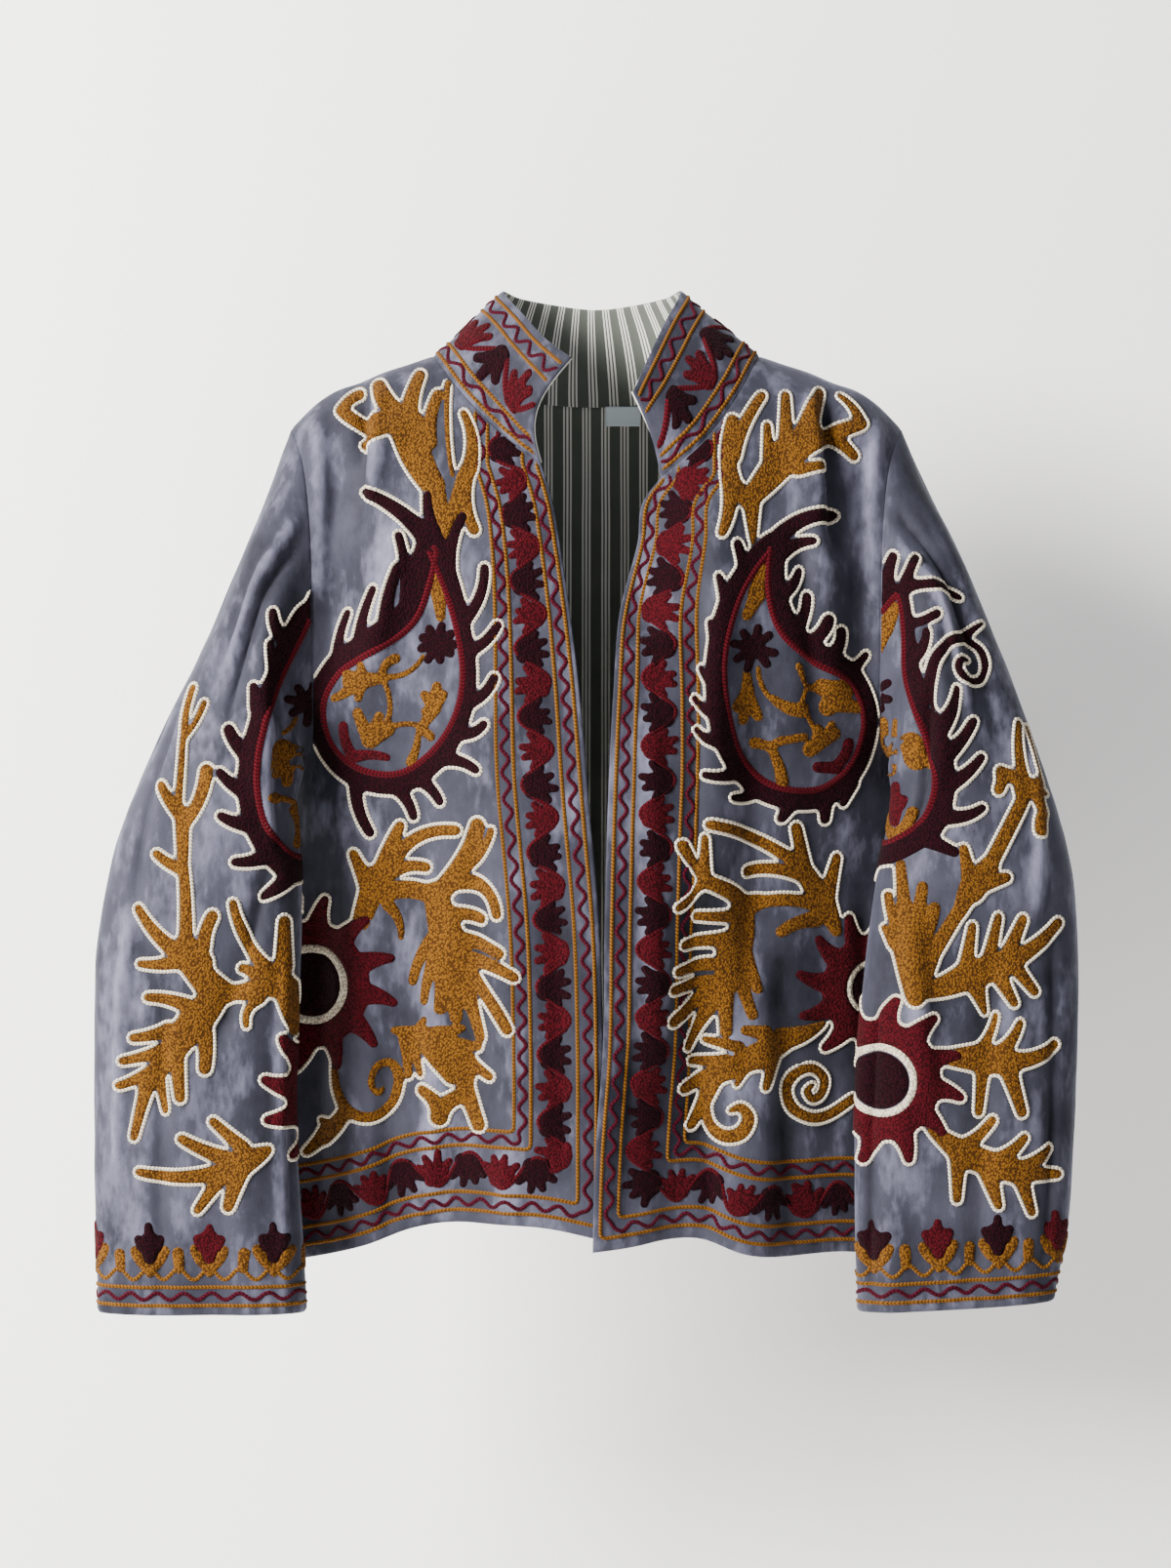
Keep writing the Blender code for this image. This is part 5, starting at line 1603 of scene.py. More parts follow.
SLEEVE_PAISLEY_FLAMES = table(
    Limb,
    (0, 98, 5, 122, 0, 4.8, 2.8), (-14, 76, -24, 98, 0.08, 4.6, 2.6), (-22, 58, -24, 76, 0, 3.2, 2),
    (-32, 34, -35, 48, 0, 4, 2.8), (-38, 4, -49, 21, 0.06, 5.4, 3.8), (-40, -20, -55, -9, 0.06, 5.2, 3),
    (-38, -42, -54, -37, 0.06, 5.2, 3), (-27, -64, -44, -66, 0.06, 4.8, 3),
    (-12, -78, -26, -88, 0.06, 5.4, 3.2), (9, -79, 2, -100, 0.06, 5, 3.2), (30, -62, 46, -74, 0, 5, 3),
    (40, -36, 57, -34, 0, 5, 3), (40, -8, 57, 2, 0, 5, 3), (34, 20, 50, 34, 0, 5, 3),
)
SLEEVE_PAISLEY_SPROUTS = table(
    Limb,
    (-8, 32, -16, 17, 0.15, 1.3, 1.6), (-16, 8, -9, 3, 0, 5.4, 6), (-17, 6, -20, -10, 0, 5, 3.2),
    (-12, 0, -12, -14, 0, 5, 3.2), (-7, 2, -2, -4, 0, 5, 4), (-20, -25, -19, -25, 0, 3.8, 3.8),
    (-18, -25, -2, -31, 0.1, 2, 1.8), (-8, -33, -5, -56, 0.12, 3, 4.2),
)
CUFF_LEAF = table(
    Limb,
    (2, 0, -22, -11, 0, 2.8, 10), (-15, 2, -34, 18, 0, 5, 3), (-27, -5, -55, 8, 0.03, 5.4, 3.2),
    (-31, -15, -85, -14, 0.05, 5.6, 2.8), (-31, -20, -45, -39, 0, 5, 2.8),
    (-17, -13, -24, -37, 0, 6.8, 3.8),
)
# Motifs of the left sleeve
LEFT_SLEEVE_RING = table(
    Knot,
    (9, 99, 3.4), (13, 70, 3.2), (15, 41, 4.8), (22, 18, 6.2), (30, -6, 6.2), (34, -32, 6.2),
    (27, -57, 6.8), (11, -71, 6.4), (-10, -80, 6), (-27, -72, 5.2), (-37, -48, 5), (-38, -14, 5),
    (-28, 20, 5), (-17, 55, 4.6), (-8, 84, 4.4),
)
LEFT_SLEEVE_FLAMES = table(
    Limb,
    (1, 102, 7, 123, 0.05, 4.8, 3), (13, 104, 21, 121, 0, 3.6, 2.6), (13, 100, 52, 97, 0.12, 4.4, 2.2),
    (14, 74, 31, 82, -0.05, 3.4, 2.8), (15, 50, 25, 70, -0.1, 4.2, 2.6),
    (32, 6, 43, 31, -0.06, 5.4, 2.8), (37, -10, 52, 10, -0.06, 5.4, 2.8),
    (38, -31, 58, -14, -0.06, 5.4, 2.8), (34, -53, 58, -47, -0.1, 5.4, 2.8),
    (24, -69, 39, -75, 0, 5.4, 3.4), (-12, -83, -18, -98, 0, 5, 2.6),
)
LEFT_SLEEVE_TENDRIL = table(
    Knot,
    (23, 17, 5), (25, 34, 3.6), (29, 51, 3.2), (39, 63, 3.2), (51, 68, 3), (64, 78, 1.3),
)
LEFT_SLEEVE_CURL = table(
    Knot,
    (51, 67, 2.4), (61, 60, 2.5), (64, 48, 2.5), (59, 38, 2.4), (50, 38, 2.2), (44, 45, 1.9),
    (46, 52, 1.7), (51, 51, 1.3),
)
LEFT_SLEEVE_SPROUTS = table(
    Limb,
    (5, 87, -3, 71, 0, 2.8, 6), (-3, 71, -7, 55, 0, 6, 3), (-5, 8, -3, -17, 0, 4.6, 3.6),
    (4, 10, 2, -24, 0, 1.5, 1.5), (13, -5, 14, -16, 0, 7, 7.6), (16, -10, 24, -19, 0, 5, 3),
    (-14, -26, 1, -26, 0, 1.8, 1.8), (1, -66, 14, -50, -0.1, 3, 3.8), (0, -66, -6, -57, 0, 3.4, 3),
)
LEFT_SLEEVE_BERRY = table(
    Limb,
    (2, -58, 2, -44, 0, 2.6, 5.4), (-1, -46, -5, -42, 0, 4, 3), (5, -46, 8, -42, 0, 4, 3),
    (2, -44, 2, -33, 0, 4, 2.6),
)
LEFT_BRANCH = table(
    Limb,
    (-3, 0, 9, 3, 0, 6.5, 6), (-2, 6, -4, 46, 0.04, 4.6, 2), (12, 6, 2, 43, 0, 3, 1.6),
    (-4, 6, -18, 11, 0, 4.8, 4.2), (-18, 11, -20, 0, 0.1, 4.2, 3.6), (7, -3, 12, -14, 0, 4.6, 4),
    (12, -14, 9, -25, -0.1, 4, 4), (8, 1, 17, -1, 0, 3.6, 1.6), (-1, -2, -27, -50, 0, 4.4, 5),
    (-27, -50, -38, -65, 0, 6.4, 9), (-41, -57, -45, -39, 0, 5.4, 3.2),
    (-31, -62, -16, -57, 0, 5.4, 3.4), (-42, -68, -48, -80, 0, 7, 4.6),
    (-48, -80, -67, -111, 0, 4.6, 5), (-67, -111, -77, -136, 0, 6, 5),
)
FAN_LEAF = table(
    Limb,
    (0, 0, -2, 36, 0, 3, 10), (-5, 38, -14, 68, 0.05, 4.6, 2.4), (-3, 42, -6, 88, 0, 5.6, 3),
    (2, 42, 8, 74, 0, 4.8, 3.6), (6, 38, 15, 60, -0.05, 4.6, 4), (-11, 36, -16, 46, 0, 3.8, 2.2),
)
WIDE_LEAF = table(
    Limb,
    (-6, -2, 28, 9, -0.05, 4, 9.6), (28, 9, 52, 17, 0, 9.6, 8), (24, 14, 29, 41, 0, 5, 2.8),
    (39, 18, 46, 46, 0, 5, 2.8), (51, 20, 63, 45, 0, 5.6, 3.2), (56, 19, 88, 43, -0.05, 6, 3.2),
    (58, 14, 71, 0, 0, 4.8, 3.2), (46, 10, 58, -9, 0, 5.6, 2.8), (30, 4, 37, -15, 0, 7, 2.2),
)
MIDDLE_LEAF = table(
    Limb,
    (-2, 0, 34, -1, 0, 2.3, 10), (34, -1, 50, -3, 0, 10, 8), (32, 7, 41, 28, -0.06, 4, 1.8),
    (45, 4, 58, 23, -0.06, 5, 2.4), (52, -2, 81, 9, -0.1, 6, 3.4), (50, -10, 57, -36, 0, 5.6, 3.6),
    (32, -8, 29, -36, 0, 5, 3.2),
)
LOW_LEAF = table(
    Limb,
    (0, 0, 24, -18, 0, 2.4, 8.4), (24, -18, 62, -29, 0, 8.4, 8), (25, -11, 43, 6, -0.05, 5, 2.8),
    (46, -21, 64, -8, -0.05, 5.6, 2.8), (61, -27, 81, -13, -0.05, 5.6, 2.8),
    (62, -30, 89, -31, 0, 5.6, 3.2), (62, -33, 69, -55, 0, 5.6, 2.8), (40, -29, 46, -51, 0, 6.6, 2.8),
    (19, -18, 18, -47, 0, 5.6, 2.8),
)
# Small flowers of the cuffs and borders
TULIP_HEAD = table(
    Limb,
    (0, -3, 0, 8, 0, 4, 7), (-5, 5, -8, 10, 0, 4, 3.2), (0, 8, 0, 18, 0, 4, 2.6),
    (5, 5, 8, 10, 0, 4, 3.2),
)
TULIP_SEPALS = table(
    Limb,
    (0, -13, 0, -8, 0, 3, 4.6), (0, -9, -10, 2, 0.1, 4.4, 3.6), (0, -9, 10, 2, -0.1, 4.4, 3.6),
)
CUFF_OVAL = table(Limb, (0, -5, 0, 5, 0, 3.4, 3.8))
BORDER_FLOWER = table(
    Limb,
    (-3.5, -2.5, 3.5, -2.5, 0, 5, 5), (-5.5, -2, -11, 6.5, -0.12, 3.4, 2.5),
    (-2.5, 0, -4.5, 12, -0.04, 3.3, 2.4), (2.5, 0, 3.5, 13, 0.04, 3.3, 2.4),
    (5.5, -2, 11, 7.5, 0.12, 3.4, 2.5),
)
COLLAR_FLOWER = table(
    Limb,
    (-2, -5, 2, -5, 0, 5.4, 5.4), (-4, -3, -10, 9, -0.08, 4, 3.4), (0, -2, -1, 14, 0, 4, 3.4),
    (4, -3, 9, 9, 0.08, 4, 3.4),
)


@dataclass(frozen=True)
class Band:
    """Three lines beside an edge: their distances from it, and the middle one's wave. In metres."""

    distances: tuple
    phase: float = 0.0
    wave: float = 0.0026
    pitch: float = 0.0170


@dataclass(frozen=True)
class Garland:
    """A vine and its flowers, in metres: swing, length from one red flower to the next, and start."""

    half: float
    period: float
    start: float
    flower: tuple = BORDER_FLOWER
    size: float = 1.0
    width: float = 0.0030


@dataclass(frozen=True)
class Sun:
    """A round flower: plum middle, cream ring, and a red body with pointed rays. Sizes in mm."""

    middle: float = 21.5
    ring: float = 24.0
    ring_half: float = 2.7
    body: float = 41.0
    reach: float = 58.0
    rays: int = 12
    ray_root: float = 8.5
    ray_tip: float = 3.0


@dataclass(frozen=True)
class Paisley:
    """The parts of a paisley: ring, flames, sprouts, berries and the star inside it. Sizes in mm."""

    ring: tuple
    flames: tuple
    sprouts: tuple
    berries: tuple
    star_x: float
    star_z: float
    petals: int = 8
    reach: float = 12.5


PAISLEYS = {
    "front_right": Paisley(PAISLEY_RING, PAISLEY_FLAMES, PAISLEY_SPROUTS, PAISLEY_BERRIES, 33, 31, 9, 11.5),
    "front_left": Paisley(
        LEFT_PAISLEY_RING, LEFT_PAISLEY_FLAMES, LEFT_PAISLEY_SPROUTS, LEFT_PAISLEY_BERRIES, -34, 41, 8, 13.5
    ),
    "sleeve_right": Paisley(SLEEVE_PAISLEY_RING, SLEEVE_PAISLEY_FLAMES, SLEEVE_PAISLEY_SPROUTS, (), 0, 37),
    "sleeve_left": Paisley(
        LEFT_SLEEVE_RING, LEFT_SLEEVE_FLAMES, LEFT_SLEEVE_SPROUTS, LEFT_SLEEVE_BERRY, -12, 27
    ),
}


@dataclass(frozen=True)
class Spot:
    """Where a motif lies on a chart: in metres, degrees, a scale and whether it is mirrored."""

    x: float
    z: float
    turn: float = 0.0
    scale: float = 1.0
    mirror: bool = False

    def put(self, points: np.ndarray) -> np.ndarray:
        """Moves points in mm to the chart, in metres."""
        flat = np.asarray(points, float) * (-1 if self.mirror else 1, 1) * 0.001 * self.scale
        a = math.radians(self.turn)
        c, s = math.cos(a), math.sin(a)
        return flat @ np.array([[c, s], [-s, c]]) + (self.x, self.z)


def limb_path(limb: Limb) -> tuple:
    """Points and half widths of a limb: a quadratic curve whose middle is moved aside."""
    a, b = np.array([limb.x0, limb.z0], float), np.array([limb.x1, limb.z1], float)
    way = b - a
    control = (a + b) / 2 + 2 * limb.bow * np.array([-way[1], way[0]])
    t = np.linspace(0.0, 1.0, 9)[:, None]
    points = (1 - t) ** 2 * a + 2 * t * (1 - t) * control + t**2 * b
    return points, limb.r0 + (limb.r1 - limb.r0) * t[:, 0] ** 0.8


def stroke_path(knots: tuple, closed: bool, steps: int = 8) -> tuple:
    """Points and half widths of a smooth curve through knots (Catmull-Rom).

    Args:
        knots: Rows of Knot.
        closed: True for a ring.
        steps: Points from one knot to the next.

    Returns:
        tuple: The points and their half widths.
    """
    k = np.array(knots, float)
    count = len(k)
    number = np.arange(count if closed else count - 1)
    mode = "wrap" if closed else "clip"
    p0, p1, p2, p3 = (np.take(k, number + shift, axis=0, mode=mode)[:, None] for shift in (-1, 0, 1, 2))
    t = np.linspace(0.0, 1.0, steps, endpoint=False)[None, :, None]
    curve = 0.5 * (
        2 * p1 + (p2 - p0) * t + (2 * p0 - 5 * p1 + 4 * p2 - p3) * t**2 + (3 * p1 - p0 - 3 * p2 + p3) * t**3
    )
    curve = curve.reshape(-1, 3)
    curve = np.concatenate([curve, curve[:1] if closed else k[-1:]])
    return curve[:, :2], curve[:, 2]


def even_line(line: np.ndarray, step: float, smooth: int = 0, closed: bool = False) -> np.ndarray:
    """A line of points with even steps, each smoothed with its neighbours.

    Args:
        line: The points.
        step: Length of a step.
        smooth: How many times the points are smoothed.
        closed: True for a loop.

    Returns:
        np.ndarray: The new points; a loop's last one is its first.
    """
    if closed:
        line = np.concatenate([line, line[:1]])
    run = run_along(line)
    count = max(int(round(run[-1] / step)), 3)
    at = np.linspace(0.0, run[-1], count + 1)
    made = np.stack([np.interp(at, run, line[:, k]) for k in range(line.shape[1])], axis=-1)
    for _ in range(smooth):
        if closed:
            ring = made[:-1]
            ring = (np.roll(ring, 1, axis=0) + 2 * ring + np.roll(ring, -1, axis=0)) / 4
            made = np.concatenate([ring, ring[:1]])
        else:
            made[1:-1] = (made[:-2] + 2 * made[1:-1] + made[2:]) / 4
    return made


def line_normals(line: np.ndarray) -> np.ndarray:
    """Unit normals of a flat line, on its left."""
    way = unit(np.gradient(line, axis=0))
    return np.stack([-way[:, 1], way[:, 0]], axis=-1)


# Finding a place on a chart: places taken at once, grid steps between the starts, steps towards it
PART_SIZE = 8000
COARSE_STEP = 6
PLACE_STEPS = 16


class Chart:
    """The flat pattern of a panel, or of one side of a sleeve, and the way back to the cloth."""

    def __init__(self, points: np.ndarray, normals: np.ndarray, flat: np.ndarray) -> None:
        """Joins a grid's flat places, points and normals."""
        self.cloth = np.concatenate([flat, points, normals], axis=-1)
        border = [flat[0], flat[1:, -1], flat[-1, -2::-1], flat[-2:0:-1, 0]]
        self.outline = np.concatenate(border)[::2]

    def sample(self, at: np.ndarray) -> tuple:
        """Values of the cloth's grid at places in rows and columns, and how they change."""
        grid = self.cloth
        i = np.clip(at[:, 0].astype(int), 0, grid.shape[0] - 2)
        j = np.clip(at[:, 1].astype(int), 0, grid.shape[1] - 2)
        s, t = (at[:, 0] - i)[:, None], (at[:, 1] - j)[:, None]
        a, b, c, d = grid[i, j], grid[i, j + 1], grid[i + 1, j], grid[i + 1, j + 1]
        low, high = a + (b - a) * t, c + (d - c) * t
        return low + (high - low) * s, high - low, (b - a) * (1 - s) + (d - c) * s

    def place(self, flat: np.ndarray) -> tuple:
        """Points, normals and misses of flat places, found by stepping on the grid.

        Args:
            flat: Places on the chart, n by 2.

        Returns:
            tuple: Points and unit normals on the cloth, and the distance each place was missed by.
        """
        coarse = self.cloth[::COARSE_STEP, ::COARSE_STEP, :2]
        starts = coarse.reshape(-1, 2)
        parts = np.array_split(flat, max(1, len(flat) // PART_SIZE))
        near = [((part[:, None] - starts) ** 2).sum(axis=-1).argmin(axis=1) for part in parts]
        at = np.stack(np.divmod(np.concatenate(near), coarse.shape[1]), axis=-1) * float(COARSE_STEP)
        limit = np.array(self.cloth.shape[:2]) - 1.0
        for _ in range(PLACE_STEPS):
            value, by_row, by_column = self.sample(at)
            miss = flat - value[:, :2]
            a, b, c, d = by_row[:, 0], by_column[:, 0], by_row[:, 1], by_column[:, 1]
            size = a * d - b * c
            size = np.where(np.abs(size) < 1e-14, 1e-14, size)
            step = np.stack([d * miss[:, 0] - b * miss[:, 1], a * miss[:, 1] - c * miss[:, 0]], axis=-1)
            at = np.clip(at + np.clip(step / size[:, None], -4.0, 4.0), 0.0, limit)
        value = self.sample(at)[0]
        return value[:, 2:5], unit(value[:, 5:]), np.linalg.norm(flat - value[:, :2], axis=1)

    def depth(self, flat: np.ndarray) -> np.ndarray:
        """How far flat places lie inside the chart's outline; outside it is below 0."""
        a = self.outline
        b = np.roll(a, -1, axis=0)
        way = b - a
        size = np.maximum((way**2).sum(axis=1), 1e-14)
        found = []
        for part in np.array_split(flat, max(1, len(flat) // PART_SIZE)):
            off = part[:, None] - a[None]
            t = np.clip((off * way).sum(axis=-1) / size, 0.0, 1.0)
            away = np.linalg.norm(off - t[..., None] * way, axis=-1).min(axis=1)
            over = (a[None, :, 1] > part[:, 1:]) != (b[None, :, 1] > part[:, 1:])
            rise = np.where(np.abs(way[:, 1]) < 1e-12, 1e-12, way[:, 1])
            cross = a[:, 0] + (part[:, 1:] - a[:, 1]) * way[:, 0] / rise
            inside = (over & (part[:, :1] < cross)).sum(axis=1) % 2 == 1
            found.append(np.where(inside, away, -away))
        return np.concatenate(found)


class Field:
    """Distances to a stitched shape on an even lattice over a chart, below 0 inside it."""

    def __init__(self, chart: Chart) -> None:
        """Lays an empty lattice over a chart."""
        low, high = chart.outline.min(axis=0) - 0.01, chart.outline.max(axis=0) + 0.01
        self.u = np.arange(low[0], high[0], FIELD_STEP)
        self.v = np.arange(low[1], high[1], FIELD_STEP)
        self.away = np.full((len(self.v), len(self.u)), FIELD_FAR)

    def add(self, points: np.ndarray, radii: np.ndarray) -> None:
        """Adds a stroke: every place nearer to its line than the line's half width."""
        reach = radii.max() + FIELD_FAR
        low, high = points.min(axis=0) - reach, points.max(axis=0) + reach
        i0, i1 = np.searchsorted(self.u, (low[0], high[0]))
        j0, j1 = np.searchsorted(self.v, (low[1], high[1]))
        if i0 >= i1 or j0 >= j1:
            return
        place = np.stack(np.meshgrid(self.u[i0:i1], self.v[j0:j1]), axis=-1)[:, :, None]
        a, way = points[:-1], np.diff(points, axis=0)
        size = np.maximum((way**2).sum(axis=1), 1e-14)
        off = place - a
        t = np.clip((off * way).sum(axis=-1) / size, 0.0, 1.0)
        away = np.linalg.norm(off - t[..., None] * way, axis=-1)
        away = (away - (radii[:-1] + np.diff(radii) * t)).min(axis=-1)
        part = self.away[j0:j1, i0:i1]
        np.minimum(part, away, out=part)

    def soften(self) -> None:
        """Rounds the field a little with its neighbours."""
        f = np.pad(self.away, 1, mode="edge")
        self.away = 0.5 * self.away + 0.125 * (f[:-2, 1:-1] + f[2:, 1:-1] + f[1:-1, :-2] + f[1:-1, 2:])

    def lattice(self) -> np.ndarray:
        """The lattice's places."""
        return np.stack(np.meshgrid(self.u, self.v), axis=-1)

    def cut(self, level: float = 0.0) -> tuple:
        """Cuts the inside out of the lattice's triangles, with corners moved to the outline.

        Args:
            level: Distance at which the outline lies.

        Returns:
            tuple: Flat points, triangles, distances at the points, and outline steps as pairs
            of point numbers with the inside on their left.
        """
        f = self.away - level
        f = np.where(np.abs(f) < 0.03 * FIELD_STEP, 0.03 * FIELD_STEP, f).ravel()
        numbers = np.arange(f.size).reshape(self.away.shape)
        a, b, c, d = grid_quads(numbers).T
        corners = np.concatenate([np.stack([a, b, c], -1), np.stack([a, c, d], -1)])
        inside = f[corners] < 0
        count = inside.sum(axis=1)
        corners, inside, count = corners[count > 0], inside[count > 0], count[count > 0]

        def key(p: np.ndarray, q: np.ndarray) -> np.ndarray:
            """One number for the lattice edge between two points, or for one point twice."""
            return np.minimum(p, q) * f.size + np.maximum(p, q)

        triangles, steps = [corners[count == 3] * (f.size + 1)], []
        for turn in range(3):
            p, q, r = (np.roll(corners, -turn, axis=1)[:, k] for k in range(3))
            first = np.roll(inside, -turn, axis=1)[:, 0]
            one, two = (count == 1) & first, (count == 2) & ~first
            pq, pr = key(p, q), key(p, r)
            triangles.append(np.stack([key(p, p), pq, pr], -1)[one])
            steps.append(np.stack([pq, pr], -1)[one])
            triangles.append(np.stack([pq, key(q, q), key(r, r)], -1)[two])
            triangles.append(np.stack([pq, key(r, r), pr], -1)[two])
            steps.append(np.stack([pr, pq], -1)[two])
        triangles = np.concatenate(triangles)
        keys, place = np.unique(triangles, return_inverse=True)
        p, q = keys // f.size, keys % f.size
        share = np.where(p == q, 0.0, f[p] / np.where(p == q, 1.0, f[p] - f[q]))[:, None]
        flat = self.lattice().reshape(-1, 2)
        points = flat[p] * (1 - share) + flat[q] * share
        away = np.where(p == q, f[p], 0.0)
        steps = np.searchsorted(keys, np.concatenate(steps))
        return points, place.reshape(-1, 3), away, steps


def outline_loops(points: np.ndarray, steps: np.ndarray) -> list:
    """Follows outline steps round into closed loops and keeps those that run round an inside."""
    after = dict(steps.tolist())
    loops = []
    while after:
        first, here = after.popitem()
        loop = [first]
        while here != first and here in after:
            loop.append(here)
            here = after.pop(here)
        line = points[loop]
        x, z = line[:, 0], line[:, 1]
        area = 0.5 * (x * np.roll(z, -1) - np.roll(x, -1) * z).sum()
        if area > LEAST_LOOP:
            loops.append(line)
    return loops


class Ropes:
    """Lines of chain stitch of one colour on one chart, as one mesh."""

    def __init__(self, chart: Chart) -> None:
        """Starts with no lines."""
        self.chart = chart
        self.parts = []

    def add(
        self,
        line: np.ndarray,
        width: float = CHAIN_WIDTH,
        height: float = CHAIN_HEIGHT,
        closed: bool = False,
        lift: float = 0.0,
    ) -> None:
        """Adds a line where it lies on the cloth.

        Args:
            line: Flat points.
            width: Width of the stitches.
            height: How far they stand up.
            closed: True if the line is a loop.
            lift: How far above the velvet its underside lies.
        """
        line = even_line(line, CHAIN_PITCH / 2, smooth=2, closed=closed)
        kept = self.chart.depth(line) > CHAIN_MARGIN
        if closed and not kept.all():
            line, kept = line[:-1], kept[:-1]
            start = int(np.argmin(kept))
            line, kept = np.roll(line, -start, axis=0), np.roll(kept, -start)
        edges = np.flatnonzero(np.diff(np.concatenate([[0], kept.astype(int), [0]])))
        for start, end in zip(edges[::2], edges[1::2]):
            if end - start > CHAIN_LEAST:
                self.parts.append(self.strip(line[start:end], width, height, lift))

    def strip(self, line: np.ndarray, width: float, height: float, lift: float) -> tuple:
        """One stretch: a rounded profile of five points along the line, wider at each link.

        Args:
            line: Flat points, two to a link.
            width: Width of the stitches.
            height: How far they stand up.
            lift: How far above the velvet their underside lies.

        Returns:
            tuple: The grid of points and its UV: links along the line, and -1 to 1 across.
        """
        points, normals, _ = self.chart.place(line)
        way = np.gradient(points, axis=0)
        side = unit(np.cross(normals, way))
        number = np.arange(len(line))
        ends = np.clip(np.minimum(number, number[::-1]) / 1.5, 0.25, 1.0)
        link = np.where(number % 2 == 0, 1.10, 0.88) * ends
        across = np.array([-1.0, -0.66, 0.0, 0.66, 1.0])
        up = np.array([-0.1, 0.66, 1.0, 0.66, -0.1])
        half = (width / 2 * link)[:, None] * across
        swell = (0.92 + 0.08 * np.cos(math.pi * number))[:, None]
        rise = ON_VELVET + lift + height * swell * ends[:, None] * up
        grid = points[:, None] + side[:, None] * half[..., None] + normals[:, None] * rise[..., None]
        uv = np.stack(np.broadcast_arrays(number[:, None] / 2.0, across[None]), axis=-1)
        return grid, uv

    def build(self, name: str, finish: bpy.types.Material) -> None:
        """Makes the mesh, or nothing where no line lies on the cloth."""
        if not self.parts:
            return
        points, faces, uvs, start = [], [], [], 0
        for grid, uv in self.parts:
            numbers = np.arange(grid.shape[0] * 5).reshape(-1, 5) + start
            points.append(grid.reshape(-1, 3))
            faces.append(grid_quads(numbers))
            uvs.append(uv.reshape(-1, 2))
            start += grid.shape[0] * 5
        points, faces, uvs = np.concatenate(points), np.concatenate(faces), np.concatenate(uvs)
        mesh_object(name, points, faces, uvs[faces.ravel()], [finish])


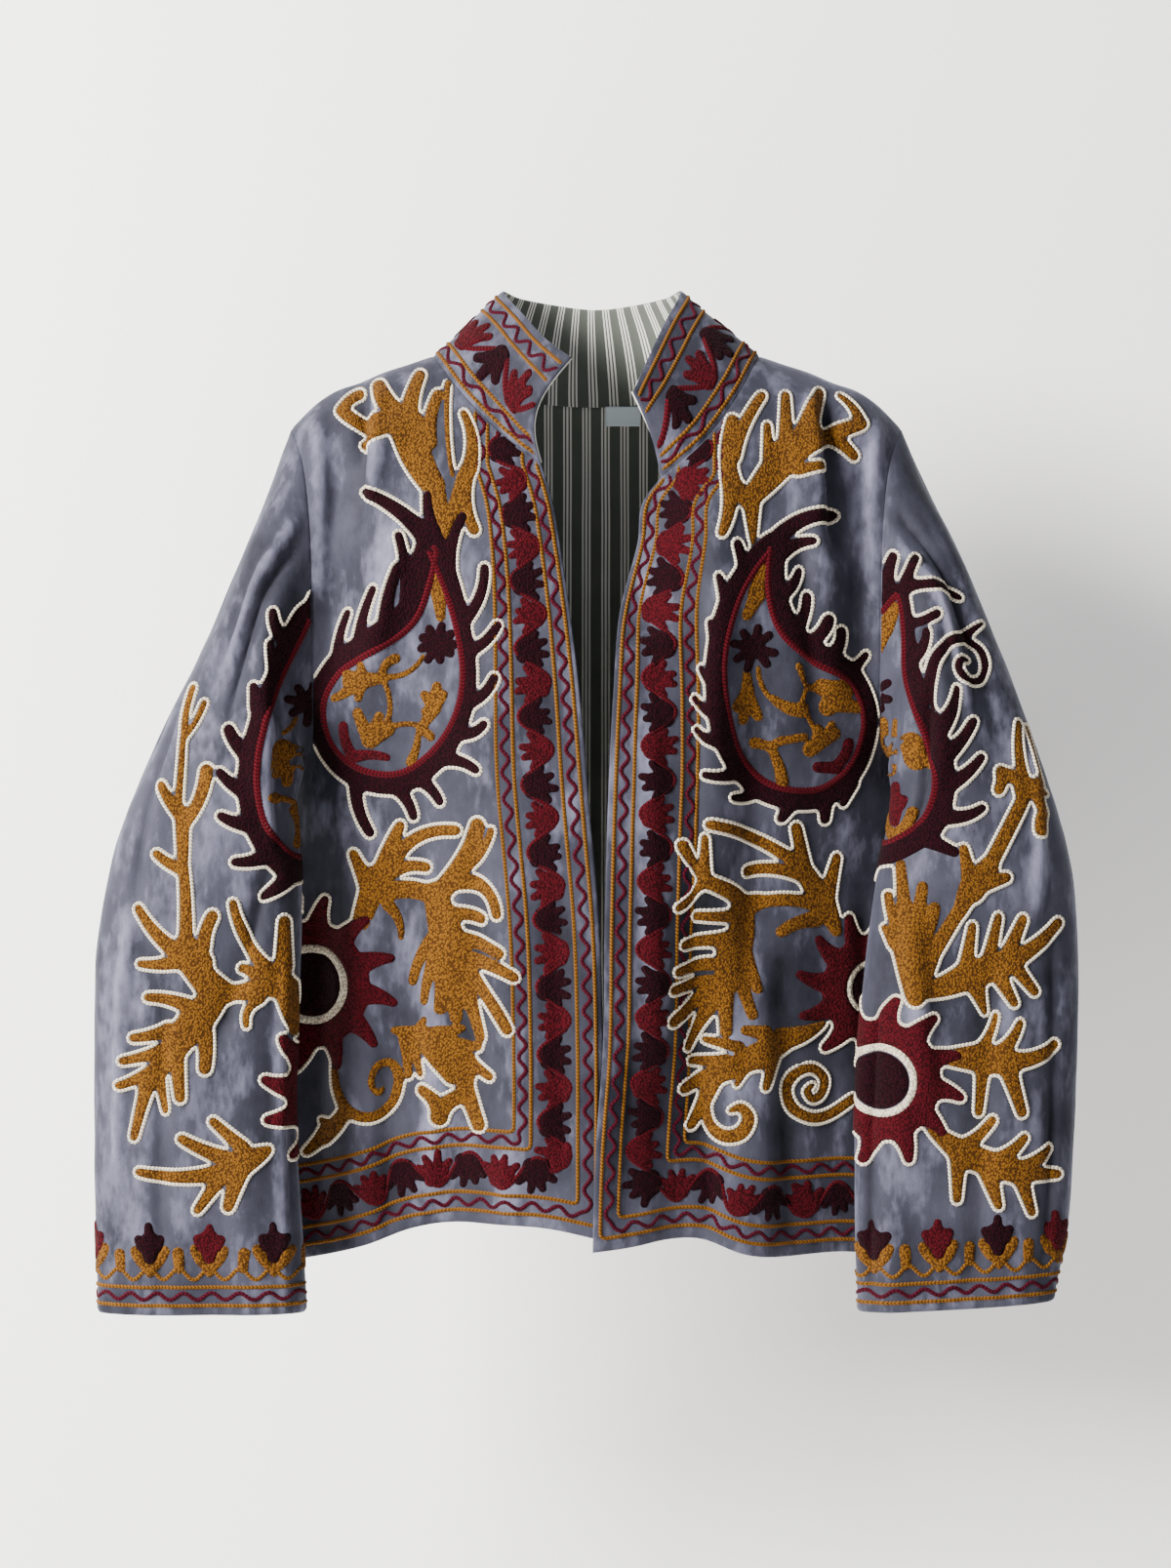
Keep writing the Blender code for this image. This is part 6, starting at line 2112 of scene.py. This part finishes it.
class Pattern:
    """The stitched pattern of one chart: fillings, outlines and lines, by colour."""

    def __init__(self, name: str, chart: Chart, seed: int) -> None:
        """Starts an empty pattern; the seed is that of its hand-made unevenness."""
        self.name = name
        self.chart = chart
        self.random = np.random.default_rng(seed)
        self.fields = {thread: Field(chart) for thread in Thread if thread is not Thread.MAROON}
        self.outlined = Field(chart)
        self.ropes = {thread: Ropes(chart) for thread in Thread}

    def stroke(self, thread: Thread, points, radii, outlined: bool) -> None:
        """Adds a stroke to a colour's filling, and to the outlined shape."""
        self.fields[thread].add(points, radii)
        if outlined:
            self.outlined.add(points, radii)

    def limbs(self, thread: Thread, rows, spot: Spot, outlined: bool = True) -> None:
        """Adds a motif's limbs, each tip a little moved as in hand work."""
        for row in rows:
            dx, dz = self.random.normal(0.0, TIP_SHIFT, 2)
            points, radii = limb_path(row._replace(x1=row.x1 + dx, z1=row.z1 + dz))
            self.stroke(thread, spot.put(points), radii * 0.001 * spot.scale, outlined)

    def knots(self, thread: Thread, rows, spot: Spot, closed: bool = False, outlined: bool = True) -> None:
        """Adds a curved stroke."""
        points, radii = stroke_path(rows, closed)
        self.stroke(thread, spot.put(points), radii * 0.001 * spot.scale, outlined)

    def paisley(self, spot: Spot, parts: Paisley) -> None:
        """A flame-edged paisley with a red inner line and sprouts inside."""
        self.knots(Thread.PLUM, parts.ring, spot, closed=True)
        self.limbs(Thread.PLUM, parts.flames, spot)
        points, radii = stroke_path(parts.ring, True)
        x, z = points[:-1].T
        turning = np.sign((x * np.roll(z, -1) - np.roll(x, -1) * z).sum())
        inner = points + line_normals(points) * (turning * (radii + 0.3))[:, None]
        inner = even_line(inner[:-1], 2.0, smooth=4, closed=True)
        self.ropes[Thread.RED].add(spot.put(inner), width=0.0048, lift=0.0004, closed=True)
        self.limbs(Thread.MUSTARD, parts.sprouts, spot, outlined=False)
        self.limbs(Thread.RED, parts.berries, spot, outlined=False)
        x, z = parts.star_x, parts.star_z
        star = [
            Limb(x, z, x + parts.reach * math.sin(a), z + parts.reach * math.cos(a), 0.0, 2.2, 2.9)
            for a in np.linspace(0.2, 0.2 + 2 * math.pi, parts.petals, endpoint=False)
        ]
        self.limbs(Thread.PLUM, star, spot, outlined=False)

    def sun(self, spot: Spot, sun: Sun) -> None:
        """A round flower: a disc, a ring, and a body with rays."""
        angle = np.linspace(0.0, 2 * math.pi, 49)
        circle = np.stack([np.sin(angle), np.cos(angle)], axis=-1)
        full = np.full(49, 1.0)
        middle = (sun.body + sun.ring + sun.ring_half) / 2
        half = (sun.body - sun.ring - sun.ring_half) / 2 + 0.8
        unit = 0.001 * spot.scale
        self.stroke(Thread.RED, spot.put(circle * middle), full * half * unit, True)
        rays = []
        for a in np.linspace(0.13, 0.13 + 2 * math.pi, sun.rays, endpoint=False):
            root = np.array([math.sin(a), math.cos(a)]) * sun.body * 0.9
            tip = np.array([math.sin(a + 0.06), math.cos(a + 0.06)]) * sun.reach
            rays.append(Limb(*root, *tip, 0.06, sun.ray_root, sun.ray_tip))
        self.limbs(Thread.RED, rays, spot)
        self.stroke(Thread.CREAM, spot.put(circle * sun.ring), full * sun.ring_half * unit, False)
        core = spot.put(circle * sun.middle * 0.5)
        self.stroke(Thread.PLUM, core, full * (sun.middle * 0.5) * unit, False)

    def tulip(self, thread: Thread, spot: Spot) -> None:
        """A tulip head in its two sepals."""
        self.limbs(Thread.MUSTARD, TULIP_SEPALS, spot, outlined=False)
        self.limbs(thread, TULIP_HEAD, spot, outlined=False)

    def band(self, base: Callable[[float], np.ndarray], band: Band) -> None:
        """Three lines along a base line: mustard, maroon wave and mustard.

        Args:
            base: Function of a distance that gives the line at that distance.
            band: The band's sizes.
        """
        first, middle, last = band.distances
        self.ropes[Thread.MUSTARD].add(base(first), width=0.0025, height=0.0010)
        self.ropes[Thread.MUSTARD].add(base(last), width=0.0025, height=0.0010)
        line = even_line(base(middle), 0.0010)
        run = run_along(line)
        phase = 2 * math.pi * run / band.pitch + 0.6 * np.sin(run / 0.037) + band.phase
        line = line + line_normals(line) * (band.wave * np.sin(phase))[:, None]
        self.ropes[Thread.MAROON].add(line, width=0.0027, height=0.0010)

    def garland(self, line: np.ndarray, garland: Garland) -> None:
        """A red vine that snakes along a line, with plum flowers on its left and red ones on its right.

        Args:
            line: Flat points of the garland's middle.
            garland: Its sizes and flower.
        """
        half, period, start = garland.half, garland.period, garland.start
        line = even_line(line, 0.0015, smooth=6)
        run = run_along(line)
        left = line_normals(line)
        swing = np.cos(2 * math.pi * (run - start) / period)
        vine = line + left * (half * swing)[:, None]
        self.ropes[Thread.RED].add(vine, width=garland.width, height=0.0011)
        for number, at in enumerate(np.arange(start, run[-1], period / 2)):
            i = int(np.searchsorted(run, at).clip(0, len(run) - 1))
            sign = 1.0 if number % 2 == 0 else -1.0
            out = left[i] * -sign * np.sign(half)
            turn = math.degrees(math.atan2(-out[0], out[1]))
            middle = line[i] - out * (abs(half) * 0.27)
            shift = self.random.normal(0.0, 3.0)
            thread = Thread.RED if sign > 0 else Thread.PLUM
            grow = garland.size * self.random.uniform(0.93, 1.06)
            self.limbs(thread, garland.flower, Spot(*middle, turn + shift, grow), outlined=False)

    def build(self, finishes: dict) -> None:
        """Makes the pieces of every colour."""
        for field in [*self.fields.values(), self.outlined]:
            field.soften()
        plum, red, mustard, cream = (
            self.fields[t].away for t in (Thread.PLUM, Thread.RED, Thread.MUSTARD, Thread.CREAM)
        )
        red[:] = np.maximum(red, -np.minimum(plum, cream))
        plum[:] = np.maximum(plum, -cream)
        mustard[:] = np.maximum(mustard, -np.minimum(np.minimum(plum, red), cream))
        border = self.outlined.away
        border[[0, -1]] = FIELD_FAR
        border[:, [0, -1]] = FIELD_FAR
        points, _, _, steps = self.outlined.cut(OUTLINE_GAP)
        for loop in outline_loops(points, steps):
            self.ropes[Thread.CREAM].add(loop, closed=True, lift=0.0001)
        lattice = self.outlined.lattice()
        depth = self.chart.depth(lattice.reshape(-1, 2)).reshape(plum.shape)
        for thread, field in self.fields.items():
            field.away = np.maximum(field.away, FILL_MARGIN - depth)
            if (field.away < 0).any():
                self.fill(field, f"{self.name}_{thread.value}", finishes["fill"][thread])
        for thread, ropes in self.ropes.items():
            ropes.build(f"{self.name}_{thread.value}_lines", finishes["rope"][thread])

    def fill(self, field: Field, name: str, finish: bpy.types.Material) -> None:
        """Makes one colour's filling: it stands up inside its outline and is rounded at its edge."""
        points, faces, away, _ = field.cut()
        places, normals, miss = self.chart.place(points)
        inward = 1 - np.clip(-away / FILL_ROUNDING, 0.0, 1.0)
        rise = ON_VELVET + FILL_HEIGHT * np.sqrt(1 - inward**2)
        faces = faces[(miss[faces] < FILL_MISS).all(axis=1)]
        a, b, c = (places[faces[:, i]] for i in range(3))
        if (np.cross(b - a, c - a) * normals[faces[:, 0]]).sum() < 0:
            faces = faces[:, ::-1]
        mesh_object(name, places + normals * rise[:, None], faces, points[faces.ravel()], [finish])


class Embroidery:
    """Places the motifs on every panel."""

    def __init__(self, effects: Effects, panels: dict) -> None:
        """Makes the wools' materials; panels gives each panel by its name."""
        self.finishes = {
            "fill": {thread: stitched_material(effects, thread) for thread in Thread},
            "rope": {thread: rope_material(thread) for thread in Thread},
        }
        self.panels = panels

    def build(self) -> None:
        """Makes the pattern of every panel."""
        for side in SIDES:
            self.front(side)
        for side in SIDES:
            self.sleeve(side)
        self.back()
        self.collar()

    @staticmethod
    def front_line(side: str) -> Callable[[float], np.ndarray]:
        """Gives a function for the line at a distance inside the front edge and then the hem."""
        sign = SIDES[side]

        def at(distance: float) -> np.ndarray:
            """The line at one distance, from the neck down and out along the hem."""
            z = np.linspace(-0.020, -0.640, 420)
            rows = FRONT_EDGE[side]
            edge = through(rows, np.clip(z, rows[0].z, rows[-1].z))[0]
            narrow = 1.0 - BORDER_NARROWING * smooth_step((z - BORDER_TURN_Z) / BORDER_TURN_HEIGHT)
            down = np.stack([edge + sign * distance * narrow, z], axis=-1)
            hem = through(FRONT_HEM[side], down[:, 0])[0] + distance + HEM_MARGIN
            down = down[down[:, 1] > hem]
            x = np.linspace(down[-1, 0], sign * 0.25, 200)
            along = np.stack([x, through(FRONT_HEM[side], x)[0] + distance + HEM_MARGIN], axis=-1)
            return even_line(np.concatenate([down, along[1:]]), 0.0012, smooth=4)

        return at

    def front(self, side: str) -> None:
        """Border, garland and large motifs of one front."""
        panel = self.panels[f"front_{side}"]
        chart = Chart(panel.points, panel.normals, panel.chart)
        pattern = Pattern(f"front_{side}_stitch", chart, 21 if side == "right" else 22)
        line = self.front_line(side)
        pattern.band(line, Band((0.0045, 0.0100, 0.0165)))
        pattern.band(line, Band((0.0475, 0.0530, 0.0585), 1.0))
        pattern.garland(line(0.0320), Garland(-0.0108 * SIDES[side], 0.0445, 0.016))
        if side == "right":
            pattern.limbs(Thread.MUSTARD, SHOULDER_LEAF, Spot(-0.0955, -0.163))
            pattern.paisley(Spot(-0.1372, -0.2624), PAISLEYS["front_right"])
            pattern.limbs(Thread.MUSTARD, HAND_BRANCH, Spot(-0.150, -0.401))
            pattern.sun(Spot(-0.192, -0.458), Sun())
            pattern.limbs(Thread.MUSTARD, OAK_LEAF, Spot(-0.132, -0.488))
            pattern.knots(Thread.MUSTARD, CURL, Spot(-0.169, -0.539))
            pattern.limbs(Thread.MUSTARD, CURL_LEAF, Spot(-0.169, -0.539))
        else:
            pattern.limbs(Thread.MUSTARD, LEFT_SHOULDER_LEAF, Spot(0.102, -0.164))
            pattern.paisley(Spot(0.1373, -0.2752), PAISLEYS["front_left"])
            pattern.limbs(Thread.MUSTARD, LEFT_HAND_BRANCH, Spot(0.149, -0.4085))
            pattern.sun(Spot(0.1864, -0.4605), Sun(14.5, 17.0, 2.0, 35.0, 51.0, 12, 8.0, 3.0))
            pattern.limbs(Thread.MUSTARD, LEFT_OAK_LEAF, Spot(0.118, -0.4985))
            pattern.knots(Thread.MUSTARD, LEFT_HOOK, Spot(0.118, -0.4985))
            pattern.knots(Thread.MUSTARD, LEFT_SPIRAL, Spot(0.140, -0.528))
        pattern.build(self.finishes)

    def sleeve(self, side: str) -> None:
        """Branch, paisley, sun, tulips and cuff lines on the front of a sleeve, and the same but the paisley
        behind.
        """
        panel = self.panels[f"sleeve_{side}"]
        count = len(panel.turn)
        half = int(np.argmin(np.abs(panel.turn - 1.0)))
        for face in ("front", "back"):
            front = (FRONT_START, half + FRONT_END)
            pick = np.arange(*(front if face == "front" else (half + BACK_START, count + BACK_END)))
            flat = self.face_chart(panel, pick, face)
            chart = Chart(panel.points[:, pick % count], panel.normals[:, pick % count], flat)
            seed = 31 + 2 * (face == "back") + (side == "left")
            pattern = Pattern(f"sleeve_{side}_{face}_stitch", chart, seed)
            if side == "right":
                self.right_sleeve(pattern, face)
            else:
                self.left_sleeve(pattern, face)
            self.cuff(pattern, flat)
            pattern.build(self.finishes)

    @staticmethod
    def right_sleeve(pattern: Pattern, face: str) -> None:
        """Large motifs of the right sleeve."""
        pattern.limbs(Thread.MUSTARD, TALL_BRANCH, Spot(-0.252, -0.455))
        if face == "front":
            pattern.paisley(Spot(-0.1902, -0.308), PAISLEYS["sleeve_right"])
        pattern.sun(Spot(-0.1635, -0.526), Sun(17.5, 20.5, 2.4, 38.0, 53.0, 12, 8.0, 3.0))
        pattern.limbs(Thread.MUSTARD, CUFF_LEAF, Spot(-0.215, -0.562))

    @staticmethod
    def left_sleeve(pattern: Pattern, face: str) -> None:
        """Large motifs of the left sleeve."""
        if face == "front":
            spot = Spot(0.1936, -0.2921)
            pattern.paisley(spot, PAISLEYS["sleeve_left"])
            pattern.knots(Thread.PLUM, LEFT_SLEEVE_TENDRIL, spot)
            pattern.knots(Thread.PLUM, LEFT_SLEEVE_CURL, spot)
        pattern.limbs(Thread.MUSTARD, LEFT_BRANCH, Spot(0.2827, -0.3264))
        pattern.limbs(Thread.MUSTARD, FAN_LEAF, Spot(0.2043, -0.4641))
        pattern.limbs(Thread.MUSTARD, WIDE_LEAF, Spot(0.2156, -0.4566))
        pattern.limbs(Thread.MUSTARD, MIDDLE_LEAF, Spot(0.2193, -0.5008))
        pattern.limbs(Thread.MUSTARD, LOW_LEAF, Spot(0.2156, -0.5468))
        pattern.sun(Spot(0.1837, -0.5167), Sun(18.5, 21.5, 2.4, 38.0, 53.0, 12, 8.0, 3.0))

    @staticmethod
    def face_chart(panel: SleevePanel, pick: np.ndarray, face: str) -> np.ndarray:
        """Flat places of one side of a sleeve, seen from that side and opened out where it turns away.

        Each step along a ring keeps its x and z, but advances by a least share of its own length.
        It keeps less of its sideways part where little of it is seen.

        Args:
            panel: The sleeve.
            pick: Numbers of its columns on this side.
            face: "front" or "back".

        Returns:
            np.ndarray: Rows by columns by 2.
        """
        count = len(panel.turn)
        points = panel.points[:, pick % count]
        middle_turn = 0.5 if face == "front" else 1.5
        middle = int(np.argmin(np.abs(panel.turn - middle_turn))) - pick[0]
        inner = int(np.argmin(np.abs(panel.turn - 1.0)))
        way = unit(panel.points[:, inner, [0, 2]] - panel.points[:, 0, [0, 2]])
        way = way * (1.0 if face == "front" else -1.0)
        upper = int(UPPER_RINGS * len(way))
        way[:upper] = way[upper]
        way = way[:, None]
        across = np.stack([-way[..., 1], way[..., 0]], axis=-1)
        steps = np.diff(points, axis=1)
        length = np.linalg.norm(steps, axis=-1)
        flat_steps = steps[..., [0, 2]]
        ahead, aside = (flat_steps * way).sum(axis=-1), (flat_steps * across).sum(axis=-1)
        outer = (np.arange(steps.shape[1]) < middle) == (face == "front")
        least = np.where(outer, OUTER_LEAST, INNER_LEAST) * length
        aside = aside * smooth_step((np.hypot(ahead, aside) / length - 0.2) / 0.6)
        over = ahead - least
        ahead = least + 0.5 * (over + np.sqrt(over**2 + (LEAST_SOFTNESS * length) ** 2))
        moves = ahead[..., None] * way + aside[..., None] * across
        run = np.concatenate([np.zeros((len(moves), 1, 2)), np.cumsum(moves, axis=1)], axis=1)
        return points[:, middle, [0, 2]][:, None] + run - run[:, middle : middle + 1]

    @staticmethod
    def cuff(pattern: Pattern, flat: np.ndarray) -> None:
        """Tulips, ovals, a scalloped line and three lines round the cuff."""
        edge = even_line(flat[-1], 0.002)
        up = line_normals(edge)
        up = up * np.sign(up[:, 1:].mean())

        def line(distance: float) -> np.ndarray:
            """The line at a distance above the cuff's edge."""
            return edge + up * distance

        pattern.band(line, Band((0.0065, 0.0125, 0.0185), wave=0.0024, pitch=0.0180))
        run = run_along(edge)
        height = SCALLOP_HEIGHT - SCALLOP_SWING * np.cos(2 * math.pi * run / SCALLOP_LENGTH)
        scallop = edge + up * height[:, None]
        pattern.ropes[Thread.MUSTARD].add(scallop, width=0.0026, height=0.0010)
        for number, at in enumerate(np.arange(CUFF_START, run[-1], SCALLOP_LENGTH)):
            i = int(np.searchsorted(run, at).clip(0, len(run) - 1))
            turn = math.degrees(math.atan2(-up[i, 0], up[i, 1]))
            if number % 2 == 0:
                thread = Thread.RED if number % 4 == 0 else Thread.PLUM
                pattern.tulip(thread, Spot(*(edge[i] + up[i] * TULIP_HEIGHT), turn, TULIP_SCALE))
            else:
                spot = Spot(*(edge[i] + up[i] * OVAL_HEIGHT), turn)
                pattern.limbs(Thread.MUSTARD, CUFF_OVAL, spot, outlined=False)

    def back(self) -> None:
        """Hem border, garland and mirrored large motifs on the back."""
        panel = self.panels["back"]
        chart = Chart(panel.points, panel.normals, panel.chart)
        pattern = Pattern("back_stitch", chart, 41)
        low = even_line(panel.chart[0], 0.002, smooth=3)

        def line(distance: float) -> np.ndarray:
            """The line at a distance above the hem."""
            return low + (0.0, distance)

        pattern.band(line, Band((0.0060, 0.0115, 0.0175)))
        pattern.band(line, Band((0.0480, 0.0535, 0.0600), 1.0))
        pattern.garland(line(0.0340), Garland(-0.0108, 0.0445, 0.012))
        for mirror, side in ((False, 1.0), (True, -1.0)):
            pattern.limbs(Thread.MUSTARD, SHOULDER_LEAF, Spot(-0.075 * side, -0.178, mirror=mirror))
            pattern.paisley(Spot(-0.112 * side, -0.278, mirror=mirror), PAISLEYS["front_right"])
            pattern.limbs(Thread.MUSTARD, HAND_BRANCH, Spot(-0.138 * side, -0.425, 0.0, 0.92, mirror))
            pattern.sun(Spot(-0.182 * side, -0.478, mirror=mirror), Sun())
            pattern.limbs(Thread.MUSTARD, OAK_LEAF, Spot(-0.122 * side, -0.502, 0.0, 0.85, mirror))
        pattern.sun(Spot(0.0, -0.150, 8.0, 0.85), Sun())
        pattern.build(self.finishes)

    def collar(self) -> None:
        """Lines beside both edges of the collar and a garland between them."""
        panel = self.panels["collar"]
        chart = Chart(panel.points, panel.normals, panel.chart)
        pattern = Pattern("collar_stitch", chart, 51)
        flat = panel.chart
        u = np.linspace(flat[..., 0].min(), flat[..., 0].max(), 400)
        top = float(flat[..., 1].max())

        def line(height: float) -> np.ndarray:
            """The line at a height above the neck seam."""
            return np.stack([u, np.full_like(u, height)], axis=-1)

        upper = (top - 0.0190, top - 0.0125, top - 0.0060)
        pattern.band(line, Band((0.0040, 0.0090, 0.0140), wave=0.0028, pitch=0.0200))
        pattern.band(line, Band(upper, 1.0, wave=0.0034, pitch=0.0200))
        pattern.garland(line(0.0300), Garland(-0.0100, 0.0580, 0.020, COLLAR_FLOWER, 1.05, 0.0042))
        pattern.build(self.finishes)


@dataclass(frozen=True)
class Light:
    """A square light: its place, its side in metres, its power in watts and its colour."""

    name: str
    at: tuple
    size: float
    watts: float
    colour: tuple
    towards: tuple = (0.0, -0.05, -0.35)


@dataclass(frozen=True)
class StudioSizes:
    """Wall, floor, lights and camera; lengths in metres, the lens in millimetres."""

    wall_y: float = 0.25
    floor_z: float = -1.60
    corner: float = 0.25
    half_width: float = 3.0
    height: float = 2.4
    depth: float = 3.6
    camera_at: tuple = (-0.00715, -2.46, -0.3235)
    lens: float = 82.7
    wall_colour: tuple = (0.95, 0.94, 0.93)
    world_colour: tuple = (0.93, 0.95, 1.0)
    world_strength: float = 0.43
    lights: tuple = (
        Light("window_light", (-1.9, -1.6, 0.55), 1.0, 330.0, (1.0, 0.98, 0.95)),
        Light("fill_light", (1.8, -2.0, 0.1), 2.0, 6.0, (0.93, 0.96, 1.0)),
    )


class Studio:
    """Plain pale backdrop, soft lights and the camera of the photograph."""

    def __init__(self, sizes: StudioSizes) -> None:
        """Keeps the sizes."""
        self.sizes = sizes

    def build(self) -> None:
        """Makes the backdrop, the lights and the camera."""
        self.backdrop()
        self.lights()
        self.camera()

    def backdrop(self) -> None:
        """A wall that turns into a floor with a round corner.

        It is clear from behind, so that views from there show the jacket's back.
        """
        s = self.sizes
        angle = np.linspace(0.0, math.pi / 2, 13)
        corner_y = s.wall_y - s.corner + s.corner * np.cos(angle)
        corner_z = s.floor_z + s.corner - s.corner * np.sin(angle)
        y = np.concatenate([[s.wall_y], corner_y, [s.wall_y - s.depth]])
        z = np.concatenate([[s.height], corner_z, [s.floor_z]])
        x = np.linspace(-s.half_width, s.half_width, 9)
        grid = np.stack(np.broadcast_arrays(x[None], y[:, None], z[:, None]), axis=-1)
        numbers = np.arange(grid.shape[0] * grid.shape[1]).reshape(grid.shape[:2])
        mesh = bpy.data.meshes.new("backdrop")
        mesh.from_pydata(grid.reshape(-1, 3).tolist(), [], grid_quads(numbers)[:, ::-1].tolist())
        mesh.shade_smooth()
        made, book, shader = new_material("plaster", 0.9)
        shader.inputs["Base Color"].default_value = rgba(s.wall_colour)
        behind = book.node("ShaderNodeNewGeometry").outputs["Backfacing"]
        clear = book.node("ShaderNodeBsdfTransparent").outputs[0]
        mixed = book.node("ShaderNodeMixShader", {0: behind, 1: shader.outputs[0], 2: clear})
        book.tree.links.new(mixed.outputs[0], book.tree.nodes["Material Output"].inputs["Surface"])
        mesh.materials.append(made)
        wall = bpy.data.objects.new("backdrop", mesh)
        bpy.context.scene.collection.objects.link(wall)

    @staticmethod
    def area(light: Light) -> None:
        """One soft square light, turned towards the jacket."""
        lamp = bpy.data.lights.new(light.name, "AREA")
        lamp.shape = "SQUARE"
        lamp.size, lamp.energy, lamp.color = light.size, light.watts, light.colour
        made = bpy.data.objects.new(light.name, lamp)
        made.location = light.at
        towards = Vector(light.towards) - Vector(light.at)
        made.rotation_euler = towards.to_track_quat("-Z", "Y").to_euler()
        bpy.context.scene.collection.objects.link(made)

    def lights(self) -> None:
        """A large window-like light from the left, a weak fill and an even pale world."""
        for light in self.sizes.lights:
            self.area(light)
        world = bpy.data.worlds.new("studio")
        world.use_nodes = True
        back = world.node_tree.nodes["Background"]
        back.inputs["Color"].default_value = rgba(self.sizes.world_colour)
        back.inputs["Strength"].default_value = self.sizes.world_strength
        bpy.context.scene.world = world

    def camera(self) -> None:
        """The camera, level, straight at the jacket."""
        s = self.sizes
        data = bpy.data.cameras.new("camera")
        data.lens, data.sensor_width, data.sensor_fit = s.lens, 36.0, "AUTO"
        data.clip_start, data.clip_end = 0.05, 20.0
        made = bpy.data.objects.new("camera", data)
        made.location = s.camera_at
        made.rotation_euler = (math.pi / 2, 0.0, 0.0)
        bpy.context.scene.collection.objects.link(made)
        bpy.context.scene.camera = made


@dataclass(frozen=True)
class Cut:
    """Flat size of a cut piece of cloth, in metres, and its area in square metres."""

    width: float
    length: float
    area: float


def flat_cut(panel: Panel) -> Cut:
    """Measures the cut of a panel's middle surface: its box laid flat and its area."""
    p = panel.points
    if panel.closed:
        p = np.concatenate([p, p[:, :1]], axis=1)
    a, b = p[1:, 1:] - p[:-1, :-1], p[1:, :-1] - p[:-1, 1:]
    area = float(np.linalg.norm(np.cross(a, b), axis=-1).sum() / 2)
    across = np.linalg.norm(np.diff(p, axis=1), axis=-1).sum(axis=1).max()
    along = np.linalg.norm(np.diff(p, axis=0), axis=-1).sum(axis=0).max()
    return Cut(float(across), float(along), area)


class Jacket:
    """The jacket's cloth: velvet walls, linings and the label."""

    def __init__(self, effects: Effects) -> None:
        """Makes the cloths' materials, and lays out and creases the panels."""
        self.velvet = velvet_material(effects, VelvetFinish())
        self.lining = lining_material(effects, LiningFinish())
        self.tape = label_material(effects, LabelFinish())
        fronts = [FrontPanel(side) for side in SIDES]
        sleeves = [SleevePanel(side) for side in SIDES]
        panels = [*fronts, BackPanel(), *sleeves, CollarPanel()]
        share_seams(panels)
        self.panels = {panel.name: panel for panel in panels}
        for panel in self.panels.values():
            panel.settle()

    def build(self) -> None:
        """Makes every cloth piece."""
        for name, panel in self.panels.items():
            inner = self.velvet if name in ("back", "collar") else self.lining
            piece = panel.wall(name + "_velvet", [self.velvet, inner])
            self.declare(piece, panel, name)
        for panel_name in ("back", "collar"):
            self.line(self.panels[panel_name], panel_name + "_lining")
        self.label()

    def declare(self, piece: bpy.types.Object, panel: Panel, node: str) -> None:
        """Hides the node that the piece replaces, and logs the piece's cut.

        Args:
            piece: The object.
            panel: The panel that it is cut from.
            node: The node that it replaces.
        """
        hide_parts(node)
        cut = flat_cut(panel)
        area = min(cut.area, cut.width * cut.length)
        log.info("%s: cut %.0f x %.0f mm, %.3f m2", piece.name, cut.width * 1000, cut.length * 1000, area)

    def line(self, panel: Panel, name: str) -> None:
        """Makes the lining sheet inside a panel."""
        shift = -(VELVET / 2 + LINING / 2 + LINING_GAP)
        piece = panel.wall(name + "_cotton", [self.lining], thickness=LINING, shift=shift, every=2)
        self.declare(piece, panel, name)

    def label(self) -> None:
        """Makes the small blank tape under the back neck seam, a closed wall that reaches a little past the
        label part at top and bottom.
        """
        edge = Vector((0, 0, LABEL_EDGE))
        low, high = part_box("label")[0] - edge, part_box("label")[1] + edge
        rows, columns = 9, 15
        x = np.linspace(low[0], high[0], columns)[None, :] + np.zeros((rows, 1))
        z = np.linspace(low[2], high[2], rows)[:, None] + np.zeros((1, columns))
        y = body_y("back", x, z) - VELVET / 2 - LINING - LABEL_GAP
        middle = np.stack([x, y - LABEL / 2, z], axis=-1)
        out = np.array([0.0, LABEL / 2, 0.0])
        faces = (middle + out, middle - out)
        piece = wall_object("label_tape", faces, middle[..., [0, 2]], False, [self.tape])
        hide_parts("label")


def main() -> None:
    """Builds the dressed jacket, its studio and its camera."""
    logging.basicConfig(level=logging.INFO, format="%(name)s: %(message)s")
    Studio(StudioSizes()).build()
    effects = Effects()
    jacket = Jacket(effects)
    jacket.build()
    Embroidery(effects, jacket.panels).build()


if __name__ == "__main__":
    main()
